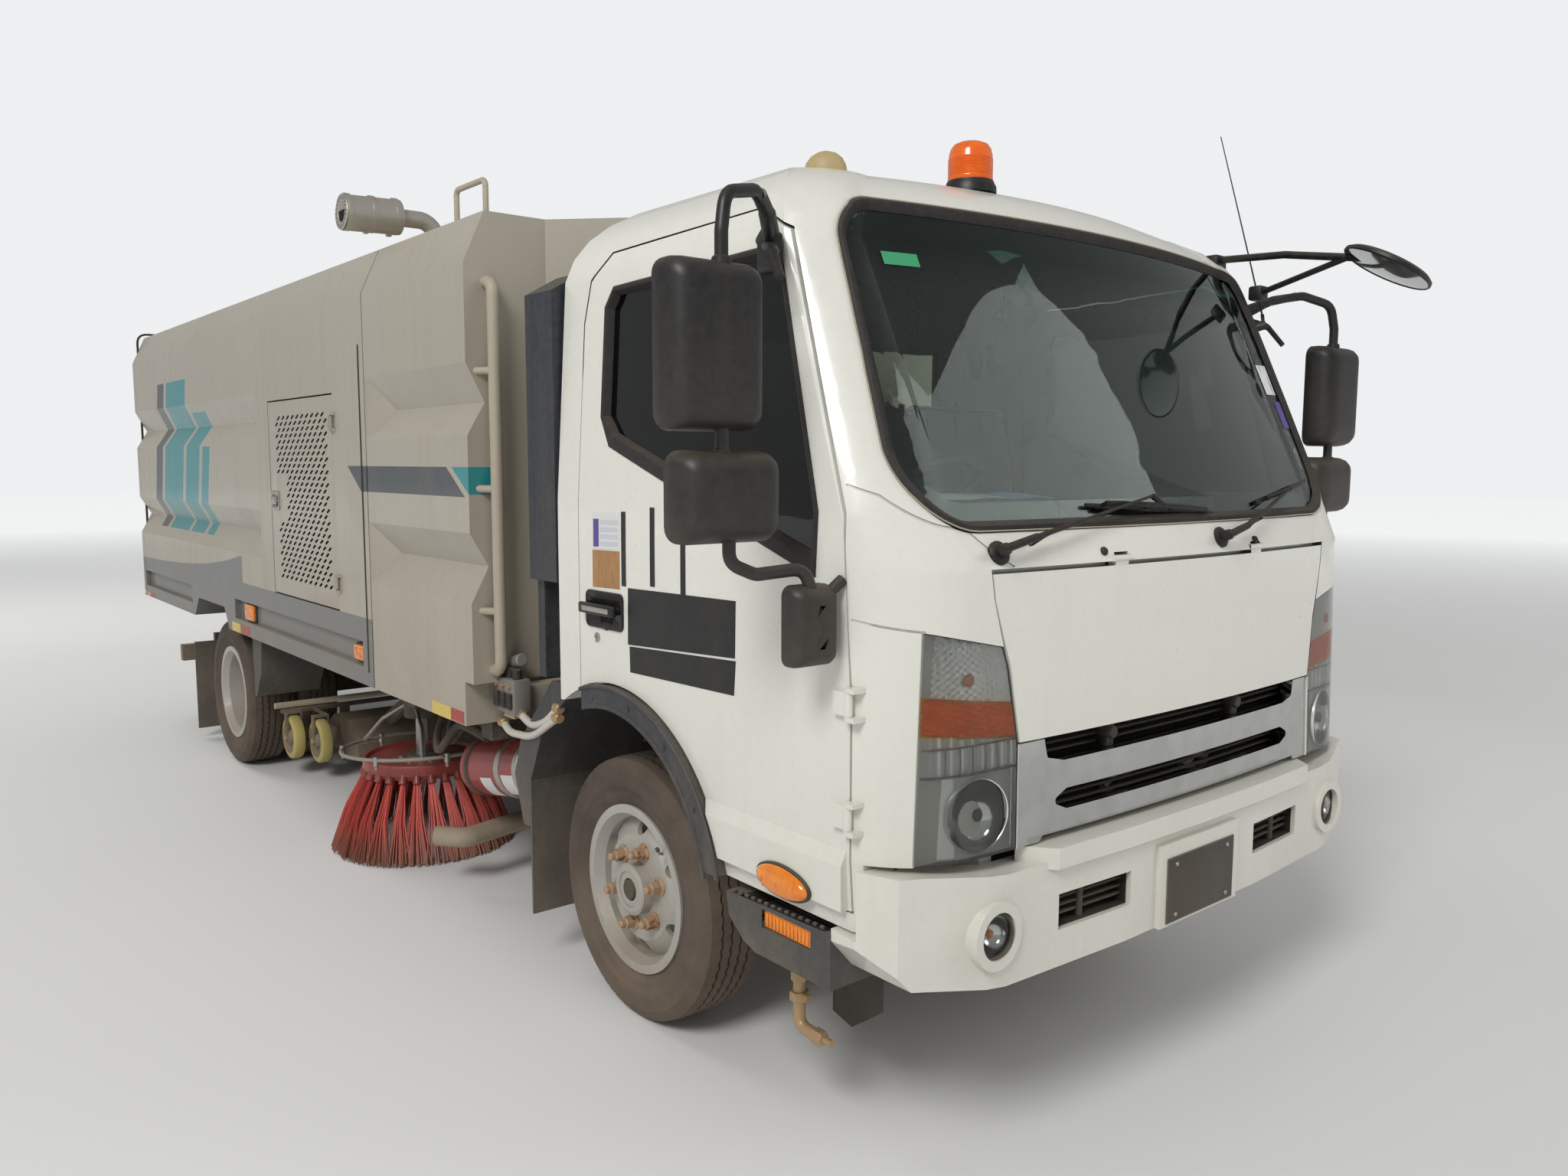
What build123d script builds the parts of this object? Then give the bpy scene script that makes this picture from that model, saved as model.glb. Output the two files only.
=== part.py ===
from build123d import *
import math
import os

# Street sweeper truck: tilting cab, fixed water tank, tipping hopper body and sweeping gear between the axles.
# Sizes in millimetres. X runs forward from the front axle, Y to the vehicle's left, Z up from the floor.
# The finished pieces are moved along X so that the origin lies under the middle of the whole vehicle.

# Wheels
wheelbase = 3750
tyre_radius = 376.5
tyre_width = 205
rim_radius = 222
rim_lip_radius = 240.5
rim_width = 177
sidewall_share = 0.5146
shoulder_share = 0.1942
front_wheel_y = 795
rear_outer_y = 897
rear_inner_y = 662
spindle_radius = 32
hub_radius = 82
kingpin_y = 640
kingpin_radius = 20

# Chassis frame
rail_half_width = 375
rail_flange = 60
rail_web = 8
rail_bottom = 510
rail_top = 690
rail_front = 1000
rail_rear = -5000
subframe_top = 744
cross_member_x = (930, 450, -740, -2780, -4650, -4960)
cross_member_bottom = 570
tow_eye_x = -5060
tow_eye_radius = 20

# Cab
cab_floor = 905
seat_deck = 1040
cab_wall = 45
cab_rear_x = -211
arch_x = 80
arch_z = 480
arch_radius = 505
arch_depth = 430
bumper_corner_x = 1045
fog_lamp_y = 737
fog_lamp_z = 590
fog_lamp_radius = 52
lamp_side_x = 1115
door_gap = 5
tilt_pivot_x = 1040
tilt_pivot_z = 585

# Body
body_half_width = 1057
body_bottom = 747
side_top = 2181
ridge_half_width = 985
roof_top = 2341
body_front_x = -637
tank_nose_x = -405
seam_x = -1500
seam_gap = 10
body_rear_x = -5440
bulkhead_x = -2860
body_wall = 45
groove_depth = 60
rear_door_thickness = 55
hopper_pivot_x = -5060
hopper_pivot_z = 715
pivot_ear_radius = 26

# Tipping cylinder: the barrel's pin on the frame and the rod's eye under the hopper floor
barrel_pin_x = -4560
barrel_pin_z = 600
barrel_start = 60
barrel_length = 1150
rod_eye_x = -3000
rod_eye_z = 700
barrel_radius = 48
piston_rod_radius = 32

# Sweeping gear
brush_x = -1900
brush_y = 720
brush_disc_radius = 235
brush_disc_top = 372
bristle_radius = 370
nozzle_pivot_x = -2560
nozzle_pivot_z = 520

castors = ((-3255, 835), (-3085, 758))
castor_radius = 110
castor_z = 205
brush_pivot_x = -1480
brush_pivot_y = 470
brush_arm_z = 590
inlet_x = -3135
inlet_y = 195
inlet_radius = 140
drain_radius = 37
drain_z = 200
drain_line = ((-1300, -547, drain_z), (-1227, -835, drain_z), (-1317, -908, drain_z))
spray_x = -2790

# Doors of the body: the engine door's opening as rear x, front x, bottom and top
engine_door = (-2680, -1840, 1000, 1845)
rear_pivot_x = body_rear_x + rear_door_thickness + 2
rear_pivot_z = roof_top + 34
muffler_x = -1650

# Cab doors and steering wheel
door_pivot_x = 1014
door_pivot_y = 995
door_hinge_z = (850, 1090)
flap_pivot_x = 1180
flap_pivot_z = 1368
wheel_y = -480

# Hinges
pin_clearance = 0.3
clear = 5

# The foremost point is the round mirror's rim, the rearmost the rear underrun bar.
round_mirror_x = 1262
round_mirror_radius = 125
front_end_x = round_mirror_x + round_mirror_radius
rear_end_x = body_rear_x - 47
origin_x = (front_end_x + rear_end_x) / 2


# Plain shapes
def block(x0, x1, y0, y1, z0, z1):
    return Pos((x0 + x1) / 2, (y0 + y1) / 2, (z0 + z1) / 2) * Box(abs(x1 - x0), abs(y1 - y0), abs(z1 - z0))


def rod(start, end, radius):
    run = Vector(*end) - Vector(*start)
    plane = Plane(origin=start, z_dir=run)
    return plane * Cylinder(radius, run.length, align=(Align.CENTER, Align.CENTER, Align.MIN))


def bent_rod(points, radius, bend):
    path = FilletPolyline(*points, radius=bend)
    plane = Plane(origin=points[0], z_dir=Vector(*points[1]) - Vector(*points[0]))
    return sweep(plane * Circle(radius), path=path)


def outline(points, radius=0):
    face = make_face(Polyline(*points, close=True))
    if radius:
        face = fillet(face.vertices(), radius)
    return face


def side_plate(points, y0, y1, radius=0):
    return extrude(outline([(x, y0, z) for x, z in points], radius), amount=y1 - y0, dir=(0, 1, 0))


def front_plate(points, x0, x1, radius=0):
    return extrude(outline([(x0, y, z) for y, z in points], radius), amount=x1 - x0, dir=(1, 0, 0))


def plan_plate(points, z0, z1, radius=0):
    return extrude(outline([(x, y, z0) for x, y in points], radius), amount=z1 - z0, dir=(0, 0, 1))


def turned(points, radius_axis_y):
    # A profile of (distance along Y, radius) pairs turned about the Y axis through (0, y, 0).
    face = make_face(Polyline(*[(0, y, r) for y, r in points], close=True))
    return Pos(0, radius_axis_y, 0) * revolve(face, axis=Axis.Y)


def other_side(part):
    return mirror(part, about=Plane.XZ)


def both_sides(part):
    return part + other_side(part)


def hinge(origin, direction, radius, length, ear):
    # Pin with an ear at each end, and the barrel that turns on it between the ears.
    plane = Plane(origin=origin, z_dir=direction)
    pin = plane * Cylinder(radius, length + 2 * ear)
    ears = [plane * Pos(0, 0, s * (length + ear + 2 * pin_clearance) / 2) * Cylinder(2 * radius,
                                                                                     ear) for s in (-1, 1)]
    barrel = plane * (Cylinder(2 * radius, length) - Cylinder(radius + pin_clearance, length + 2))
    return pin + ears[0] + ears[1], barrel


nodes = {}


def keep(name, *pieces):
    total = pieces[0]
    for piece in pieces[1:]:
        total = total + piece
    nodes[name] = total


# Wheels: tyre and rim outlines as (distance from the wheel's middle plane outward, radius)
def tyre(y, x):
    half = tyre_width / 2
    bead = rim_width / 2 - 12.3
    r = tyre_radius
    section = tyre_radius - rim_radius
    above_lip = rim_lip_radius + 6
    widest = rim_radius + sidewall_share * section
    shoulder = r - shoulder_share * section
    outer = [(half - 40, r), (half - 22, r - 5), (half - 6, shoulder), (half, widest),
             (half - 14, above_lip + 22),
             (bead + 1, above_lip), (bead, rim_radius + pin_clearance)]
    profile = [(-y, radius) for y, radius in reversed(outer)] + outer
    return Pos(x, 0, tyre_radius) * turned(profile, y)


def rim(y, x, dish, edge, hub_start, hub_reach):
    # dish is the disc's place from the middle plane and edge its shift where it meets the barrel; both outward
    half = rim_width / 2
    lip = rim_lip_radius
    well = rim_radius
    barrel = [(-half, lip), (-half, well - 6), (-half + 30, well - 22), (half - 30, well - 22),
              (half, well - 6),
              (half, lip), (half - 9, lip), (half - 12, well), (half - 34, well - 12),
              (-half + 34, well - 12),
              (-half + 12, well), (-half + 9, lip)]
    disc = [(dish, spindle_radius + pin_clearance), (dish, 150), (dish + edge, well - 18),
            (dish + edge + 12, well - 16),
            (dish + 14, 152), (dish + 14, spindle_radius + pin_clearance)]
    hub = [(hub_start, spindle_radius + pin_clearance), (hub_start, hub_radius), (hub_reach, hub_radius - 8),
           (hub_reach, spindle_radius + pin_clearance)]
    return Pos(x, 0, tyre_radius) * (turned(barrel, y) + turned(disc, y) + turned(hub, y))


def hand_holes(y, x):
    holes = []
    for i in range(6):
        turn = Pos(x, y, tyre_radius) * Rot(0, i * 60, 0)
        holes.append(turn * Pos(0, 0, 175) * Rot(90, 0, 0) * Cylinder(22, 200))
    return holes


def wheels():
    left_tyre = tyre(front_wheel_y, 0)
    left_rim = rim(front_wheel_y, 0, 52, -35, -55, 98)
    for hole in hand_holes(front_wheel_y + 70, 0):
        left_rim = left_rim - hole
    keep("front_tyre_left", left_tyre)
    keep("front_tyre_right", other_side(left_tyre))
    keep("front_rim_left", left_rim)
    keep("front_rim_right", other_side(left_rim))
    pair = tyre(rear_outer_y, -wheelbase) + tyre(rear_inner_y, -wheelbase)
    outer = rim(rear_outer_y, -wheelbase, -75, 40, -75, -8)
    for hole in hand_holes(rear_outer_y - 75, -wheelbase):
        outer = outer - hole
    inner = other_side(rim(-rear_inner_y, -wheelbase, -75, 40, -75, 40))
    middle = Pos(-wheelbase, (rear_outer_y + rear_inner_y) / 2, tyre_radius) * Rot(90, 0, 0)
    spacer = middle * (Cylinder(145, 100) - Cylinder(spindle_radius + pin_clearance, 102))
    rims = outer + inner + spacer
    keep("rear_tyres_left", pair)
    keep("rear_tyres_right", other_side(pair))
    keep("rear_rims_left", rims)
    keep("rear_rims_right", other_side(rims))


def front_axle():
    beam_z = tyre_radius - 20
    eye = Pos(0, kingpin_y, beam_z) * (Cylinder(38, 70) - Cylinder(kingpin_radius + pin_clearance, 72))
    end = kingpin_y - 48
    drop = front_plate([(-end, beam_z + 32), (-430, beam_z - 20), (430, beam_z - 20), (end, beam_z + 32),
                        (end, beam_z - 32), (400, beam_z - 90), (-400, beam_z - 90), (-end, beam_z - 32)],
                       -38, 38)
    drop = drop + both_sides(block(-30, 30, end - 1, kingpin_y - 20, beam_z - 30, beam_z + 30))
    bores = [Pos(0, s * kingpin_y, beam_z) * Cylinder(kingpin_radius + pin_clearance, 90) for s in (-1, 1)]
    keep("front_axle", drop - bores[0] - bores[1] + both_sides(eye))
    kingpin = Pos(0, kingpin_y, beam_z) * Cylinder(kingpin_radius, 70 + 2)
    forks = [Pos(0, kingpin_y, beam_z + s * (35 + 0.3 + 13)) * Cylinder(38, 26) for s in (-1, 1)]
    back = block(-40, 40, kingpin_y + 38 + clear, kingpin_y + 75, beam_z - 61.3, beam_z + 61.3)
    webs = [block(-30, 30, kingpin_y, kingpin_y + 60, beam_z + s * 48.3 - 13,
                  beam_z + s * 48.3 + 13) for s in (-1, 1)]
    spindle = rod((0, kingpin_y + 60, tyre_radius), (0, front_wheel_y + 90, tyre_radius), spindle_radius)
    steer_arm = block(-190, -20, kingpin_y - 12, kingpin_y + 12, beam_z - 61.3, beam_z - 40)
    left = kingpin + forks[0] + forks[1] + back + webs[0] + webs[1] + spindle + steer_arm
    keep("steering_knuckle_left", left)
    keep("steering_knuckle_right", other_side(left))


def rear_axle():
    axis_x = -wheelbase
    tube = rod((axis_x, -rear_inner_y + 60, tyre_radius), (axis_x, rear_inner_y - 60, tyre_radius), 62)
    spindles = rod((axis_x, -rear_outer_y + 15, tyre_radius), (axis_x, rear_outer_y - 15, tyre_radius),
                   spindle_radius)
    banjo = Pos(axis_x, 0, tyre_radius) * Rot(0, 90, 0) * Cylinder(165, 120)
    cover = Pos(axis_x - 40, 0, tyre_radius) * Sphere(130)
    nose = rod((axis_x + 40, 0, tyre_radius), (axis_x + 260, 0, tyre_radius + 10), 70)
    keep("rear_axle", tube + spindles + banjo + cover + nose)


def leaf_spring(x, y, half_length, low, leaves, seat):
    # Leaves stacked under each other, each shorter than the one above; low is the main leaf's middle height,
    # seat the height at which the clamp rests on the axle.
    rise = rail_bottom - 35 - low
    pieces = None
    for i in range(leaves):
        reach = half_length * (1 - 0.13 * i)
        drop = 11 * i
        lift = rise * (reach / half_length) ** 2
        top = ThreePointArc((x - reach, y - 35, low + lift - drop), (x, y - 35, low - drop),
                            (x + reach, y - 35, low + lift - drop))
        under = ThreePointArc((x + reach, y - 35, low + lift - drop - 11), (x, y - 35, low - drop - 11),
                              (x - reach, y - 35, low + lift - drop - 11))
        ends = [Line(top @ 1, under @ 0), Line(under @ 1, top @ 0)]
        leaf = extrude(make_face([top, ends[0], under, ends[1]]), amount=70, dir=(0, 1, 0))
        pieces = leaf if pieces is None else pieces + leaf
    for s in (-1, 1):
        end_x = x + s * half_length
        if y - 35 > rail_half_width:
            pieces = pieces + block(end_x - 22, end_x + 22, rail_half_width + 0.3, y + 35, rail_bottom - 60,
                                    rail_bottom + 50)
        else:
            pieces = pieces + block(end_x - 22, end_x + 22, y - 35, y + 35, rail_bottom - 60,
                                    rail_bottom - 0.3)
    pieces = pieces + block(x - 60, x + 60, y - 42, y + 42, seat, low + 26)
    return pieces


def springs():
    front_y = rail_half_width - rail_flange / 2
    front = leaf_spring(0, front_y, 600, tyre_radius + 28, 4, tyre_radius - 39.7)
    rear = leaf_spring(-wheelbase, rail_half_width + 55, 640, tyre_radius + 130, 5, tyre_radius + 62.3)
    keep("leaf_springs", both_sides(front), both_sides(rear))


def chassis_frame():
    y1 = rail_half_width
    y0 = y1 - rail_flange
    rail = block(rail_rear, rail_front, y0, y1, rail_bottom, rail_top)
    rail = rail - block(rail_rear - 1, rail_front + 1, y0 - 1, y1 - rail_web, rail_bottom + rail_web,
                        rail_top - rail_web)
    pivot, cab_lug = hinge((tilt_pivot_x, (y0 + y1) / 2, tilt_pivot_z), (0, 1, 0), 16, 50, 14)
    bracket_sides = [block(rail_front - 28, tilt_pivot_x + 20, (y0 + y1) / 2 + s * 32.6 - 7,
                           (y0 + y1) / 2 + s * 32.6 + 7,
                           tilt_pivot_z - 30, tilt_pivot_z + 30) for s in (-1, 1)]
    rail = rail + pivot + bracket_sides[0] + bracket_sides[1]
    members = None
    for x in cross_member_x:
        low = cross_member_bottom
        member = block(x - 40, x + 40, -y1 + rail_web, y1 - rail_web, low, rail_top - rail_web)
        member = member - block(x - 32, x + 50, -y0 - 10, y0 + 10, low + 8, rail_top - rail_web - 8)
        members = member if members is None else members + member
    for s in (-1, 1):
        members = members + block(cross_member_x[4] - 36, barrel_pin_x + 35, s * 40 - 6, s * 40 + 6,
                                  barrel_pin_z - 28, barrel_pin_z + 34)
    members = members + Pos(barrel_pin_x, 0, barrel_pin_z) * Rot(90, 0, 0) * Cylinder(18, 92)
    eye_plate = plan_plate([(rail_rear, -60), (tow_eye_x - 40, -40), (tow_eye_x - 40, 40), (rail_rear, 60)],
                           600, 640)
    members = members + (eye_plate - Pos(tow_eye_x, 0, 620) * Cylinder(tow_eye_radius, 50))
    keep("cross_members", members)
    beam = block(-5012, body_front_x - 10, y0, y1, rail_top, subframe_top)
    ears = []
    for s in (-1, 1):
        ear_y = (y0 + y1) / 2 + s * 35.3
        round_end = Pos(hopper_pivot_x, ear_y, hopper_pivot_z) * Rot(90, 0, 0) * Cylinder(pivot_ear_radius,
                                                                                          20)
        ears.append(round_end + block(hopper_pivot_x, rail_rear - 1, ear_y - 10, ear_y + 10,
                                      hopper_pivot_z - 45, subframe_top - 1))
    pin = Pos(hopper_pivot_x, (y0 + y1) / 2, hopper_pivot_z) * Rot(90, 0, 0) * Cylinder(20, 92)
    outriggers = None
    for x in (-760, -1400):
        arm = block(x - 40, x + 40, y1, 960, rail_top - 10, subframe_top)
        outriggers = arm if outriggers is None else outriggers + arm
    beam = beam + ears[0] + ears[1] + pin + outriggers
    keep("frame_rails", both_sides(rail + beam))
    return cab_lug


def running_gear():
    engine_half = rail_half_width - rail_flange - 55
    engine = block(-620, 330, -engine_half, engine_half, 470, 880)
    flange_top = rail_bottom + rail_web + 0.3
    mount = block(-60, 20, -rail_half_width + 20, rail_half_width - 20, flange_top, flange_top + 42)
    keep("truck_engine", engine + mount)
    mid = -2000
    shaft = rod((-640, 0, 520), (mid, 0, 480), 42) + rod((mid, 0, 480),
                                                         (-wheelbase + 262, 0, tyre_radius + 12), 42)
    bearing = block(mid - 25, mid + 25, -60, 60, 430, rail_bottom + 60)
    strap_y = rail_half_width - rail_web - 0.3
    strap = block(mid - 25, mid + 25, -strap_y, strap_y, rail_bottom + 30, rail_bottom + 60)
    keep("drive_shaft", shaft + bearing + strap)
    tank = side_plate([(-1330, 300), (-680, 300), (-680, 660), (-1330, 660)], 400, 860, 60)
    straps = [block(x - 20, x + 20, rail_half_width + 0.3, 400, 330, 670) for x in (-1200, -860)]
    keep("fuel_tank", tank + straps[0] + straps[1])
    reservoir = rod((-1180, -760, 470), (-700, -760, 560), 105)
    cone = rod((-1200, -760, 466), (-1178, -760, 470), 85)
    hanger = block(-960, -900, -700, -rail_half_width - 0.3, 560, 640)
    keep("red_reservoir", reservoir + cone + hanger)
    bar = block(-5310, -5250, -900, 900, 330, 430)
    arm_y = rail_half_width - rail_flange / 2
    arms = [block(-5300, -4900, s * arm_y - 25, s * arm_y + 25, 370, 420) for s in (-1, 1)]
    posts = [block(-4950, -4880, s * arm_y - 25, s * arm_y + 25, 372, rail_bottom - 0.3) for s in (-1, 1)]
    lamps = [block(-5322, -5250, s * 780 - 110, s * 780 + 110, 330, 425) for s in (-1, 1)]
    keep("rear_bumper", bar + arms[0] + arms[1] + posts[0] + posts[1] + lamps[0] + lamps[1])


def guards():
    shield = side_plate([(-277, 936), (-235, 905), (-400, 760), (-478, 600), (-480, 450), (-530, 450),
                         (-585, 600),
                         (-540, 720), (-330, 936)], 560, 950)
    flap = block(-484, -476, 640, 950, 170, 600)
    arm = block(-540, -500, rail_half_width + 0.3, 600, 560, 640)
    fronts = both_sides(shield + flap + arm)
    axle = -wheelbase
    rear = block(axle - 690, axle - 682, 560, 1010, 60, 560)
    front = side_plate([(axle + 450, 745), (axle + 610, 745), (axle + 580, 560), (axle + 490, 430),
                        (axle + 460, 430)],
                       700, 1000)
    bracket = block(axle - 725, axle - 690, rail_half_width + 0.3, 900, 540, 600)
    carrier = block(axle + 520, axle + 560, rail_half_width + 0.3, 720, 600, 640)
    keep("mudguards", fronts, both_sides(rear + front + bracket + carrier))


# Cab outline at a set of heights: height, half width, rear x, end of the flat side, corner x, corner y, nose x
cab_levels = [
    (600, 975, -211, 1010, 1150, 770, 1180),
    (760, 985, -211, 1012, 1168, 760, 1200),
    (1365, 985, -211, 1000, 1150, 760, 1190),
    (1480, 984, -211, 975, 1090, 770, 1150),
    (2080, 948, -211, 745, 815, 770, 905),
    (2140, 932, -188, 727, 795, 755, 884),
    (2190, 905, -150, 700, 760, 730, 850),
    (2232, 860, -106, 652, 712, 682, 803),
    (2265, 800, -60, 590, 650, 610, 740),
    (2295, 600, 100, 450, 490, 420, 560),
]


def cab_section(level, inset):
    z, half, rear, side_x, corner_x, corner_y, nose = level
    a = (rear + inset, -half + inset, z)
    b = (side_x - 0.4 * inset, -half + inset, z)
    c = (corner_x - 0.8 * inset, -corner_y + 0.5 * inset, z)
    d = (nose - inset, 0, z)
    chord = Vector(c[0] - b[0], c[1] - b[1], 0)
    out = Vector(chord.Y, -chord.X, 0).normalized()
    swell = (Vector(*b) + Vector(*c)) / 2 + out * (0.15 * chord.length)
    m = (swell.X, swell.Y, z)
    flip = [(p[0], -p[1], z) for p in (a, b, m, c)]
    edges = [Line(flip[0], a), Line(a, b), ThreePointArc(b, m, c), ThreePointArc(c, d, flip[3]),
             ThreePointArc(flip[3], flip[2], flip[1]), Line(flip[1], flip[0])]
    return make_face(edges)


def cab_form(inset, top=0):
    # The cab's outer form, drawn in by inset all round, with its roof lowered by top.
    levels = [list(level) for level in cab_levels]
    levels[-1][0] -= top
    return loft([cab_section(level, inset) for level in levels], ruled=True)


door_outline = [(-98, 940), (-98, 1960), (-70, 2070), (20, 2135), (650, 2150), (760, 2090), (985, 1480),
                (1012, 1100),
                (1015, 640), (560, 640), (560, 600), (-98, 600)]
window_outline = [(10, 1700), (10, 1990), (50, 2040), (690, 2056), (745, 2030), (905, 1480), (899, 1362),
                  (66, 1640)]


def shrink(points, amount):
    # Moves each point of an outline toward the middle by about amount.
    cx = sum(p[0] for p in points) / len(points)
    cz = sum(p[1] for p in points) / len(points)
    moved = []
    for x, z in points:
        moved.append((x - math.copysign(amount, x - cx), z - math.copysign(amount, z - cz)))
    return moved


screen_outline = [(-908, 1436), (908, 1436), (846, 2168), (-846, 2168)]
screen_bottom_round = 170
screen_top_round = 120
flap_outline = [(-723, 1362), (723, 1362), (715, 1300), (688, 1198), (672, 1152), (643, 981), (-643, 981),
                (-672, 1152),
                (-688, 1198), (-715, 1300)]
lamp_outline = [(-1000, 1264), (-688, 1198), (-672, 1152), (-643, 981), (-648, 752), (-1000, 752)]
grille_outline = [(-642, 981), (642, 981), (647, 752), (-647, 752)]
# Slots between the grille's bars: outline and corner radius
grille_slots = (([(-556, 985), (-545, 938), (-490, 925), (490, 925), (545, 938), (556, 985)], 8),
                ([(-532, 835), (-480, 860), (480, 860), (532, 835), (480, 813), (-480, 813)], 10),
                ([(-575, 745), (-560, 765), (-500, 765), (500, 765), (560, 765), (575, 745)], 6))
# Pressed seams on the cab's front corners, as side-view lines, and their width and depth
cab_seams = (((1006, 1266), (1120, 1243)), ((972, 1541), (1026, 1519), (1107, 1450), (1160, 1366)))
seam_width = 5
seam_depth = 3.5


def screen_form(amount):
    # The windscreen's opening as a long prism, drawn in by amount.
    face = outline([(600, y, z) for y, z in shrink(screen_outline, amount)])
    low = [v for v in face.vertices() if v.Z < 1600]
    high = [v for v in face.vertices() if v.Z > 1600]
    face = fillet(low, screen_bottom_round)
    high = [v for v in face.vertices() if v.Z > 2100]
    return extrude(fillet(high, screen_top_round), amount=700, dir=(1, 0, 0))


def seam_cutter():
    cutter = None
    for line in cab_seams:
        lower = [(x, z - seam_width) for x, z in reversed(line)]
        strip_form = side_plate(list(line) + lower, -1100, -640)
        cutter = strip_form if cutter is None else cutter + strip_form
    return both_sides(cutter)


def cab(cab_lug):
    outer = cab_form(0)
    well = Pos(arch_x, 0, arch_z) * Rot(90, 0, 0) * Cylinder(arch_radius, 2200)
    tunnel = block(-300, 560, -arch_depth, arch_depth, 500, 1100)
    wells = well - tunnel
    below = block(-300, 560, -1100, 1100, 500, cab_floor)
    cavity_form = cab_form(cab_wall, top=40)
    room = cavity_form & (block(-400, 1300, -1100, 1100, seat_deck, 2260)
                          + block(620, 1300, -1100, 1100, 760, seat_deck + 1))
    shell = outer - below - wells - room
    shell = shell - block(500, 1110, -arch_depth, arch_depth, 500, 708) - block(bumper_corner_x - 7, 1400,
                                                                                -1100, 1100, 500, 752)
    door_zone = outer - cab_form(cab_wall)
    wide_zone = outer - cab_form(cab_wall + door_gap)
    # Doors: the wall inside the door's outline, with an even gap round it
    side_cut = side_plate(door_outline, -1100, -600)
    door_form = door_zone & side_plate(shrink(door_outline, door_gap), -1100, -600)
    trim_cut = Pos(arch_x, -800, arch_z) * Rot(90, 0, 0) * Cylinder(arch_radius + 6, 700)
    skirt = front_plate([(-984, 776), (-1001, 742), (-999, 640), (-976, 640)], 500, 1000)
    door = door_form + (skirt & side_plate(shrink(door_outline, door_gap), -1100, -600)) - trim_cut
    glass_hole = side_plate(window_outline, -1100, -600)
    glass = door & side_plate(shrink(window_outline, 1), -1100, -600)
    thin = cab_form(18) - cab_form(24)
    glass = glass & thin
    door = door - glass_hole
    cut = wide_zone & side_cut
    shell = shell - cut - other_side(cut)
    # Front openings
    screen = (cab_form(12) - cab_form(19)) & screen_form(1)
    shell = shell - screen_form(0)
    shell = shell - (seam_cutter() & (outer - cab_form(seam_depth)))
    flap = (outer - cab_form(26)) & front_plate(shrink(flap_outline, 5), 900, 1300)
    flap = flap - front_plate([(-800, 1352), (800, 1352), (800, 1400), (-800, 1400)], 900, 1300)
    edge = [(-800, 1150), (-645, 1150), (-672, 1300), (-672, 1400), (-800, 1400)]
    thin_ends = both_sides(front_plate(edge, 900, 1300))
    flap = flap - ((cab_form(12) - cab_form(40)) & thin_ends)
    shell = shell - ((outer - cab_form(31)) & front_plate(flap_outline, 900, 1300))
    lamp = (outer - cab_form(36)) & front_plate(shrink(lamp_outline, 0.5), lamp_side_x + 0.5, 1300)
    lamp_cut = (outer - cab_form(36.5)) & front_plate(lamp_outline, lamp_side_x, 1300)
    shell = shell - lamp_cut - other_side(lamp_cut)
    grille_hole = front_plate(grille_outline, 1000, 1300)
    shell = shell - grille_hole
    grille = (cab_form(6) - cab_form(40)) & front_plate(shrink(grille_outline, 0.5), 900, 1300)
    for points, radius in grille_slots:
        grille = grille - front_plate(points, 1000, 1300, radius)
    rear_hole = block(-300, -100, -550, 550, 1560, 1980)
    shell = shell - rear_hole
    rear_glass = block(cab_rear_x + 18, cab_rear_x + 24, -549.5, 549.5, 1560.5, 1979.5)
    lug_y = rail_half_width - rail_flange / 2
    lug_arm = block(tilt_pivot_x - 14, tilt_pivot_x + 14, lug_y - 24, lug_y + 24, tilt_pivot_z + 20, 760)
    shell = shell + both_sides(cab_lug + lug_arm)
    # Door hinges: barrels on the door, pins and feet on the cab's front post
    pins = None
    for z in door_hinge_z:
        pin, barrel = hinge((door_pivot_x, -door_pivot_y, z), (0, 0, 1), 4.5, 50, 10)
        arm = block(door_pivot_x - 44, door_pivot_x, -door_pivot_y - 4, -985.3, z - 25, z + 25)
        arm = arm + block(door_pivot_x - 44, door_pivot_x - 24, -door_pivot_y - 4, -984, z - 25, z + 25)
        bore = Pos(door_pivot_x, -door_pivot_y, z) * Cylinder(4.5 + pin_clearance, 60)
        door = door + (arm + barrel - bore)
        for s in (-1, 1):
            pin = pin + block(door_pivot_x, door_pivot_x + 24, -door_pivot_y - 9, -950, z + s * 30.3 - 5,
                              z + s * 30.3 + 5)
        pins = pin if pins is None else pins + pin
    shell = shell + both_sides(pins)
    shell, flap = flap_hinges(shell, flap)
    keep("cab_shell", shell)
    keep("cab_glass", screen, rear_glass)
    keep("front_flap", flap)
    keep("headlamps", both_sides(lamp))
    keep("grille", grille)
    keep("door_right", door)
    keep("door_left", other_side(door))
    keep("door_glass_right", glass)
    keep("door_glass_left", other_side(glass))


def flap_hinges(shell, flap):
    # Two short hinges under the windscreen, each in a pocket of the cab's front wall.
    for y in (-300, 300):
        pin, barrel = hinge((flap_pivot_x, y, flap_pivot_z), (0, 1, 0), 4, 50, 10)
        pocket = block(flap_pivot_x - 40, flap_pivot_x + 40, y - 25.6, y + 25.6, flap_pivot_z - 20,
                       flap_pivot_z + 14)
        arm = block(flap_pivot_x - 18, flap_pivot_x + 3, y - 25, y + 25, flap_pivot_z - 24, flap_pivot_z)
        bore = Pos(flap_pivot_x, y, flap_pivot_z) * Rot(90, 0, 0) * Cylinder(4 + pin_clearance, 60)
        shell = shell - pocket + pin
        flap = flap + (arm + barrel - bore)
    return shell, flap


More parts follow.
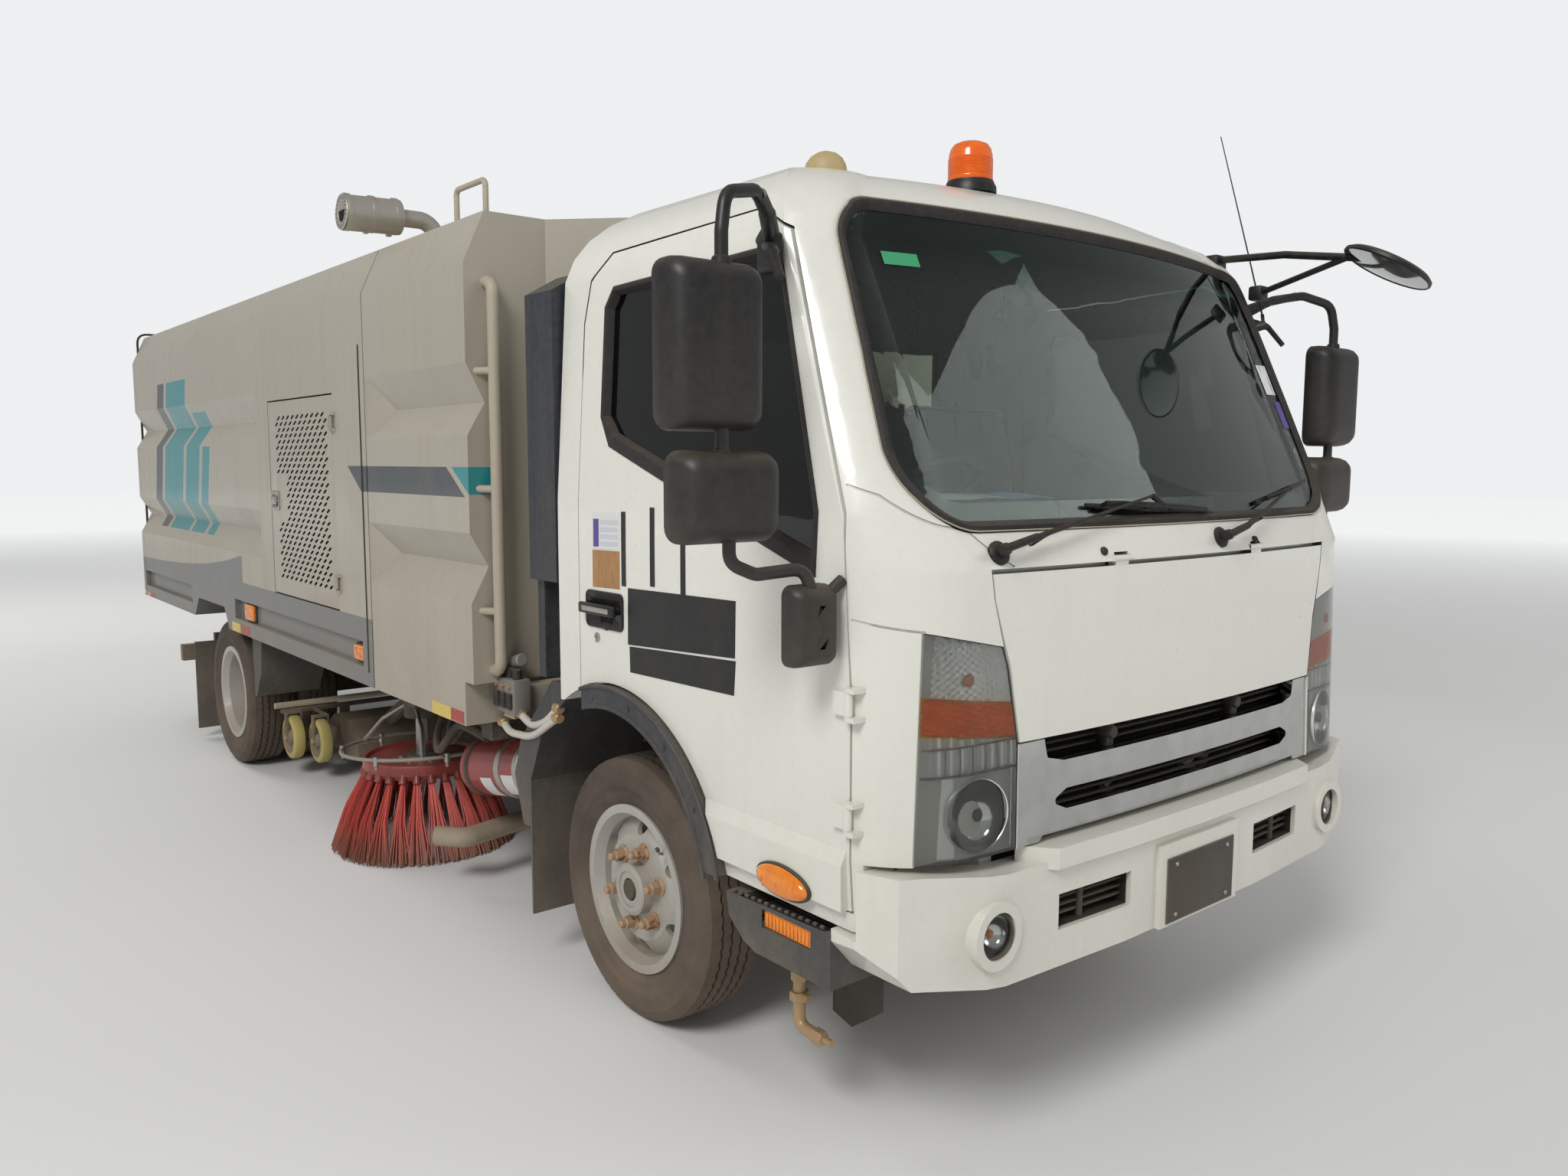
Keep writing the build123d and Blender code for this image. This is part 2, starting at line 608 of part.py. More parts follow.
def cab_fittings():
    plan = [(960, -990), (1040, -1000), (1130, -960), (1195, -760), (1222, -300), (1222, 300), (1195, 760),
            (1130, 960),
            (1040, 1000), (960, 990), (960, 930), (1060, 880), (1120, 700), (1150, 300), (1150, -300),
            (1120, -700),
            (1060, -880), (960, -930)]
    bumper = plan_plate(plan, 467, 820)
    face = front_plate([(-1010, 590), (-930, 500), (-700, 467), (700, 467), (930, 500), (1010, 590),
                        (1010, 745),
                        (900, 738), (700, 715), (-700, 715), (-900, 738), (-1010, 745)], 900, 1300)
    bumper = bumper & face
    for s in (-1, 1):
        bumper = bumper - front_plate([(s * 280, 552), (s * 535, 552), (s * 535, 634), (s * 280, 634)],
                                      1100, 1300)
        bumper = bumper + block(1050, 1155, s * 672 - 20, s * 672 + 20, 600, 700)
        bumper = bumper + block(1050, 1110, s * 672 - 20, s * 672 + 20, 690, 751.7)
        bumper = bumper - block(900, bumper_corner_x, s * 1100, s * 800, 596, 900)
    # A ledge over the openings, a pad for the plate, and a round hole for each fog lamp with a ring around it
    shelf = plan_plate([(1150, -620), (1225, -560), (1238, -300), (1242, 0), (1238, 300), (1225, 560),
                        (1150, 620)], 700, 748)
    pad = block(1150, 1236, -175, 175, 466, 672)
    bumper = bumper + shelf + pad
    for s in (-1, 1):
        well = Pos(1150, s * fog_lamp_y, fog_lamp_z) * Rot(0, 90, 0)
        bumper = bumper + well * Cylinder(fog_lamp_radius + 22, 120) - well * Cylinder(fog_lamp_radius, 200)
    keep("front_bumper", bumper)
    step = side_plate([(590, 572), (959.7, 582), (959.7, 455), (700, 455), (655, 470), (600, 515)], -992,
                      -800)
    step = step - block(640, 940, -990, -830, 535, 590) - block(725, 895, -1000, -984, 522, 568)
    step = step + block(640, 720, -860, -810, 535, 599.7)
    ring = Cylinder(arch_radius - 0.3, 60) - Cylinder(arch_radius - 62, 62)
    trim = Pos(arch_x, -975, arch_z) * Rot(90, 0, 0) * ring
    trim = trim - block(-600, -60, -1100, -800, -100, 1200) - block(-600, 700, -1100, -800, -100, 600)
    keep("steps_and_arch_trims", both_sides(step), both_sides(trim))
    seats = None
    for y, wide in ((-560, 480), (330, 900)):
        cushion = block(20, 480, y - wide / 2, y + wide / 2, seat_deck + 0.3, seat_deck + 170)
        back = side_plate([(60, seat_deck + 170), (-50, 1800), (-140, 1800), (-60, seat_deck + 0.3),
                           (60, seat_deck + 0.3)],
                          y - wide / 2, y + wide / 2)
        seats = cushion + back if seats is None else seats + cushion + back
    keep("seats", seats)
    dash = side_plate([(790, 1180), (800, 1380), (880, 1440), (1000, 1425), (1060, 1200)], -840, 840)
    column = rod((766, wheel_y, 1373), (900, wheel_y, 1272.5), 24)
    feet = both_sides(block(1000, 1200, 470, 530, 1230, 1290)) & cab_form(cab_wall + pin_clearance)
    keep("dashboard", dash + column + feet)
    axis = Vector(-200, 0, 150).normalized()
    hub = Vector(734, wheel_y, 1397)
    plane = Plane(origin=(hub.X, hub.Y, hub.Z), z_dir=(axis.X, axis.Y, axis.Z))
    wheel = plane * Pos(0, 0, 30) * Torus(215, 14) + plane * Pos(0, 0, 1) * Cylinder(50, 81.4)
    for turn in (0, 120, 240):
        wheel = wheel + plane * Rot(0, 0, turn + 90) * Pos(125, 0, 30) * Box(170, 26, 12)
    keep("steering_wheel", wheel)
    skin = cab_form(-0.3)
    base = Pos(660, -255, 2280) * Cylinder(70, 50) - skin
    dome = Pos(660, -255, 2350) * Cylinder(58, 104)
    small = Pos(600, -700, 2262) * Sphere(50) - skin
    aerial = rod((850, 914, 2015), (673, 914, 2617), 4) + (rod((800, 880, 1995), (854, 918, 2018), 14) - skin)
    roof = (base + dome) + small + aerial
    arms = bent_rod([(735, 800, 2215), (960, 800, 2200), (1250, 800, 2150)], 11, 60)
    lower = rod((858, 850, 2100), (1150, 800, 2170), 9)
    disc = Plane(origin=(round_mirror_x, 800, 2130), z_dir=(0.45, 0.3, 1)) * Cylinder(round_mirror_radius, 26)
    foot = block(700, 760, 770, 830, 2170, 2225) + block(830, 875, 830, 880, 2080, 2125)
    keep("roof_fittings", roof, (arms + lower + foot - skin) + disc)


def mirrors():
    big = front_plate([(-1371, 1642), (-1149, 1642), (-1149, 1965), (-1371, 1965)], 860, 960, 30)
    middle = front_plate([(-1348, 1424), (-1109, 1424), (-1109, 1606), (-1348, 1606)], 860, 965, 30)
    arm = bent_rod([(725, -968, 2040), (850, -1090, 2120), (905, -1230, 2100), (905, -1230, 1400),
                    (930, -1180, 1370),
                    (985, -1060, 1350), (985, -985.3, 1350)], 13, 20)
    foot = block(695, 755, -985, -953.8, 1990, 2075)
    small = front_plate([(-1120, 1170), (-1000, 1170), (-1000, 1338), (-1120, 1338)], 940, 1010, 20)
    right = big + middle + arm + foot + small
    keep("mirrors_right", right)
    keep("mirrors_left", other_side(right))


def body_outline(inset):
    w = body_half_width - inset
    r = ridge_half_width - inset * 0.7
    return [(-w, body_bottom), (-w, side_top - inset * 0.3), (-r, roof_top - inset), (r, roof_top - inset),
            (w, side_top - inset * 0.3), (w, body_bottom)]


grooves = ((1886, 1765, 1662), (1365, 1258, 1142))


def groove_cutter(x0, x1, slant):
    # V grooves pressed into both sides between x0 and x1; slant draws the front or rear end wall.
    total = None
    w = body_half_width
    for top, fold, low in grooves:
        cutter = front_plate([(-w - 1, top), (-w + groove_depth, fold), (-w - 1, low)], x0, x1)
        if slant:
            wedge = plan_plate([(x0 - 1, -w - 2), (x0 + slant, -w + groove_depth + 1),
                                (x0 - 1, -w + groove_depth + 1)],
                               low - 5, top + 5)
            cutter = cutter - wedge
        both = both_sides(cutter)
        total = both if total is None else total + both
    return total


def water_tank():
    form = front_plate(body_outline(0), seam_x + seam_gap, -300)
    plan = [(seam_x, -1100), (body_front_x, -1100), (body_front_x, -780), (tank_nose_x, -560),
            (tank_nose_x, 560),
            (body_front_x, 780), (body_front_x, 1100), (seam_x, 1100)]
    form = form & plan_plate(plan, 700, 2400)
    form = form - groove_cutter(seam_x + seam_gap, 0, 150)
    form = form - block(-700, -300, -1100, 1100, 700, 890)
    form = form - block(seam_x, -300, -700, 700, 700, 840) + both_sides(block(-1480, -720, 315, 375,
                                                                              subframe_top, 842))
    keep("water_tank", form)
    face = body_front_x + 0.3
    rail = bent_rod([(face, -985, 2128), (-590, -985, 2128), (-590, -985, 930), (face, -985, 930)], 19, 40)
    rungs = None
    for z in (1860, 1500, 1120):
        rung = rod((-590, -985, z), (-660, -1035, z), 12) - block(-800, face, -1100, -800, z - 50, z + 50)
        rungs = rung if rungs is None else rungs + rung
    handle = bent_rod([(-905, -950, roof_top + 0.3), (-905, -950, roof_top + 110),
                       (-705, -945, roof_top + 110),
                       (-705, -945, roof_top + 0.3)], 9, 20)
    keep("ladder", rail + rungs, handle)


def hopper():
    x1 = seam_x
    x0 = body_rear_x + rear_door_thickness + clear
    shell = front_plate(body_outline(0), x0, x1)
    shell = shell - groove_cutter(body_rear_x - 10, -2850, 0)
    hold = front_plate(body_outline(body_wall + groove_depth), x0 - 5, bulkhead_x) & block(-6000, 0, -1100,
                                                                                           1100, 800, 2400)
    shell = shell - hold
    bay = front_plate([(y, z - 60 if z < 800 else z) for y, z in body_outline(body_wall)], bulkhead_x + 45,
                      x1 + 5)
    shell = shell - bay
    arch = side_plate([(-wheelbase - 465, 700), (-wheelbase - 320, 851), (-wheelbase + 190, 851),
                       (-wheelbase + 310, 700)], -1100, 1100)
    shell = shell - both_sides(arch & block(-5000, -3000, -1100, -540, 600, 1000))
    rail = block(-3357, -1600, -1100, -body_half_width + 25, 815, 912)
    rear = block(-5418, -4215, -1100, -body_half_width + 25, 812, 907)
    shell = shell - both_sides(rail) - both_sides(rear)
    shell = shell - Pos(inlet_x, inlet_y, 780) * Cylinder(inlet_radius, 160)
    for s in (-1, 1):
        door_hole = block(engine_door[0], engine_door[1], s * (body_half_width + 43),
                          s * (body_half_width - 57),
                          engine_door[2], engine_door[3])
        shell = shell - door_hole
    keep("hopper_shell", hopper_hinges(shell))
    hopper_brackets()


def hopper_brackets():
    # Under the floor: the lugs on the tipping pivots, and two plates for the rod's eye.
    lug_y = rail_half_width - rail_flange / 2
    lug = block(hopper_pivot_x - 22, hopper_pivot_x + 22, lug_y - 25, lug_y + 25, hopper_pivot_z, body_bottom)
    eye = Pos(hopper_pivot_x, lug_y, hopper_pivot_z) * Rot(90, 0, 0) * Cylinder(38, 50)
    bore = Pos(hopper_pivot_x, lug_y, hopper_pivot_z) * Rot(90, 0, 0) * Cylinder(20 + pin_clearance, 60)
    eye = eye & block(hopper_pivot_x - 50, hopper_pivot_x + 50, lug_y - 30, lug_y + 30, 600, body_bottom)
    plates = [block(rod_eye_x - 35, rod_eye_x + 35, s * 43 - 7, s * 43 + 7, rod_eye_z - 30, body_bottom)
              for s in (-1, 1)]
    keep("hopper_brackets", both_sides(lug + eye - bore), *plates)


def hopper_hinges(shell):
    # Rear door on two roof hinges, and an engine door on two edge hinges on each side.
    x0, x1 = body_rear_x, body_rear_x + rear_door_thickness
    door = front_plate(body_outline(0), x0, x1) - groove_cutter(x0 - 10, x1 + 10, 0)
    for y in (-620, 620):
        pin, barrel = hinge((rear_pivot_x, y, rear_pivot_z), (0, 1, 0), 12, 60, 14)
        shell = shell + pin
        for s in (-1, 1):
            side = y + s * 37.6
            shell = shell + block(rear_pivot_x, rear_pivot_x + 70, side - 7, side + 7, roof_top - 20,
                                  rear_pivot_z)
        strap = block(x0, rear_pivot_x, y - 30, y + 30, roof_top - 12, rear_pivot_z + 8)
        door = door + (strap + barrel - Pos(rear_pivot_x, y, rear_pivot_z) * Rot(90, 0, 0) * Cylinder(12.3,
                                                                                                      90))
    keep("rear_door", door)
    left, right, low, high = engine_door
    panel = block(left + clear, right - clear, -body_half_width, -body_half_width + body_wall, low + clear,
                  high - clear)
    panel = panel - block(left + 90, right - 65, -body_half_width + 5, -1000, low + 70, high - 63)
    for z in (low + 110, high - 110):
        pin, barrel = hinge((right, -body_half_width - 8.5, z), (0, 0, 1), 4, 50, 10)
        arm = block(right - 40, right, -body_half_width - 9, -body_half_width, z - 25, z + 25)
        bore = Pos(right, -body_half_width - 8.5, z) * Cylinder(4 + pin_clearance, 80)
        panel = panel + (arm + barrel - bore)
        feet = [block(right, right + 30, -body_half_width - 9, -body_half_width + 1, z + s * 30.3 - 5,
                      z + s * 30.3 + 5)
                for s in (-1, 1)]
        shell = shell + both_sides(pin + feet[0] + feet[1])
    keep("engine_door_right", panel)
    keep("engine_door_left", other_side(panel))
    return shell


def hopper_fittings():
    case = rod((muffler_x, -1058, 2488), (muffler_x, -848, 2496), 64)
    pipe = bent_rod([(muffler_x, -850, 2496), (muffler_x, -700, 2498), (muffler_x, -700, roof_top + 0.3)],
                    32, 70)
    keep("exhaust_muffler", case + pipe)
    keep("auxiliary_engine", block(-2640, -1740, -560, 560, subframe_top + 0.3, 1500))
    direction = Vector(rod_eye_x - barrel_pin_x, 0, rod_eye_z - barrel_pin_z)
    length = direction.length
    along = Plane(origin=(barrel_pin_x, 0, barrel_pin_z), z_dir=(direction.X, 0, direction.Z))
    up = (Align.CENTER, Align.CENTER, Align.MIN)
    tube = along * Pos(0, 0, barrel_start) * Cylinder(barrel_radius, barrel_length, align=up)
    eye = Pos(barrel_pin_x, 0, barrel_pin_z) * Rot(90, 0, 0) * Cylinder(40, 66)
    neck = along * Pos(0, 0, 45) * Box(60, 60, 60)
    hole = Pos(barrel_pin_x, 0, barrel_pin_z) * Rot(90, 0, 0) * Cylinder(18 + pin_clearance, 90)
    deep = barrel_start + 70
    bore = along * Pos(0, 0, deep) * Cylinder(piston_rod_radius + pin_clearance, barrel_length, align=up)
    keep("tipping_cylinder_barrel", tube + eye + neck - hole - bore)
    shaft = along * Pos(0, 0, deep + 10) * Cylinder(piston_rod_radius, length - deep - 30, align=up)
    head = Pos(rod_eye_x, 0, rod_eye_z) * Rot(90, 0, 0) * Cylinder(36, 70)
    keep("tipping_cylinder_rod", shaft + head)


def brushes():
    pivot = (brush_pivot_x, -brush_pivot_y, brush_arm_z)
    bracket, barrel = hinge(pivot, (0, 0, 1), 20, 70, 16)
    plates = [block(brush_pivot_x - 40, brush_pivot_x + 40, -brush_pivot_y, -rail_half_width - 0.3,
                    brush_arm_z + s * 51.6 - 8, brush_arm_z + s * 51.6 + 8) for s in (-1, 1)]
    bracket = bracket + plates[0] + plates[1]
    bracket = bracket + block(brush_pivot_x - 40, brush_pivot_x + 40, -rail_half_width - 12,
                              -rail_half_width - 0.3,
                              brush_arm_z - 59, brush_arm_z + 59)
    nodes["sweeper_brackets"] = both_sides(bracket)
    beam = plan_plate(strip((brush_pivot_x, -brush_pivot_y), (brush_x, -brush_y), 28), brush_arm_z - 30,
                      brush_arm_z + 30)
    motor = Pos(brush_x, -brush_y, brush_arm_z - 10) * Cylinder(68, 100)
    shaft_hole = Pos(brush_x, -brush_y, brush_arm_z - 60) * Cylinder(22 + pin_clearance, 80)
    arm = barrel + motor + (beam - Pos(*pivot) * Cylinder(30, 100)) - shaft_hole
    keep("brush_arm_right", arm)
    keep("brush_arm_left", other_side(arm))
    disc = Pos(brush_x, -brush_y, brush_disc_top - 14) * Cylinder(brush_disc_radius, 28)
    stem_top = brush_arm_z - 25
    stem = rod((brush_x, -brush_y, brush_disc_top - 1), (brush_x, -brush_y, stem_top), 22)
    tuft = Cone(bristle_radius, brush_disc_radius - 20, brush_disc_top - 28 - 14)
    bristles = Pos(brush_x, -brush_y, 14 + (brush_disc_top - 42) / 2) * tuft
    keep("brush_right", disc + stem + bristles)
    keep("brush_left", other_side(disc + stem + bristles))


def strip(start, end, half):
    # Four corners of a straight strip in plan, half the width to each side of the line from start to end.
    run = Vector(end[0] - start[0], end[1] - start[1], 0).normalized()
    side = (-run.Y * half, run.X * half)
    return [(start[0] + side[0], start[1] + side[1]), (end[0] + side[0], end[1] + side[1]),
            (end[0] - side[0], end[1] - side[1]), (start[0] - side[0], start[1] - side[1])]


def nozzle():
    hood = side_plate([(-3400, 120), (-3330, 240), (-3230, 300), (-3030, 300), (-2900, 200), (-2880, 120)],
                      -640, 640)
    hood = hood - side_plate([(-3390, 110), (-3322, 232), (-3226, 290), (-3034, 290), (-2908, 194),
                              (-2890, 110)], -630, 630)
    hose_x = inlet_x + 15
    hose = rod((hose_x, inlet_y, 280), (hose_x, inlet_y, body_bottom - clear), 95)
    flange = rod((hose_x, inlet_y, 300.3), (hose_x, inlet_y, 310), 110)
    bore = rod((hose_x, inlet_y, 270), (hose_x, inlet_y, body_bottom), 85)
    hood = hood - rod((hose_x, inlet_y, 270), (hose_x, inlet_y, 320), 95 + pin_clearance)
    keep("suction_hose", hose + flange - bore)
    arm_y = rail_half_width + 65
    pins = None
    bars = None
    for s in (-1, 1):
        pin, barrel = hinge((nozzle_pivot_x, s * arm_y, nozzle_pivot_z), (0, 1, 0), 16, 40, 14)
        hanger = [block(nozzle_pivot_x - 30, nozzle_pivot_x + 30, s * arm_y + t * 27.6 - 7,
                        s * arm_y + t * 27.6 + 7,
                        nozzle_pivot_z - 30, nozzle_pivot_z + 62) for t in (-1, 1)]
        top = block(nozzle_pivot_x - 30, nozzle_pivot_x + 30, s * (rail_half_width + 0.3), s * (arm_y + 34.6),
                    nozzle_pivot_z + 50, nozzle_pivot_z + 62)
        hanger_set = pin + hanger[0] + hanger[1] + top
        pins = hanger_set if pins is None else pins + hanger_set
        bar = side_plate([(nozzle_pivot_x, 540), (nozzle_pivot_x, 500), (-3000, 240), (-3060, 295)],
                         s * arm_y - 14, s * arm_y + 14)
        bore = Pos(nozzle_pivot_x, s * arm_y, nozzle_pivot_z) * Rot(90, 0, 0) * Cylinder(16 + pin_clearance,
                                                                                         90)
        bar = bar + barrel - bore
        bars = bar if bars is None else bars + bar
    keep("sweeper_brackets", nodes["sweeper_brackets"], pins)
    spindles = None
    for x, y in castors:
        axle = rod((x, -y + 36, castor_z), (x, -y - 36, castor_z), 12)
        plate = block(x - 14, x + 14, -y + 31, -y + 39, castor_z - 20, castor_z + 130)
        outer_arm = block(x - 14, x + 14, -y - 39, -y - 31, castor_z - 20, castor_z + 130)
        bridge = block(x - 14, x + 14, -y - 39, -y + 39, castor_z + 118, castor_z + 130)
        one = axle + plate + outer_arm + bridge
        one = one + block(-3300, x + 14, -y + 31, -y + 39, castor_z + 113, castor_z + 130)
        spindles = one if spindles is None else spindles + one
    cross = block(-3330, -3290, -castors[0][1] - 39, castors[0][1] + 39, castor_z + 113, castor_z + 130)
    cross = cross + both_sides(block(-3330, -3290, 540, 580, 260, castor_z + 130))
    keep("suction_nozzle", hood + bars + both_sides(spindles) + cross)
    for i, (x, y) in enumerate(castors):
        place = ("rear", "front")[i]
        ring = Rot(90, 0, 0) * (Cylinder(castor_radius, 54) - Cylinder(12 + pin_clearance, 60))
        keep("nozzle_wheels_" + place, both_sides(Pos(x, -y, castor_z) * ring))


def pipework():
    bar = rod((spray_x, rail_half_width + 6, 465), (spray_x, 1050, 465), 14)
    post = block(spray_x - 12, spray_x + 12, rail_half_width + 0.3, rail_half_width + 20, 465, 590)
    sprays = both_sides(bar + post)
    duct = front_plate([(-985, 1240), (-880, 1240), (-880, 2120), (-985, 2060)], -385, -225)
    foot = block(-385, -345, -960, -880, 960, 1245)
    tray = block(-385, -345, -960, -rail_half_width - 0.3, 945, 985)
    tray = tray + block(-385, -345, -420, -rail_half_width - 0.3, 600, 945)
    keep("air_intake", duct + foot + tray)
    valves = block(-630, -560, -960, -600, 780, 880) + block(-640, -560, -700, -rail_half_width - 0.3, 690,
                                                             790)
    drain = bent_rod(drain_line, drain_radius, drain_radius + 4)
    cap = rod(drain_line[0], (drain_line[0][0] - 3, drain_line[0][1] + 12, drain_z), drain_radius + 4)
    strap_x = drain_line[0][0]
    strap = block(strap_x - 25, strap_x + 25, -rail_half_width - 12, -rail_half_width - 0.3, drain_z - 10,
                  600)
    strap = strap + block(strap_x - 15, strap_x + 15, drain_line[0][1] - 40, -rail_half_width - 0.3,
                          drain_z - 10, drain_z + 15)
    keep("pipework", sprays, valves + (drain + cap + strap))


def finish():
    os.makedirs("parts", exist_ok=True)
    for name, part in nodes.items():
        placed = Pos(-origin_x, 0, 0) * part
        export_step(placed, os.path.join("parts", name + ".step"))


cab_lug = chassis_frame()
wheels()
front_axle()
rear_axle()
springs()
running_gear()
guards()
cab(cab_lug)
cab_fittings()
mirrors()
water_tank()
hopper()
hopper_fittings()
brushes()
nozzle()
pipework()
finish()
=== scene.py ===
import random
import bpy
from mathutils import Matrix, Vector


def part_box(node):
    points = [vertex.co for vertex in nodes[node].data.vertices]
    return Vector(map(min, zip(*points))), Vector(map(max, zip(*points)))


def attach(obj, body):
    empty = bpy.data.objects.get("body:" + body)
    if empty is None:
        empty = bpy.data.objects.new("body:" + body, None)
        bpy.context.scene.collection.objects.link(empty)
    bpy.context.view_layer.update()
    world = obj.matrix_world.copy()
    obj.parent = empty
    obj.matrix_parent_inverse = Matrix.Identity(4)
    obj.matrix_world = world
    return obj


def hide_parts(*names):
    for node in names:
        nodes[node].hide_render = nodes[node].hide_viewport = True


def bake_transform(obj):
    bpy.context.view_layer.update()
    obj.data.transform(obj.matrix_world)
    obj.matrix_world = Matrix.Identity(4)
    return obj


bl_info = {"name": "Street sweeper truck", "version": (1, 0, 0), "blender": (4, 5, 0),
    "location": "3D View > Sidebar > Sweeper", "category": "Object",
    "description": "Finishes and small pieces of a street sweeper truck around its built frame"}

from functools import partial
from math import cos, pi, radians, sin, sqrt, tan

import bmesh
import bpy
import numpy as np
from bpy.props import FloatProperty, FloatVectorProperty, IntProperty, PointerProperty
from mathutils import Matrix, Vector
from mathutils.bvhtree import BVHTree

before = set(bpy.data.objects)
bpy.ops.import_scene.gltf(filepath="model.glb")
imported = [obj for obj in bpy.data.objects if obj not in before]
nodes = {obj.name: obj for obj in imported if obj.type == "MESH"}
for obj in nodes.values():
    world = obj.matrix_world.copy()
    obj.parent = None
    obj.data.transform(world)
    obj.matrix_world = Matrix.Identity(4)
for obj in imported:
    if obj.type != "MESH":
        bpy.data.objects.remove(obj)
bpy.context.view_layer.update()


def middle(node):
    low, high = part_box(node)
    return (low + high) / 2


# Places are measured from the front axle: X forward, Y to the vehicle's left, Z up from the floor.
axle_x = middle("front_tyre_right").x
front_wheel_y = abs(middle("front_tyre_right").y)
tyre_radius = middle("front_tyre_right").z
wheelbase = axle_x - middle("rear_tyres_right").x
right = -1
left = 1
both_sides = (("right", right), ("left", left))


def vec(x, y, z):
    return Vector((x, y, z))


def polar(radius, angle, z=0):
    return vec(radius * cos(angle), radius * sin(angle), z)


def circle(count):
    """Even angles round a full turn."""
    return [2 * pi * i / count for i in range(count)]


def spot(x, y, z):
    return vec(x + axle_x, y, z)


def spots(*places):
    return [spot(*place) for place in places]


def srgb(red, green, blue):
    """A colour given as 0 to 255 screen values, as the linear values that sockets take."""
    return tuple((v / 255) ** 2.2 for v in (red, green, blue))


class SweeperSizes(bpy.types.PropertyGroup):
    seal_width: FloatProperty(name="Window seal", description="Width of the rubber seal round a window",
        default=0.026, unit="LENGTH")
    tufts: IntProperty(name="Tufts", description="Tufts of bristles on one brush", default=26)
    tread_depth: FloatProperty(name="Tread depth", description="Depth of the grooves in a tyre",
        default=0.009, unit="LENGTH")
    nut_circle: FloatProperty(name="Nut circle", description="Radius of the circle of wheel nuts",
        default=0.111, unit="LENGTH")
    slot_width: FloatProperty(name="Slot width", description="Width of a slot in the engine door",
        default=0.045, unit="LENGTH")
    slot_height: FloatProperty(name="Slot height", description="Height of a slot in the engine door",
        default=0.0195, unit="LENGTH")
    lens: FloatProperty(name="Lens", description="Focal length of the camera in millimetres", default=26.54)


def colour_property(title, what, value):
    return FloatVectorProperty(name=title, description=what, subtype="COLOR", size=3, min=0, max=1,
        default=value)


class SweeperColours(bpy.types.PropertyGroup):
    cab: colour_property("Cab", "Cream white paint of the cab", srgb(222, 221, 211))
    body: colour_property("Body", "Stone beige paint of the tank and hopper", srgb(168, 161, 147))
    slate: colour_property("Slate", "Slate grey bands on the body", srgb(92, 99, 103))
    dark_slate: colour_property("Dark slate", "Dark grey stripe on the body", srgb(62, 68, 73))
    teal: colour_property("Teal", "Teal stripes on the body", srgb(32, 132, 138))
    dust: colour_property("Dust", "Dry road dust", srgb(150, 135, 114))
    chassis: colour_property("Chassis", "Black paint under the body", srgb(34, 34, 36))
    rubber: colour_property("Rubber", "Tyres and seals", srgb(42, 40, 39))
    plastic: colour_property("Plastic", "Black moulded plastic", srgb(33, 34, 36))
    bristle: colour_property("Bristle", "Red brush bristles", srgb(192, 84, 76))
    red: colour_property("Red", "Red paint of the brush gear", srgb(140, 22, 30))
    amber: colour_property("Amber", "Amber lamps", srgb(236, 138, 30))
    urethane: colour_property("Castor tyre", "Yellow tyres of the nozzle's castors", srgb(188, 172, 96))
    floor: colour_property("Floor", "Plain studio floor", srgb(226, 225, 222))


def sizes():
    return bpy.context.scene.sweeper_sizes


# Geometry helpers
def facing(origin, direction, up=(0, 0, 1)):
    """A matrix whose local Z points along direction and whose local Y is as near up as it can be."""
    z = Vector(direction).normalized()
    y = Vector(up) - z * z.dot(Vector(up))
    if y.length < 1e-4:
        y = vec(0, 1, 0) - z * z.y
    y.normalize()
    x = y.cross(z)
    return Matrix.Translation(Vector(origin)) @ Matrix((x, y, z)).transposed().to_4x4()


def rounded(points, bend, steps=6):
    """A path through points with each corner turned into an arc of about the radius bend."""
    points = [Vector(p) for p in points]
    if not bend:
        return points
    path = [points[0]]
    for before, corner, after in zip(points, points[1:], points[2:]):
        back = (before - corner).normalized()
        ahead = (after - corner).normalized()
        turn = back.angle(ahead)
        if turn > radians(178):
            path.append(corner)
            continue
        cut = min(bend / tan(turn / 2), 0.48 * (before - corner).length, 0.48 * (after - corner).length)
        start, end = corner + back * cut, corner + ahead * cut
        for i in range(steps + 1):
            t = i / steps
            path.append(start * (1 - t) ** 2 + corner * (2 * t * (1 - t)) + end * t ** 2)
    path.append(points[-1])
    return path


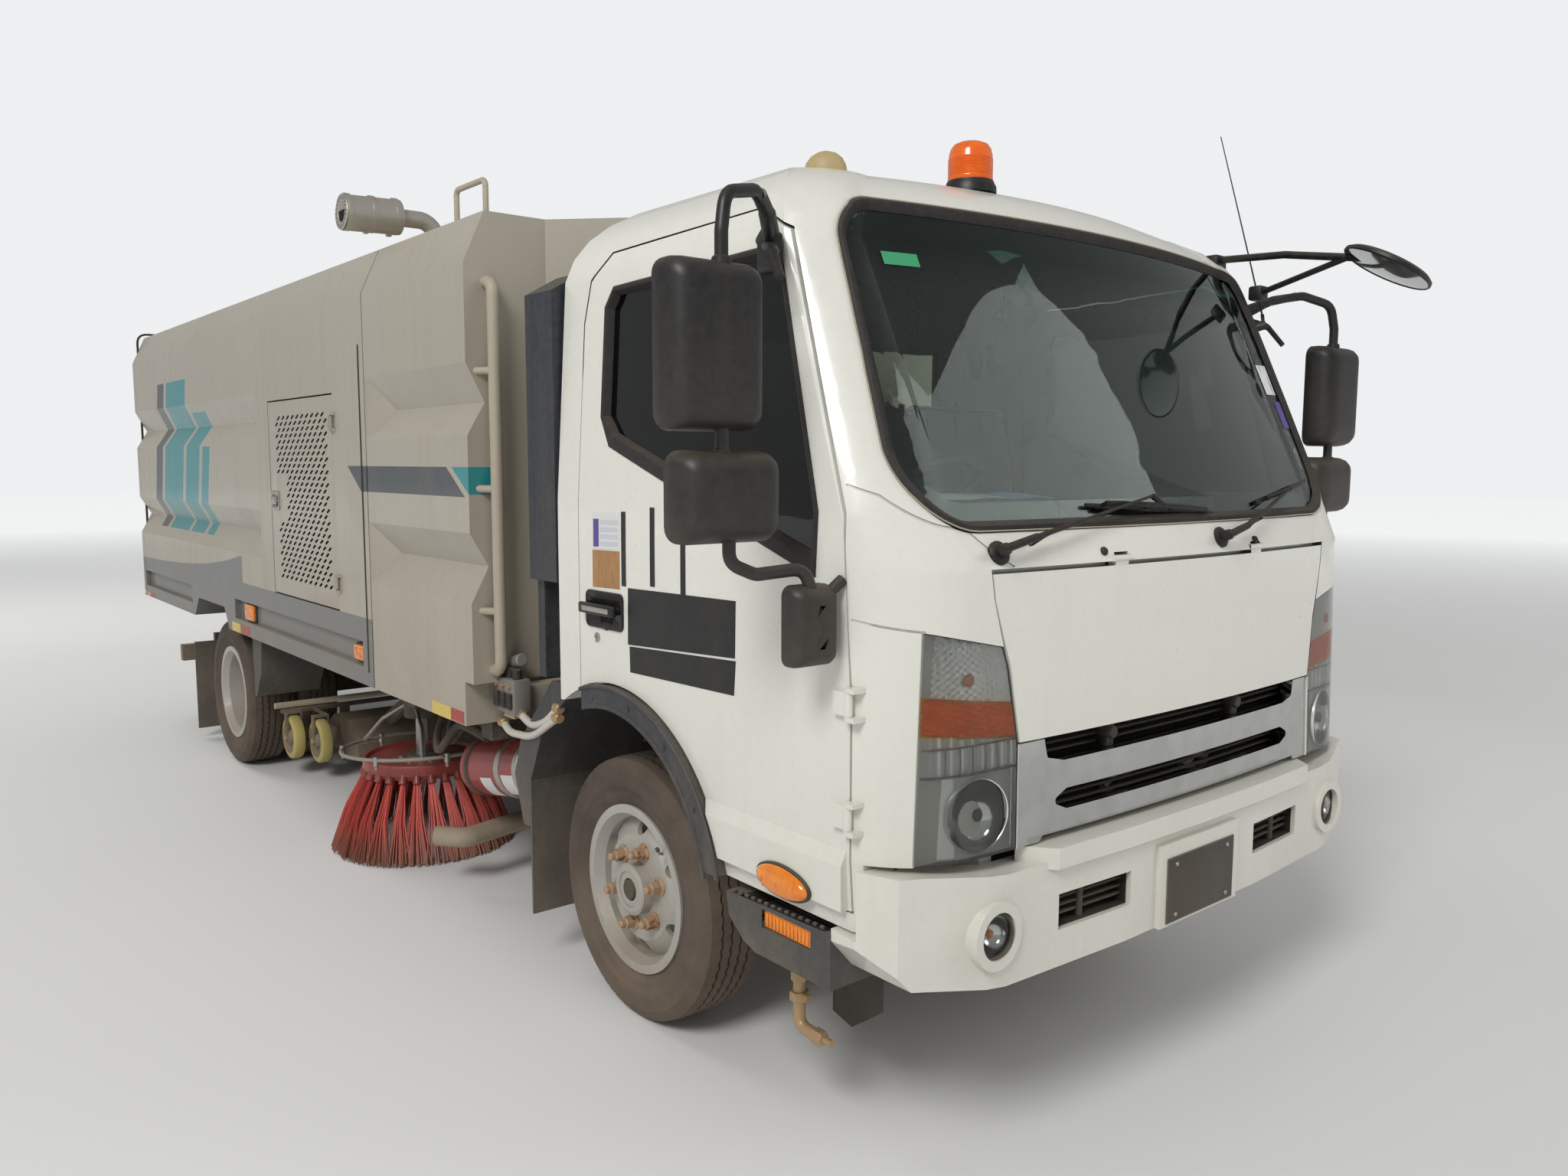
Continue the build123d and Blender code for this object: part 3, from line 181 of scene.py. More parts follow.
class Form:
    """Collects the faces of several shapes into one mesh. Each face carries a material number, mark."""

    def __init__(self):
        self.points = []
        self.faces = []
        self.marks = []

    def add(self, points, faces, mark=0, place=None):
        first = len(self.points)
        self.points += [place @ Vector(p) if place else Vector(p) for p in points]
        self.faces += [tuple(i + first for i in face) for face in faces]
        self.marks += [mark] * len(faces)

    def put(self, other):
        first = len(self.points)
        self.points += [p.copy() for p in other.points]
        self.faces += [tuple(i + first for i in face) for face in other.faces]
        self.marks += other.marks

    def mirrored(self):
        """The same form on the vehicle's other side."""
        other = Form()
        other.points = [vec(p.x, -p.y, p.z) for p in self.points]
        other.faces = [tuple(reversed(face)) for face in self.faces]
        other.marks = list(self.marks)
        return other

    def box(self, low, high, edge=0.0, mark=0, place=None, steps=2):
        work = bmesh.new()
        bmesh.ops.create_cube(work, size=1)
        low, high = Vector(map(min, low, high)), Vector(map(max, low, high))
        size = high - low
        for v in work.verts:
            v.co = (low + high) / 2 + vec(v.co.x * size.x, v.co.y * size.y, v.co.z * size.z)
        if edge:
            bmesh.ops.bevel(work, geom=work.edges[:], offset=edge, segments=steps, profile=0.5,
                affect="EDGES")
        self.take(work, mark, place)

    def take(self, work, mark=0, place=None):
        work.verts.index_update()
        self.add([v.co.copy() for v in work.verts], [[v.index for v in f.verts] for f in work.faces], mark,
            place)
        work.free()

    def rings(self, rings, mark=0, close_ends=True, closed=False, place=None):
        """Skins a list of rings, each a list with the same number of points."""
        count = len(rings[0])
        faces = []
        total = len(rings)
        for i in range(total if closed else total - 1):
            a, b = i * count, (i + 1) % total * count
            faces += [(a + j, a + (j + 1) % count, b + (j + 1) % count, b + j) for j in range(count)]
        if close_ends and not closed:
            faces.append(tuple(reversed(range(count))))
            faces.append(tuple(range((total - 1) * count, total * count)))
        self.add([p for ring in rings for p in ring], faces, mark, place)

    def pipe(self, points, radius, bend=0.0, sides=12, mark=0, closed=False, ends=True, squash=1.0):
        """A tube along a path. radius may be a function of the share of the way along."""
        path = rounded(points, bend)
        if closed:
            path = path[:-1] if (path[0] - path[-1]).length < 1e-6 else path
        rings = []
        count = len(path)
        side = None
        for i, p in enumerate(path):
            if closed:
                run = path[(i + 1) % count] - path[i - 1]
            else:
                run = path[min(i + 1, count - 1)] - path[max(i - 1, 0)]
            run.normalize()
            if side is None:
                side = run.cross(vec(0, 0, 1))
                if side.length < 1e-3:
                    side = run.cross(vec(0, 1, 0))
            side = (side - run * side.dot(run)).normalized()
            other = run.cross(side)
            r = radius(i / max(count - 1, 1)) if callable(radius) else radius
            rings.append([p + side * (r * cos(a)) + other * (r * squash * sin(a)) for a in circle(sides)])
        self.rings(rings, mark, close_ends=ends, closed=closed)

    def rod(self, start, end, radius, sides=20, mark=0, edge=0.0):
        axis = Vector(end) - Vector(start)
        profile = [(0, radius - edge), (edge, radius), (axis.length - edge, radius),
            (axis.length, radius - edge)]
        self.turned(profile if edge else profile[1:3], facing(start, axis), sides, mark)

    def turned(self, profile, place, sides=48, mark=0, ends=True):
        """Turns (distance along local Z, radius) pairs about local Z."""
        rings = [[polar(r, a, along) for a in circle(sides)] for along, r in profile]
        self.rings(rings, mark, close_ends=ends, place=place)

    def plates(self, outline, layers, mark, place):
        """Layers of an outline in local XY, each given as how high it stands and how far it draws in."""
        flat = [vec(u, v, 0) for u, v in outline]
        self.rings([[p + vec(0, 0, rise) for p in (inset(flat, draw) if draw else flat)]
            for rise, draw in layers], mark, place=place)

    def make(self, name, materials, body="cab", slot="black_plastic", stands_for=(), angle=32):
        mesh = bpy.data.meshes.new(name)
        mesh.from_pydata(self.points, [], self.faces)
        for material in materials.split():
            mesh.materials.append(finish(material))
        mesh.polygons.foreach_set("material_index", self.marks)
        work = bmesh.new()
        work.from_mesh(mesh)
        bmesh.ops.remove_doubles(work, verts=work.verts, dist=1e-6)
        bmesh.ops.recalc_face_normals(work, faces=work.faces)
        work.to_mesh(mesh)
        work.free()
        mesh.shade_smooth()
        mesh.set_sharp_from_angle(angle=radians(angle))
        piece = bpy.data.objects.new(name, mesh)
        bpy.context.scene.collection.objects.link(piece)
        if body:
            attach(piece, body)
        if stands_for:
            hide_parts(*stands_for)
        return piece


def inset(points, amount):
    """Moves the corners of a flat outline inward by about amount."""
    count = len(points)
    moved = []
    for i, p in enumerate(points):
        a = (p - points[i - 1]).normalized()
        b = (points[(i + 1) % count] - p).normalized()
        inner = vec(-(a + b).y, (a + b).x, 0)
        inner = inner.normalized() if inner.length > 1e-6 else vec(-a.y, a.x, 0)
        lean = max(inner.dot(vec(-a.y, a.x, 0)), 0.4)
        moved.append(p + inner * (amount / lean))
    return moved


def cells(rows, columns):
    """Faces over a grid of points, row by row."""
    wide = columns + 1
    return [(a, a + 1, a + wide + 1, a + wide) for a in (r * wide + c
        for r in range(rows) for c in range(columns))]


def rectangle(width, height, corner=0.0, steps=4):
    """Outline of a rectangle about the middle, with round corners."""
    points = []
    for cx, cy, start in ((1, 1, 0), (-1, 1, 90), (-1, -1, 180), (1, -1, 270)):
        x, y = cx * (width / 2 - corner), cy * (height / 2 - corner)
        if not corner:
            points.append((x, y))
            continue
        for i in range(steps + 1):
            a = radians(start + 90 * i / steps)
            points.append((x + corner * cos(a), y + corner * sin(a)))
    return points


def tree_of(node):
    mesh = nodes[node].data
    return BVHTree.FromPolygons([v.co for v in mesh.vertices], [p.vertices[:] for p in mesh.polygons])


def on_front(tree, y, z, lift=0.0):
    """The point of a surface met from the front at this width and height."""
    hit, normal, _, _ = tree.ray_cast(vec(axle_x + 3, y, z), vec(-1, 0, 0))
    if hit is None:
        raise ValueError(f"no front surface at y {y:.3f}, z {z:.3f}")
    if normal.x < 0:
        normal = -normal
    return hit + normal * lift, normal


def on_side(tree, x, z, side, lift=0.0):
    """The point of a surface met from the right or left side, and the outward normal there."""
    start = spot(x, side * 3, z)
    hit, normal, _, _ = tree.ray_cast(start, vec(0, -side, 0))
    if hit is None:
        raise ValueError(f"no side surface at x {x:.3f}, z {z:.3f}")
    if normal.y * side < 0:
        normal = -normal
    return hit + normal * lift, normal


# Material helpers
def feed(node, **inputs):
    """Links or sets a node's sockets. A name has _ for a space, and n0 or n6 picks by place."""
    for key, value in inputs.items():
        socket = node.inputs[int(key[1:]) if key[1:].isdigit() else key.replace("_", " ")]
        if isinstance(value, bpy.types.NodeSocket):
            socket.id_data.links.new(value, socket)
        elif hasattr(value, "__len__") and len(value) == 3 and len(socket.default_value) == 4:
            socket.default_value = (*value, 1)
        else:
            socket.default_value = value
    return node


def add(tree, kind, settings=None, **inputs):
    node = tree.nodes.new("ShaderNode" + kind)
    for key, value in (settings or {}).items():
        setattr(node, key, value)
    return feed(node, **inputs)


def place_in(tree):
    """Where the shaded point is, in the truck's own frame."""
    return add(tree, "TexCoord").outputs["Object"]


def split(where):
    return add(where.id_data, "SeparateXYZ", Vector=where).outputs


def maths(operation, a, b=0.0, c=0.5, clamp=False):
    tree = (a if isinstance(a, bpy.types.NodeSocket) else b).id_data
    return add(tree, "Math", {"operation": operation, "use_clamp": clamp}, n0=a, n1=b, n2=c).outputs[0]


times = partial(maths, "MULTIPLY")
plus = partial(maths, "ADD")
minus = partial(maths, "SUBTRACT")
above = partial(maths, "GREATER_THAN")
below = partial(maths, "LESS_THAN")


def blend_colours(share, a, b):
    return add(share.id_data, "Mix", {"data_type": "RGBA"}, n0=share, n6=a, n7=b).outputs[2]


def ramp(value, low, high, out_low=0.0, out_high=1.0, kind="LINEAR"):
    return add(value.id_data, "MapRange", {"clamp": True, "interpolation_type": kind}, Value=value,
        From_Min=low, From_Max=high, To_Min=out_low, To_Max=out_high).outputs[0]


def noise(where, scale, detail=4.0, roughness=0.55):
    return add(where.id_data, "TexNoise", Vector=where, Scale=scale, Detail=detail,
        Roughness=roughness).outputs["Fac"]


def stretched(where, x, y, z):
    return add(where.id_data, "Mapping", Vector=where, Scale=(x, y, z)).outputs[0]


def cells_of(where, scale):
    return add(where.id_data, "TexVoronoi", {"feature": "DISTANCE_TO_EDGE"}, Vector=where,
        Scale=scale).outputs["Distance"]


def new_group(name, inputs, outputs):
    """A shader node group. inputs gives each socket's default, outputs the names of floats and colours."""
    tree = bpy.data.node_groups.new(name, "ShaderNodeTree")
    for title, value in inputs.items():
        kind = "Color" if hasattr(value, "__len__") else "Float"
        socket = tree.interface.new_socket(name=title, in_out="INPUT", socket_type="NodeSocket" + kind)
        socket.default_value = (*value, 1) if kind == "Color" else value
    for title in outputs:
        kind = "Color" if title == "Color" else "Float"
        tree.interface.new_socket(name=title, in_out="OUTPUT", socket_type="NodeSocket" + kind)
    return tree, tree.nodes.new("NodeGroupInput").outputs, tree.nodes.new("NodeGroupOutput")


def weather_group():
    """Road dust, thicker low down and on top faces, with runs of dirt down the sides."""
    tree, given, out = new_group("weather", {"Paint": (0.8, 0.8, 0.8), "Dust": (0.3, 0.25, 0.2),
        "Amount": 0.5, "Runs": 0.3, "Low": 0.2, "High": 1.2, "Clean Roughness": 0.3},
        ("Color", "Roughness", "Height"))
    where = place_in(tree)
    speckle = noise(where, 46.0, 4, 0.7)
    fine = noise(where, 9.0, 5, 0.6)
    runs = ramp(noise(stretched(where, 13.0, 13.0, 0.55), 1.0, 5, 0.6), 0.5, 0.78)
    low_down = ramp(split(where)["Z"], given["Low"], given["High"], 1.0, 0.0, "SMOOTHSTEP")
    up = ramp(split(add(tree, "NewGeometry").outputs["Normal"])["Z"], 0.25, 1.0)
    cloud = ramp(noise(where, 1.9, 6, 0.62), 0.36, 0.68)
    grit = ramp(speckle, 0.42, 0.66)
    low_dust = times(low_down, maths("MULTIPLY_ADD", cloud, 0.75, 0.5))
    top_dust = times(up, maths("MULTIPLY_ADD", fine, 0.9))
    total = plus(plus(low_dust, times(top_dust, 0.55)), times(grit, 0.18))
    total = plus(times(total, given["Amount"]), times(runs, given["Runs"]), clamp=True)
    rough = ramp(total, 0.0, 0.8, given["Clean Roughness"], 0.88)
    feed(out, Color=blend_colours(total, given["Paint"], given["Dust"]), Height=times(speckle, total),
        Roughness=plus(rough, times(minus(fine, 0.5), 0.12), clamp=True))
    return tree


def rust_group():
    """Brown rust in patches over a metal or paint colour."""
    tree, given, out = new_group("rust", {"Metal": (0.5, 0.5, 0.5), "Amount": 0.4, "Scale": 6.0},
        ("Color", "Mask", "Height"))
    where = place_in(tree)
    patch = noise(where, given["Scale"], 8.0, 0.68)
    edge = minus(0.78, times(given["Amount"], 0.45))
    mask = times(minus(patch, edge), 9.0, clamp=True)
    tone = noise(where, 34.0, 5, 0.7)
    brown = blend_colours(ramp(tone, 0.35, 0.65), srgb(92, 50, 26), srgb(158, 96, 52))
    feed(out, Color=blend_colours(mask, given["Metal"], brown), Mask=mask, Height=times(mask, tone))
    return tree


def grain_group():
    """The fine grain of moulded plastic, as a height."""
    tree, given, out = new_group("grain", {"Scale": 900.0}, ("Height",))
    feed(out, Height=ramp(cells_of(place_in(tree), given["Scale"]), 0.0, 0.25))
    return tree


def stripe_group():
    """1 inside a leaning bar on the body's sides, from Rear to Front at its foot and from Low to High."""
    tree, given, out = new_group("stripe", {"Rear": 0.0, "Front": 1.0, "Low": 0.0, "High": 1.0, "Lean": 0.0},
        ("Mask",))
    x, y, z = split(place_in(tree))
    along = minus(x, times(minus(z, given["Low"]), given["Lean"]))
    mask = times(above(along, given["Rear"]), below(along, given["Front"]))
    mask = times(times(mask, above(z, given["Low"])), below(z, given["High"]))
    feed(out, Mask=times(mask, above(maths("ABSOLUTE", y), 0.97)))
    return tree


groups = {}


def effect(tree, name, **inputs):
    """Places one of the shared groups, built at its first use."""
    builders = {"weather": weather_group, "rust": rust_group, "grain": grain_group, "stripe": stripe_group}
    if name not in groups:
        groups[name] = builders[name]()
    node = tree.nodes.new("ShaderNodeGroup")
    node.node_tree = groups[name]
    return feed(node, **inputs).outputs


def bump(tree, surface, height, strength, distance):
    feed(surface, Normal=add(tree, "Bump", Strength=strength, Distance=distance, Height=height).outputs[0])


def paint(name):
    return tuple(getattr(bpy.context.scene.sweeper_colours, name))


def dusty(tree, surface, base, amount, runs, low, high, roughness, dust=None):
    """A paint under road dust on the surface's colour and roughness. Gives the dust's height."""
    dirt = effect(tree, "weather", Paint=base, Dust=dust or paint("dust"), Amount=amount, Runs=runs, Low=low,
        High=high, Clean_Roughness=roughness)
    feed(surface, Base_Color=dirt["Color"], Roughness=dirt["Roughness"])
    return dirt["Height"]


def weathered(base, amount=0.5, runs=0.2, low=0.2, high=1.2, roughness=0.35, coat=0.0, metallic=0.0):
    """A paint or plastic. base is a colour, one of the panel's by name, or a function that gives a socket."""
    def build(tree, surface):
        tone = base(tree) if callable(base) else paint(base) if isinstance(base, str) else base
        bump(tree, surface, dusty(tree, surface, tone, amount, runs, low, high, roughness), 0.5, 0.0012)
        feed(surface, Metallic=metallic, Coat_Weight=coat, Coat_Roughness=0.08)
    return build


def plain(red, green, blue, roughness, metallic, amount):
    return weathered(srgb(red, green, blue), amount, 0.03, 0.1, 1.2, roughness, 0.0, metallic)


def rusty(tone, amount, scale, metallic, roughness):
    """Metal under patches of rust."""
    def build(tree, surface):
        rust = effect(tree, "rust", Metal=srgb(*tone), Amount=amount, Scale=scale)
        feed(surface, Base_Color=rust["Color"], Roughness=ramp(rust["Mask"], 0, 1, roughness, 0.9),
            Metallic=ramp(rust["Mask"], 0, 1, metallic, 0.1))
        bump(tree, surface, rust["Height"], 0.6, 0.001)
    return build


def glass(tint, smear=0.03, roughness=0.0):
    """Clear glass with a thin uneven film of dust."""
    def build(tree, surface):
        film = ramp(noise(place_in(tree), 3.0, 7, 0.66), 0.4, 0.8, roughness, roughness + smear)
        feed(surface, Roughness=film, Base_Color=tint(tree) if callable(tint) else srgb(*tint),
            Transmission_Weight=1.0, IOR=1.45)
    return build


def lamp_plastic(first, second, scale, detail, roughness, coat, depth, radius):
    """Coloured lamp plastic with a little light let through."""
    def build(tree, surface):
        film = ramp(noise(place_in(tree), scale, detail, 0.6), 0.3, 0.7)
        shade = paint(first) if isinstance(first, str) else srgb(*first)
        feed(surface, Base_Color=blend_colours(film, shade, srgb(*second)), Roughness=roughness,
            Coat_Weight=coat, Subsurface_Weight=depth, Subsurface_Radius=radius)
    return build


def cab_tone(tree):
    """Cream outside, dark grey lining on the faces that look in at the middle of the cab."""
    where = place_in(tree)
    away = add(tree, "VectorMath", {"operation": "SUBTRACT"}, n0=where,
        n1=tuple(spot(0.45, 0, 1.62))).outputs[0]
    normal = add(tree, "NewGeometry").outputs["True Normal"]
    outward = add(tree, "VectorMath", {"operation": "DOT_PRODUCT"}, n0=away, n1=normal).outputs["Value"]
    axes = split(where)
    within = times(below(maths("ABSOLUTE", axes[1]), 0.962), above(axes[2], 1.02))
    return blend_colours(times(within, below(outward, -0.02)), paint("cab"), srgb(64, 65, 66))


def body_tone(tree):
    """Beige with the slate band along the foot, the dark stripe on the tank and leaning bars behind."""
    where = place_in(tree)
    beige = blend_colours(ramp(noise(where, 0.7, 3, 0.5), 0.35, 0.65), tuple(v * 0.94 for v in paint("body")),
        paint("body"))
    axes = split(where)
    # The band's top edge is level in front of the rear wheels and falls in a curve behind them.
    step_x, band_top, crest, floor_z, reach = axle_x - 3.2, 1.003, 0.16, 0.975, 0.9
    curve = plus(times(maths("EXPONENT", maths("DIVIDE", minus(axes[0], step_x), reach)), crest), floor_z)
    behind = below(axes[0], step_x)
    edge = plus(times(behind, curve), times(minus(1.0, behind), band_top))
    band = times(below(axes[2], edge), below(axes[0], axle_x - 1.495))
    tone = blend_colours(band, beige, paint("slate"))
    # rear and front of each bar's foot, its low and high edge, its lean and its colour
    bars = [(-1.56, -0.665, 1.474, 1.567, -1.45, "dark_slate"), (-0.625, -0.3, 1.474, 1.567, -1.45, "teal"),
        (-5.02, -4.86, 1.2, 2.02, 0.28, "dark_slate"), (-4.8, -4.36, 1.2, 2.02, 0.28, "teal"),
        (-4.3, -4.02, 1.2, 1.84, 0.28, "teal"), (-3.96, -3.82, 1.2, 1.66, 0.28, "teal")]
    for rear, front, low, high, lean, shade in bars:
        mask = effect(tree, "stripe", Rear=axle_x + rear, Front=axle_x + front, Low=low, High=high,
            Lean=lean)["Mask"]
        tone = blend_colours(mask, tone, paint(shade))
    return tone


def screen_tint(tree):
    """Windscreen glass, with a green band across its top."""
    height = split(place_in(tree))["Z"]
    return blend_colours(ramp(height, 1.98, 2.08), srgb(214, 226, 220), srgb(84, 142, 122))


def black_plastic(tree, surface):
    dusty(tree, surface, paint("plastic"), 0.22, 0.04, 0.2, 1.4, 0.5)
    bump(tree, surface, effect(tree, "grain", Scale=700.0)["Height"], 0.25, 0.0006)


def tyre_rubber(tree, surface):
    where = place_in(tree)
    tone = blend_colours(ramp(noise(where, 5.0, 6, 0.6), 0.3, 0.75), srgb(48, 43, 40), srgb(92, 80, 70))
    dusty(tree, surface, tone, 0.45, 0.0, 0.0, 0.9, 0.78, srgb(128, 112, 94))
    bump(tree, surface, noise(where, 160.0, 4, 0.7), 0.35, 0.0008)


def chrome(tree, surface):
    film = noise(place_in(tree), 14.0, 5, 0.6)
    tone = blend_colours(ramp(film, 0.35, 0.9), srgb(188, 189, 188), srgb(166, 165, 160))
    feed(surface, Base_Color=tone, Roughness=ramp(film, 0.3, 0.8, 0.09, 0.16), Metallic=1.0)


def mirror_glass(tree, surface):
    film = ramp(noise(place_in(tree), 9.0, 5, 0.6), 0.3, 0.8, 0.02, 0.12)
    feed(surface, Roughness=film, Base_Color=(0.72, 0.76, 0.76), Metallic=1.0)


def cloth(tree, surface):
    where = place_in(tree)
    across, along = [add(tree, "TexWave", {"bands_direction": axis}, Vector=where, Scale=260.0).outputs["Fac"]
        for axis in "YZ"]
    weave = times(across, along)
    feed(surface, Base_Color=blend_colours(weave, srgb(58, 58, 60), srgb(98, 97, 96)), Roughness=0.92,
        Sheen_Weight=0.3)
    bump(tree, surface, weave, 0.4, 0.0015)


def brown_tape(tree, surface):
    """Brown packing tape, torn and wrinkled."""
    fold = noise(stretched(place_in(tree), 1, 1, 0.4), 60.0, 5, 0.6)
    tone = blend_colours(ramp(fold, 0.3, 0.7), srgb(176, 132, 84), srgb(150, 108, 66))
    feed(surface, Base_Color=tone, Roughness=0.5)
    bump(tree, surface, fold, 0.5, 0.002)


def bristle_red(tree, surface):
    where = place_in(tree)
    height = split(where)["Z"]
    streak = noise(stretched(where, 1, 1, 0.15), 130.0, 4, 0.7)
    clean = blend_colours(ramp(streak, 0.3, 0.7), paint("bristle"), srgb(206, 96, 84))
    feed(surface, Base_Color=blend_colours(ramp(height, 0.0, 0.16), srgb(140, 104, 86), clean), Roughness=0.6)
    bump(tree, surface, streak, 0.5, 0.001)


studio_white = (0.97, 0.985, 1.0)


def floor_grey(tree, surface):
    """Plain floor that fades into the white backdrop far away."""
    where = place_in(tree)
    tone = blend_colours(noise(where, 0.6, 3, 0.5), tuple(v * 0.97 for v in paint("floor")), paint("floor"))
    far = add(tree, "VectorMath", {"operation": "LENGTH"}, n0=where).outputs["Value"]
    feed(surface, Base_Color=tone, Roughness=0.85, Emission_Color=studio_white,
        Emission_Strength=ramp(far, 6.0, 26.0, 0.0, 0.62))


def honeycomb(tone, dark):
    """Reflective tape with a net of fine cells."""
    def build(tree, surface):
        cells = cells_of(place_in(tree), 160.0)
        base = blend_colours(ramp(cells, 0.02, 0.12), srgb(*dark), srgb(*tone))
        dusty(tree, surface, base, 0.35, 0.1, 0.4, 1.0, 0.3)
        bump(tree, surface, cells, 0.2, 0.0004)
    return build


# Plain finishes: screen colour, roughness, metallic and dust
plain_finishes = {"arm_black": (27, 27, 28, 0.45, 0.0, 0.3), "board_black": (22, 22, 23, 0.42, 0.0, 0.15),
    "bolt_black": (30, 28, 27, 0.6, 0.4, 0.4), "castor_grey": (128, 116, 104, 0.5, 0.3, 0.6),
    "castor_hub": (120, 96, 74, 0.6, 0.4, 0.6), "dark_metal": (58, 58, 58, 0.55, 0.5, 0.5),
    # The near-black 13, 13, 14 finish on the next line, after dash_plastic, is painted shade: sheets in it
    # stand in for the shade in holes, slots and recesses
    "dash_plastic": (70, 71, 72, 0.6, 0.0, 0.2), "deep_black": (13, 13, 14, 0.9, 0.0, 0.1),
    "dial_white": (190, 190, 186, 0.4, 0.0, 0.1), "frame_cream": (170, 160, 142, 0.5, 0.0, 0.6),
    "grey_pipe": (78, 76, 72, 0.6, 0.2, 0.5), "handle_black": (20, 20, 22, 0.35, 0.0, 0.2),
    "hose_grey": (150, 148, 142, 0.4, 0.2, 0.4), "hose_white": (196, 192, 182, 0.5, 0.0, 0.35),
    "hub_black": (26, 27, 30, 0.45, 0.3, 0.4), "hub_grey": (70, 71, 74, 0.4, 0.1, 0.1),
    "label_grey": (196, 198, 204, 0.5, 0.0, 0.1), "label_violet": (92, 74, 140, 0.5, 0.0, 0.1),
    "label_white": (214, 214, 212, 0.5, 0.0, 0.1), "lamp_silver": (226, 228, 224, 0.2, 0.35, 0.04),
    "lamp_silver_ribbed": (232, 233, 228, 0.24, 0.3, 0.04), "lamp_white": (214, 214, 208, 0.2, 0.0, 0.15),
    "old_beige": (176, 156, 112, 0.5, 0.0, 0.5), "paper_blue": (120, 142, 176, 0.7, 0.0, 0.1),
    "paper_white": (206, 204, 198, 0.8, 0.0, 0.1), "piping_grey": (38, 38, 40, 0.8, 0.0, 0.2),
    "plate_black": (20, 20, 21, 0.4, 0.0, 0.25), "plate_black_steel": (38, 37, 36, 0.5, 0.2, 0.15),
    "plate_edge": (60, 60, 60, 0.4, 0.0, 0.3), "sealant": (168, 158, 138, 0.7, 0.0, 0.3),
    # The 18, 16, 15 soot finish on the next line, after slat_black, is soot and painted shade, for the
    # muffler's throat and holes
    "slat_black": (24, 25, 28, 0.45, 0.0, 0.3), "soot": (18, 16, 15, 0.95, 0.0, 0.1),
    "sticker_green": (58, 150, 104, 0.5, 0.0, 0.1), "switch_black": (22, 22, 24, 0.4, 0.0, 0.15),
    "valve_grey": (132, 130, 124, 0.5, 0.3, 0.5), "window_print": (14, 15, 16, 0.25, 0.0, 0.05),
    "wiper_black": (20, 21, 22, 0.5, 0.1, 0.25)}
# The other finishes. weathered: colour, dust, runs, from and to which height, roughness, coat and metallic.
# rusty: screen colour, rust, patch scale, metallic and roughness.
finishes = {
    "cab_paint": weathered(cab_tone, 0.2, 0.05, 0.35, 1.3, 0.28, 0.5),
    "body_paint": weathered(body_tone, 0.42, 0.16, 0.55, 1.5, 0.34, 0.25),
    "chassis_paint": weathered("chassis", 0.75, 0.1, 0.1, 0.95, 0.55),
    "guard_plastic": weathered(srgb(44, 49, 56), 0.42, 0.12, 0.1, 1.1, 0.5),
    "rubber": weathered("rubber", 0.25, 0.0, 0.2, 1.4, 0.7),
    "rim_silver": weathered(srgb(186, 184, 178), 0.5, 0.05, 0.0, 0.9, 0.42, 0.1, 0.35),
    "lamp_red": weathered(srgb(150, 14, 16), 0.15, 0.0, 0.1, 0.9, 0.15, 0.6),
    "brush_red": weathered("red", 0.24, 0.06, 0.0, 0.9, 0.35, 0.3),
    "mirror_black": weathered(srgb(25, 26, 28), 0.18, 0.03, 0.8, 2.2, 0.42),
    "hose_black": weathered(srgb(30, 30, 31), 0.5, 0.0, 0.1, 1.1, 0.65),
    "urethane": weathered("urethane", 0.45, 0.1, 0.0, 0.4, 0.55),
    "nut_metal": rusty((176, 146, 118), 0.55, 30.0, 0.3, 0.6),
    "muffler_steel": rusty((186, 181, 170), 0.42, 9.0, 0.75, 0.42),
    "bright_steel": rusty((176, 172, 164), 0.25, 14.0, 0.85, 0.33),
    "old_brass": rusty((176, 148, 112), 0.35, 18.0, 0.45, 0.5),
    "screen_glass": glass(screen_tint),
    "door_tint": glass((58, 66, 66)),
    "lamp_clear": glass((236, 238, 236), 0.05),
    "amber_lens": glass((250, 206, 132), 0.05, 0.05),
    "lamp_amber": lamp_plastic("amber", (220, 118, 24), 40.0, 3, 0.15, 0.6, 0.2, (0.02, 0.01, 0.004)),
    "beacon_orange": lamp_plastic(
    (238, 112, 24), (222, 92, 18), 24.0, 4, 0.22, 0.5, 0.35, (0.03, 0.012, 0.004)),
    "tape_yellow": honeycomb((222, 196, 92), (186, 160, 70)),
    "tape_red": honeycomb((176, 40, 34), (128, 26, 24)),
    "black_plastic": black_plastic, "tyre_rubber": tyre_rubber, "chrome": chrome,
    "mirror_glass": mirror_glass, "cloth": cloth, "brown_tape": brown_tape,
    "bristle_red": bristle_red, "floor_grey": floor_grey}
made = {}


def finish(name):
    """The material of this name, built at its first use."""
    if name not in made:
        made[name] = bpy.data.materials.new(name)
        made[name].use_nodes = True
        tree = made[name].node_tree
        build = plain(*plain_finishes[name]) if name in plain_finishes else finishes[name]
        build(tree, tree.nodes["Principled BSDF"])
    return made[name]


# Faces of built pieces that meet at less than this many degrees are shaded as one
crease_angle = 26


def values(items, name, wide=1, kind=np.float32):
    """One property of a mesh's items as an array, with a row per item where it is a vector."""
    out = np.empty(len(items) * wide, kind)
    items.foreach_get(name, out)
    return out.reshape(-1, wide) if wide > 1 else out


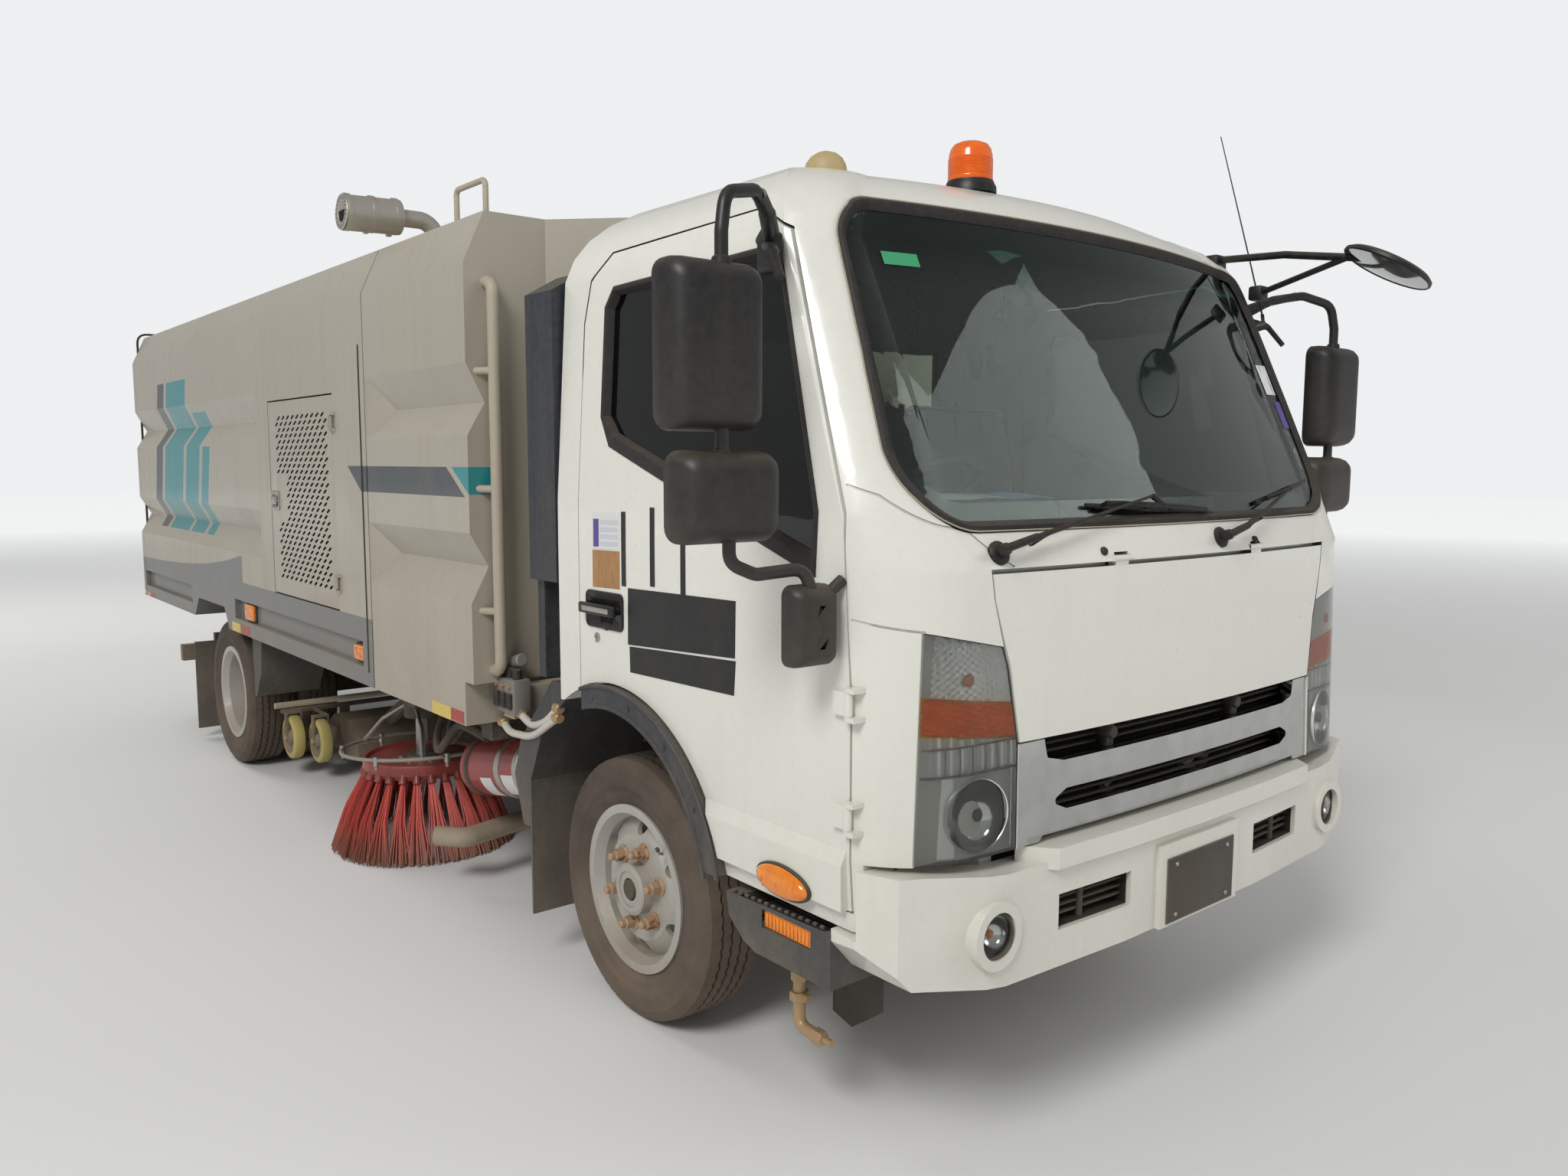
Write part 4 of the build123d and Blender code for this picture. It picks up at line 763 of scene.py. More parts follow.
def soften(node):
    """Gives a built piece smooth shading across its shallow creases, with its shape unchanged."""
    mesh = nodes[node].data
    mesh.shade_smooth()
    keys = np.round(values(mesh.vertices, "co", 3) * 20000).astype(np.int64)
    same = np.unique(keys, axis=0, return_inverse=True)[1].reshape(-1)
    group = same[values(mesh.loops, "vertex_index", 1, np.int64)]
    normal, area = values(mesh.polygons, "normal", 3), values(mesh.polygons, "area")
    owner = np.repeat(np.arange(len(area)), values(mesh.polygons, "loop_total", 1, np.int64))
    order = np.argsort(group, kind="stable")
    limit = cos(radians(crease_angle))
    result = np.empty((len(group), 3), np.float32)
    starts = np.flatnonzero(np.r_[True, np.diff(group[order]) != 0, True])
    for a, b in zip(starts[:-1], starts[1:]):
        here = order[a:b]
        own = normal[owner[here]]
        near = (own @ own.T) > limit
        result[here] = near @ (own * area[owner[here], None])
    length = np.linalg.norm(result, axis=1, keepdims=True)
    result = np.where(length > 1e-9, result / np.maximum(length, 1e-9), normal[owner])
    mesh.normals_split_custom_set(result.tolist())


def dress(node, name):
    mesh = nodes[node].data
    mesh.materials.clear()
    mesh.materials.append(finish(name))


def boundary(node, wanted, lift=0.0):
    """Closed edge loops round the faces of a built piece that wanted(centre, normal) picks, longest first."""
    mesh = nodes[node].data
    picked = [p for p in mesh.polygons if wanted(p.center, p.normal)]
    key = {}
    place = []
    edges = {}
    lifts = {}
    for p in picked:
        ids = []
        for v in p.vertices:
            co = mesh.vertices[v].co
            k = tuple(round(c * 20000) for c in co)
            if k not in key:
                key[k] = len(place)
                place.append(co.copy())
                lifts[key[k]] = vec(0, 0, 0)
            ids.append(key[k])
            lifts[key[k]] += p.normal * p.area
        for a, b in zip(ids, ids[1:] + ids[:1]):
            if (b, a) in edges:
                del edges[(b, a)]
            else:
                edges[(a, b)] = True
    follow = {a: b for a, b in edges}
    loops = []
    while follow:
        start = next(iter(follow))
        run = [start]
        step = follow.pop(start)
        while step != start and step in follow:
            run.append(step)
            step = follow.pop(step)
        loops.append(run)
    result = [[place[i] + lifts[i].normalized() * lift for i in run] for run in loops if len(run) > 3]
    return sorted(result, key=lambda pts: -sum((a - b).length for a, b in zip(pts, pts[1:])))


# Stage
class SWEEPER_OT_stage(bpy.types.Operator):
    """Camera, floor, sky and lamps"""
    bl_idname = "sweeper.stage"
    bl_label = "Stage"

    def execute(self, context):
        scene = context.scene
        scene.view_settings.view_transform = "Standard"
        data = bpy.data.cameras.new("camera")
        data.lens = sizes().lens
        data.sensor_width = 36
        data.clip_end = 200
        camera = bpy.data.objects.new("camera", data)
        camera.location = spot(2.7208, -2.5829, 1.5814)
        camera.rotation_euler = [radians(v) for v in (83.8386, -0.1544, 50.353)]
        scene.collection.objects.link(camera)
        scene.camera = camera
        self.floor(scene)
        self.sky(scene)
        self.lamps(scene)
        return {"FINISHED"}

    def floor(self, scene):
        reach = 60
        mesh = bpy.data.meshes.new("floor")
        mesh.from_pydata([(-reach, -reach, 0), (reach, -reach, 0), (reach, reach, 0), (-reach, reach, 0)], [],
            [(0, 1, 2, 3)])
        floor = bpy.data.objects.new("floor", mesh)
        scene.collection.objects.link(floor)
        mesh.materials.append(finish("floor_grey"))

    def sky(self, scene):
        world = bpy.data.worlds.new("studio")
        world.use_nodes = True
        tree = world.node_tree
        seen = add(tree, "LightPath").outputs["Is Camera Ray"]
        glow = ramp(split(add(tree, "TexCoord").outputs["Generated"])["Z"], -0.05, 0.75, 0.42, 0.34)
        feed(tree.nodes["Background"], Color=studio_white,
            Strength=plus(times(seen, 0.88), times(minus(1.0, seen), glow)))
        scene.world = world

    def lamps(self, scene):
        # name, place, aim, size, power
        table = [("key_lamp", (4.5, -9.0, 9.5), (-1.6, 0, 1.0), 4.5, 900), ("fill_lamp", (7.5, 6.5, 6.0),
            (-0.5, 0, 1.0), 6.0, 260), ("rear_lamp", (-11.0, -3.0, 8.0), (-3.5, 0, 1.2), 6.0, 420)]
        for name, place, aim, size, power in table:
            data = bpy.data.lights.new(name, "AREA")
            data.shape, data.size, data.energy = "DISK", size, power
            lamp = bpy.data.objects.new(name, data)
            lamp.location = spot(*place)
            lamp.rotation_euler = (spot(*aim) - spot(*place)).to_track_quat("-Z", "Y").to_euler()
            lamp.visible_glossy = name == "key_lamp"
            scene.collection.objects.link(lamp)


# The built pieces that take each finish
dressed = {
    "cab_paint": "cab_shell door_left door_right front_flap front_bumper",
    "body_paint": "water_tank hopper_shell rear_door engine_door_left engine_door_right",
    "chassis_paint":
    "frame_rails cross_members front_axle rear_axle leaf_springs drive_shaft steering_knuckle_left "
    "steering_knuckle_right rear_bumper sweeper_brackets brush_arm_left brush_arm_right suction_nozzle "
    "fuel_tank tipping_cylinder_barrel hopper_brackets",
    "guard_plastic": "mudguards air_intake steps_and_arch_trims",
    "black_plastic": "mirrors_left mirrors_right roof_fittings steering_wheel",
    "rim_silver": "front_rim_left front_rim_right rear_rims_left rear_rims_right",
    "tyre_rubber": "front_tyre_left front_tyre_right rear_tyres_left rear_tyres_right",
    "chrome": "grille tipping_cylinder_rod", "door_tint": "door_glass_left door_glass_right",
    "screen_glass": "cab_glass", "lamp_clear": "headlamps", "muffler_steel": "exhaust_muffler",
    "cloth": "seats", "rubber": "suction_hose", "dark_metal": "truck_engine auxiliary_engine",
    "frame_cream": "ladder pipework",
    "dash_plastic": "dashboard", "castor_hub": "nozzle_wheels_front nozzle_wheels_rear",
    "brush_red": "brush_left brush_right red_reservoir"}


class SWEEPER_OT_finishes(bpy.types.Operator):
    """Paint, plastic, metal and glass on the built pieces"""
    bl_idname = "sweeper.finishes"
    bl_label = "Finishes"

    def execute(self, context):
        for name, group in dressed.items():
            for node in group.split():
                dress(node, name)
        for node in nodes:
            soften(node)
        return {"FINISHED"}


def tyre_form(centre, half):
    r = tyre_radius
    depth = sizes().tread_depth
    groove, land = 0.009, 0.0215
    # distance from the middle plane and radius, with how far the zigzag moves that point
    profile = [(-0.076, 0.2222, 0), (-0.083, 0.246, 0), (-0.0895, 0.262, 0), (-0.0925, 0.268, 0),
        (-0.0925, 0.272, 0), (-0.098, 0.288, 0), (-0.1005, 0.291, 0), (-half, 0.3, 0),
        (-half, 0.312, 0), (-0.1015, 0.316, 0), (-0.1, 0.338, 0), (-0.1005, 0.341, 0),
        (-0.0965, 0.3505, 0), (-0.089, 0.364, 0), (-0.081, r - 0.0045, 0)]
    for i in range(4):
        at = (i - 1.5) * (land + groove)
        crown = r - 0.16 * at * at
        profile += [(at - groove / 2, crown, 1), (at - groove / 3, crown - depth, 1),
            (at + groove / 3, crown - depth, 1), (at + groove / 2, crown, 1)]
    profile += [(-y, radius, 0) for y, radius, _ in reversed(profile[:15])]
    turns = 264
    form = Form()
    rings = []
    for i in range(turns):
        a = 2 * pi * i / turns
        wave = 0.0022 if i % 4 < 2 else -0.0022
        nick = 0.0016 if i % 4 == 0 else 0
        ring = []
        for y, radius, zigzag in profile:
            radius -= nick if (abs(y) > 0.0795 and radius > 0.36) else 0
            ring.append(centre + vec(radius * sin(a), y + wave * zigzag, radius * cos(a)))
        rings.append(ring)
    count = len(profile)
    faces = []
    for i in range(turns):
        first, second = i * count, (i + 1) % turns * count
        faces += [(first + j, first + j + 1, second + j + 1, second + j) for j in range(count - 1)]
    form.add([p for ring in rings for p in ring], faces)
    return form


class SWEEPER_OT_tyres(bpy.types.Operator):
    """Tyres with ribbed treads and ringed sidewalls"""
    bl_idname = "sweeper.tyres"
    bl_label = "Tyres"

    def execute(self, context):
        low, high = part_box("front_tyre_right")
        half = (high.y - low.y) / 2
        inner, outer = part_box("rear_tyres_left")
        rear_outer = outer.y - half
        rear_inner = inner.y + half
        for name, side in both_sides:
            form = tyre_form(spot(0, side * front_wheel_y, tyre_radius), half)
            form.make("front_tyre_tread_" + name, "tyre_rubber", f"front_{name}_wheel", "tyre_rubber",
                ["front_tyre_" + name], 28)
            form = tyre_form(spot(-wheelbase, side * rear_outer, tyre_radius), half)
            form.put(tyre_form(spot(-wheelbase, side * rear_inner, tyre_radius), half))
            form.make("rear_tyre_treads_" + name, "tyre_rubber", f"rear_{name}_wheels", "tyre_rubber",
                ["rear_tyres_" + name], 28)
        return {"FINISHED"}


def wheel_nuts(form, centre, out):
    for i in range(6):
        a = radians(60 * i + 14)
        place = facing(centre + vec(sin(a), 0, cos(a)) * sizes().nut_circle, out)
        form.turned([(0, 0.026), (0.004, 0.026), (0.007, 0.0225)], place, 24, 0)
        six = [(0.0185 * cos(radians(60 * k)), 0.0185 * sin(radians(60 * k))) for k in range(6)]
        form.plates(six, ((0, 0), (0.0275, 0), (0.03, 0.0025)), 0,
            place @ Matrix.Translation((0, 0, 0.005)) @ Matrix.Rotation(0.4 * i, 4, "Z"))
        form.turned([(0.03, 0.0115), (0.047, 0.0115), (0.05, 0.009)], place, 14, 0)


def hub_cap(form, centre, out):
    place = facing(centre, out)
    form.turned([(-0.002, 0.072), (0.002, 0.07), (0.006, 0.062), (0.004, 0.052), (-0.02, 0.049)], place, 48,
        2, ends=False)
    form.turned([(-0.03, 0.05), (-0.018, 0.05), (-0.012, 0.046), (-0.01, 0.03), (0.004, 0.028),
        (0.008, 0.02)], place, 40, 1)
    for i in range(8):
        a = radians(45 * i)
        form.turned([(-0.016, 0.006), (-0.008, 0.006)], place @ Matrix.Translation(polar(0.0395, a)), 6, 1)


def tyre_valve(form, centre, out):
    at = centre + vec(0.13, 0, 0.13)
    form.pipe([at, at + out * 0.035 + vec(0.012, 0, 0.012), at + out * 0.05 + vec(0.03, 0, 0.03)], 0.0045,
        0.01, 8, 2)
    form.turned([(0, 0.006), (0.012, 0.006)], facing(at + out * 0.048 + vec(0.028, 0, 0.028),
        (1, side_of(out), 1)), 10, 3)


class SWEEPER_OT_wheel_fittings(bpy.types.Operator):
    """Wheel nuts, hub caps and tyre valves"""
    bl_idname = "sweeper.wheel_fittings"
    bl_label = "Wheel fittings"

    def execute(self, context):
        for name, side in both_sides:
            out = vec(0, side, 0)
            front = spot(0, side * front_wheel_y, tyre_radius)
            rear = spot(-wheelbase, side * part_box("rear_rims_left")[1].y, tyre_radius)
            # name, body, rim's middle, and how far outward of it the nuts, the cap and the valve lie
            for title, body, centre, nuts, cap, valve in (
                    ("front_wheel_nuts_" + name, f"front_{name}_wheel", front, 0.066, 0.098, 0.058),
                    ("rear_wheel_nuts_" + name, f"rear_{name}_wheels", rear, -0.1495, -0.0965, -0.14)):
                form = Form()
                wheel_nuts(form, centre + out * nuts, out)
                hub_cap(form, centre + out * cap, out)
                tyre_valve(form, centre + out * valve, out)
                form.make(title, "nut_metal hub_black rim_silver rubber", body, "rim_silver")
        return {"FINISHED"}


def side_of(out):
    return 1 if out.y > 0 else -1


def skin_of(node, wanted):
    """The faces of a built piece that wanted(centre, normal) picks, for finding near points."""
    mesh = nodes[node].data
    faces = [p.vertices[:] for p in mesh.polygons if wanted(p.center, p.normal)]
    return BVHTree.FromPolygons([v.co for v in mesh.vertices], faces)


def along_loop(loop, skin):
    """For each point of a closed run on a surface: the point, the way inward and the way out."""
    centre = sum(loop, Vector()) / len(loop)
    result = []
    for i, p in enumerate(loop):
        run = (loop[(i + 1) % len(loop)] - loop[i - 1]).normalized()
        normal = skin.find_nearest(p)[1]
        across = normal.cross(run).normalized()
        if across.dot(centre - p) < 0:
            across = -across
        result.append((p, across, normal))
    return result


def sealed(form, loop, skin, section, mark=0, sill=0.0):
    """Runs a section of (inward, outward) pairs round a loop. Along a lower edge it is wider by sill."""
    rings = []
    for p, across, normal in along_loop(loop, skin):
        wide = sill * min(max((across.z - 0.55) / 0.3, 0), 1)
        rings.append([p + across * (a - (wide if i < 2 else 0)) + normal * b
            for i, (a, b) in enumerate(section)])
    form.rings(rings, mark, closed=True)


def border(form, loop, skin, width, lift, mark=0):
    """A flat border inside a loop, lift away from the surface. width(point) is how far in it reaches."""
    outer, inner = [], []
    for p, across, normal in along_loop(loop, skin):
        outer.append(p + normal * lift)
        q, facing_out = skin.find_nearest(p + across * width(p))[:2]
        inner.append(q + facing_out * lift)
    count = len(loop)
    form.add(outer + inner, [(i, (i + 1) % count, count + (i + 1) % count, count + i) for i in range(count)],
        mark)


def even_loop(loop, step):
    """A closed run with points at even steps along its straight stretches."""
    points = []
    for a, b in zip(loop, loop[1:] + loop[:1]):
        parts = max(1, round((b - a).length / step))
        points += [a.lerp(b, i / parts) for i in range(parts)]
    return points


def decal(form, tree, corners, side, thick=0.0012, mark=0, rows=1, columns=1):
    """A thin sheet on one side over (x, z) corners: low rear, low front, high front, high rear."""
    grid = []
    for r in range(rows + 1):
        for c in range(columns + 1):
            u, v = c / columns, r / rows
            low = [a + (b - a) * u for a, b in zip(corners[0], corners[1])]
            high = [a + (b - a) * u for a, b in zip(corners[3], corners[2])]
            x, z = [a + (b - a) * v for a, b in zip(low, high)]
            grid.append(on_side(tree, x, z, side, thick)[0])
    wide = columns + 1
    faces = cells(rows, columns)
    edge = ([(0, c) for c in range(columns)] + [(r, columns) for r in range(rows)]
        + [(rows, c) for c in range(columns, 0, -1)] + [(r, 0) for r in range(rows, 0, -1)])
    rim = [r * wide + c for r, c in edge]
    first = len(grid)
    inward = vec(0, -side * 2 * thick, 0)
    grid += [grid[i] + inward for i in rim]
    count = len(rim)
    faces += [(rim[i], rim[(i + 1) % count], first + (i + 1) % count, first + i) for i in range(count)]
    form.add(grid, faces, mark)


# Cab
def printed_width(point):
    return 0.034 + 0.036 * min(max((1.6 - point.z) / 0.12, 0), 1)


class SWEEPER_OT_windows(bpy.types.Operator):
    """Rubber seals, sealant and printed borders of the windows"""
    bl_idname = "sweeper.windows"
    bl_label = "Windows"

    def execute(self, context):
        def forward(centre, normal):
            return normal.x > 0.2 and centre.x > axle_x + 0.4

        def rearward(centre, normal):
            return normal.x < -0.9 and centre.x < axle_x

        wide = sizes().seal_width
        seal = [(-0.0008, -0.003), (-0.0008, 0.0145), (0.3 * wide, 0.0175), (0.55 * wide, 0.0155),
            (0.85 * wide, 0.007), (wide, 0.0006)]
        bead = [(0.0, 0.014), (-0.0035, 0.0152), (-0.004, 0.0125), (-0.001, 0.0125)]
        skin = skin_of("cab_glass", forward)
        loop = even_loop(boundary("cab_glass", forward)[0], 0.05)
        form = Form()
        sealed(form, loop, skin, seal)
        sealed(form, loop, skin, bead, 1)
        border(form, loop, skin, printed_width, -0.0086, 2)
        form.make("windscreen_seal", "rubber sealant window_print")
        skin = skin_of("cab_glass", rearward)
        loop = even_loop(boundary("cab_glass", rearward)[0], 0.1)
        form = Form()
        sealed(form, loop, skin, [(-0.014, -0.002), (-0.014, 0.021), (0.004, 0.022), (0.014, 0.008),
            (0.016, 0.0)])
        form.make("rear_window_seal", "rubber")
        for name, side in both_sides:
            def outward(centre, normal, side=side):
                return normal.y * side > 0.5
            node = "door_glass_" + name
            skin = skin_of(node, outward)
            loop = even_loop(boundary(node, outward)[0], 0.06)
            form = Form()
            sealed(form, loop, skin, [(-0.0008, -0.003), (-0.0008, 0.0205), (0.005, 0.0235), (0.012, 0.021),
                (0.018, 0.009), (0.021, 0.0006)], 0, 0.02)
            border(form, loop, skin, lambda p: 0.03, -0.0072, 1)
            form.make("door_window_seal_" + name, "rubber window_print", name + "_door")
        return {"FINISHED"}


class SWEEPER_OT_wipers(bpy.types.Operator):
    """Windscreen wipers and washer jets"""
    bl_idname = "sweeper.wipers"
    bl_label = "Wipers"

    def execute(self, context):
        shell = tree_of("cab_shell")
        glass_tree = tree_of("cab_glass")
        # pivot, elbow, place where the arm holds the blade, and the blade's two ends, as (y, z)
        table = [("right", (-0.69, 1.394), (-0.6, 1.413), (-0.155, 1.494), (-0.37, 1.486), (0.13, 1.458)),
            ("left", (0.128, 1.398), (0.21, 1.414), (0.56, 1.5), (0.38, 1.476), (0.78, 1.53))]
        for name, pivot, elbow, hold, start, end in table:
            form = Form()
            base, out = on_front(shell, *pivot)
            place = facing(base, out)
            form.turned([(-0.004, 0.027), (0.005, 0.027), (0.01, 0.022), (0.012, 0.014), (0.03, 0.013),
                (0.034, 0.009)], place, 28)
            knuckle = base + out * 0.032
            bend = on_front(shell, *elbow, 0.036)[0]
            grip = on_front(glass_tree, *hold, 0.034)[0]
            run = (bend - knuckle).normalized()
            form.pipe([knuckle - run * 0.02, knuckle, bend], lambda t: 0.013 - 0.002 * t, 0.0, 14,
                squash=0.75)
            form.pipe([bend, bend.lerp(grip, 0.35) + out * 0.004, grip], lambda t: 0.0095 - 0.004 * t, 0.03,
                10, squash=0.6)
            form.pipe([knuckle + run * 0.06, knuckle + run * 0.09 - out * 0.02 - vec(0, 0, 0.012),
                knuckle + run * 0.13 - out * 0.018 - vec(0, 0, 0.004), knuckle + run * 0.17], 0.0028, 0.02, 6)
            count = 10
            spine = []
            for i in range(count + 1):
                t = i / count
                y, z = start[0] + (end[0] - start[0]) * t, start[1] + (end[1] - start[1]) * t
                spine.append(on_front(glass_tree, y, z, 0.006 + 0.004 * sin(pi * t)))
            form.pipe([p for p, _ in spine], 0.005, 0.0, 8)
            bow = [p + n * (0.012 + 0.012 * sin(pi * i / count)) for i, (p, n) in enumerate(spine)]
            form.pipe(bow[1:-1], 0.0042, 0.0, 8, squash=1.6)
            for i in (1, 4, 6, 9):
                form.pipe([spine[i][0], bow[i]], 0.0045, 0.0, 8)
            form.pipe([bow[5], grip], 0.007, 0.0, 8)
            form.make("wiper_" + name, "wiper_black")
        form = Form()
        for y in (-0.36, 0.3):
            base, out = on_front(shell, y, 1.385)
            form.turned([(-0.002, 0.011), (0.004, 0.01), (0.008, 0.006), (0.009, 0.002)], facing(base, out),
                16)
        form.make("washer_jets", "black_plastic")
        return {"FINISHED"}


class SWEEPER_OT_headlamps(bpy.types.Operator):
    """Headlamps with a clear lens over a reflector, an amber band and a projector bowl"""
    bl_idname = "sweeper.headlamps"
    bl_label = "Headlamps"

    def execute(self, context):
        self.tree = tree_of("headlamps")
        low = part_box("headlamps")[0]
        self.low_z = low.z + 0.0006
        self.rear_x = low.x
        lens, inside = Form(), Form()
        self.lens(lens)
        self.inside(inside)
        for form, title, materials in ((lens, "headlamp_lens", "lamp_clear amber_lens"),
                (inside, "headlamp_bodies",
                "lamp_silver lamp_silver_ribbed chrome black_plastic lamp_amber lamp_clear")):
            form.put(form.mirrored())
            form.make(title, materials, "cab", "lamp_glass" if form is lens else "chrome_trim",
                ["headlamps"] if form is lens else (), 35)
        return {"FINISHED"}

    def inner_y(self, z):
        rows = [(0.752, 0.648), (0.981, 0.643), (1.152, 0.672), (1.198, 0.688), (1.3, 0.688)]
        for (z0, y0), (z1, y1) in zip(rows, rows[1:]):
            if z <= z1:
                return y0 + (y1 - y0) * (z - z0) / (z1 - z0)
        return rows[-1][1]

    def outer_y(self, z):
        near, far = self.inner_y(z) + 0.02, 1.0
        for _ in range(22):
            middle_y = (near + far) / 2
            hit = self.tree.ray_cast(vec(axle_x + 3, -middle_y, z), vec(-1, 0, 0))[0]
            near, far = (middle_y, far) if hit and hit.x > self.rear_x + 0.001 else (near, middle_y)
        return near - 0.0006

    def point(self, across, height, depth):
        """across runs 0 to 1 from the grille outward, height 0 to 1 from the foot, depth lies behind."""
        top = 1.1965 + 0.042 * across
        z = self.low_z + (top - self.low_z) * height
        y = self.inner_y(z) + 0.0008
        y += (self.outer_y(min(z, 1.21)) - y) * across
        hit = self.tree.ray_cast(vec(axle_x + 3, -y, z), vec(-1, 0, 0))
        if hit[0] is None:
            hit = self.tree.find_nearest(vec(axle_x + 1.15, -y, z))
        normal = hit[1] if hit[1].x > 0 else -hit[1]
        return hit[0] - normal * depth

    def share(self, z, across):
        top = 1.1965 + 0.042 * across
        return (z - self.low_z) / (top - self.low_z)

    def sheet(self, form, columns, rows, depth, mark_of):
        """depth(across, z) and mark_of(across, z) shape and colour the sheet."""
        grid = []
        for r in range(rows + 1):
            for c in range(columns + 1):
                across, height = c / columns, r / rows
                z = self.low_z + (1.1965 + 0.042 * across - self.low_z) * height
                grid.append(self.point(across, height, depth(across, z)))
        wide = columns + 1
        for r in range(rows):
            for c in range(columns):
                across, height = (c + 0.5) / columns, (r + 0.5) / rows
                z = self.low_z + (1.1965 + 0.042 * across - self.low_z) * height
                a = r * wide + c
                form.add([grid[i] for i in (a, a + 1, a + wide + 1, a + wide)], [(0, 1, 2, 3)],
                    mark_of(across, z))
        return grid

    def band(self, across, z):
        """True inside the amber band, which rises a little outward."""
        return 0.999 + 0.029 * across < z < 1.076 + 0.03 * across

    def lens(self, form):
        for depth in (0.0012, 0.0042):
            self.sheet(form, 16, 52, lambda across, z, d=depth: d, lambda across,
                z: 1 if self.band(across, z) else 0)

    def inside(self, form):
        def depth(across, z):
            if self.band(across, z):
                return 0.0075 + 0.0015 * cos(z * 2 * pi / 0.0075)
            if z > 1.076:
                return 0.013 + 0.012 * sin(pi * across) + 0.0016 * cos(across * 60) * cos(z * 420)
            if z > 0.935:
                return 0.014 + 0.0075 * abs(sin(pi * across * 9))
            return 0.0335

        def mark_of(across, z):
            if self.band(across, z):
                return 4
            return 1 if z > 0.935 else 0
        self.sheet(form, 72, 96, depth, mark_of)
        # Frame round the edge, ledge over the bowl and bright bars
        for columns, rows in (((0, 0), (0, 1)), ((1, 1), (0, 1)), ((0, 1), (0, 0)), ((0, 1), (1, 1))):
            near, far = [], []
            for i in range(33):
                t = i / 32
                across = columns[0] + (columns[1] - columns[0]) * t
                height = rows[0] + (rows[1] - rows[0]) * t
                near.append(self.point(across, height, 0.001))
                far.append(self.point(across, height, 0.034))
            form.add(near + far, cells(1, 32), 3)
        for z, size in ((0.937, 0.0035), (0.996, 0.0022)):
            form.pipe([self.point(c / 16, self.share(z, c / 16), 0.01) for c in range(17)], size, 0.0, 8,
                mark=2)
        form.pipe([self.point(0.06, self.share(z, 0.06), 0.01) for z in (0.765, 0.8, 0.85, 0.9, 0.935)],
            0.003, 0.0, 8, mark=2)
        for share in (0.22, 0.36, 0.5, 0.64, 0.78):
            form.pipe([self.point(share, self.share(z, share), 0.012) for z in (0.94, 0.965, 0.995)], 0.0022,
                0.0, 6, mark=2)
        # Bowl of the main lamp: a deep dish with a bulb shield
        centre = self.point(0.42, self.share(0.845, 0.42), 0.0325)
        place = facing(centre, (1, -0.25, 0))
        form.turned([(0.0245, 0.078), (0.02, 0.0765), (0.013, 0.066), (0.006, 0.047), (0.001, 0.024),
            (0.0, 0.004)], place, 48, 2, ends=False)
        form.turned([(0.0245, 0.078), (0.0258, 0.0795), (0.0245, 0.081), (0.0, 0.081)], place, 48, 0,
            ends=False)
        form.turned([(0.0, 0.014), (0.015, 0.0135), (0.02, 0.01), (0.0215, 0.001)], place, 24, 3)
        bulb = self.point(0.5, self.share(1.135, 0.5), 0.016)
        form.turned([(0.0, 0.01), (0.005, 0.0135), (0.009, 0.01), (0.0105, 0.002)],
            facing(bulb, (1, -0.2, 0)), 20, 4)


def bow_line(tree, z, reach, back, count=20):
    """Points across the front at one height, set back from the surface."""
    points = []
    for i in range(count + 1):
        y = -reach + 2 * reach * i / count
        points.append(on_front(tree, y, z)[0] - vec(back, 0, 0))
    return points


def grille_slats():
    tree = tree_of("grille")
    form = Form()
    level = 0.89
    for z, back in ((0.975, 0.048), (0.955, 0.05), (0.936, 0.052), (0.848, 0.05), (0.829, 0.05),
            (0.81, 0.05)):
        run = [vec(p.x, p.y, z) for p in bow_line(tree, level, 0.56, back)]
        form.pipe(run, 0.0075, 0.0, 8, squash=0.5)
    # Painted shade: a near-black sheet behind the slats stands in for the shade behind the grille
    front, rear = [], []
    for p in bow_line(tree, level, 0.635, 0.075, 24):
        front.append(vec(p.x, p.y, 0.7))
        rear.append(vec(p.x, p.y, 0.99))
    count = len(front)
    form.add(front + rear, cells(1, count - 1), 1)
    for y in (-0.302, 0.25):
        at = on_front(tree, y, level)[0]
        form.turned([(0, 0.017), (0.03, 0.017), (0.036, 0.014), (0.037, 0.004)],
            facing(vec(at.x - 0.045, y, 0.96), (1, 0, 0)), 24)
        form.box((at.x - 0.05, y - 0.014, 0.925), (at.x - 0.018, y + 0.014, 0.985), 0.004)
    # What shows dimly between the bars: radiator pipes
    for y, z, size in ((-0.22, 0.835, 0.011), (0.12, 0.828, 0.014), (0.34, 0.842, 0.009)):
        at = on_front(tree, y, level)[0]
        form.pipe([vec(at.x - 0.062, y - 0.05, z - 0.02), vec(at.x - 0.06, y, z + 0.008),
            vec(at.x - 0.064, y + 0.06, z - 0.006)], size, 0.02, 10, 2)
    form.make("grille_slats", "slat_black deep_black grey_pipe")


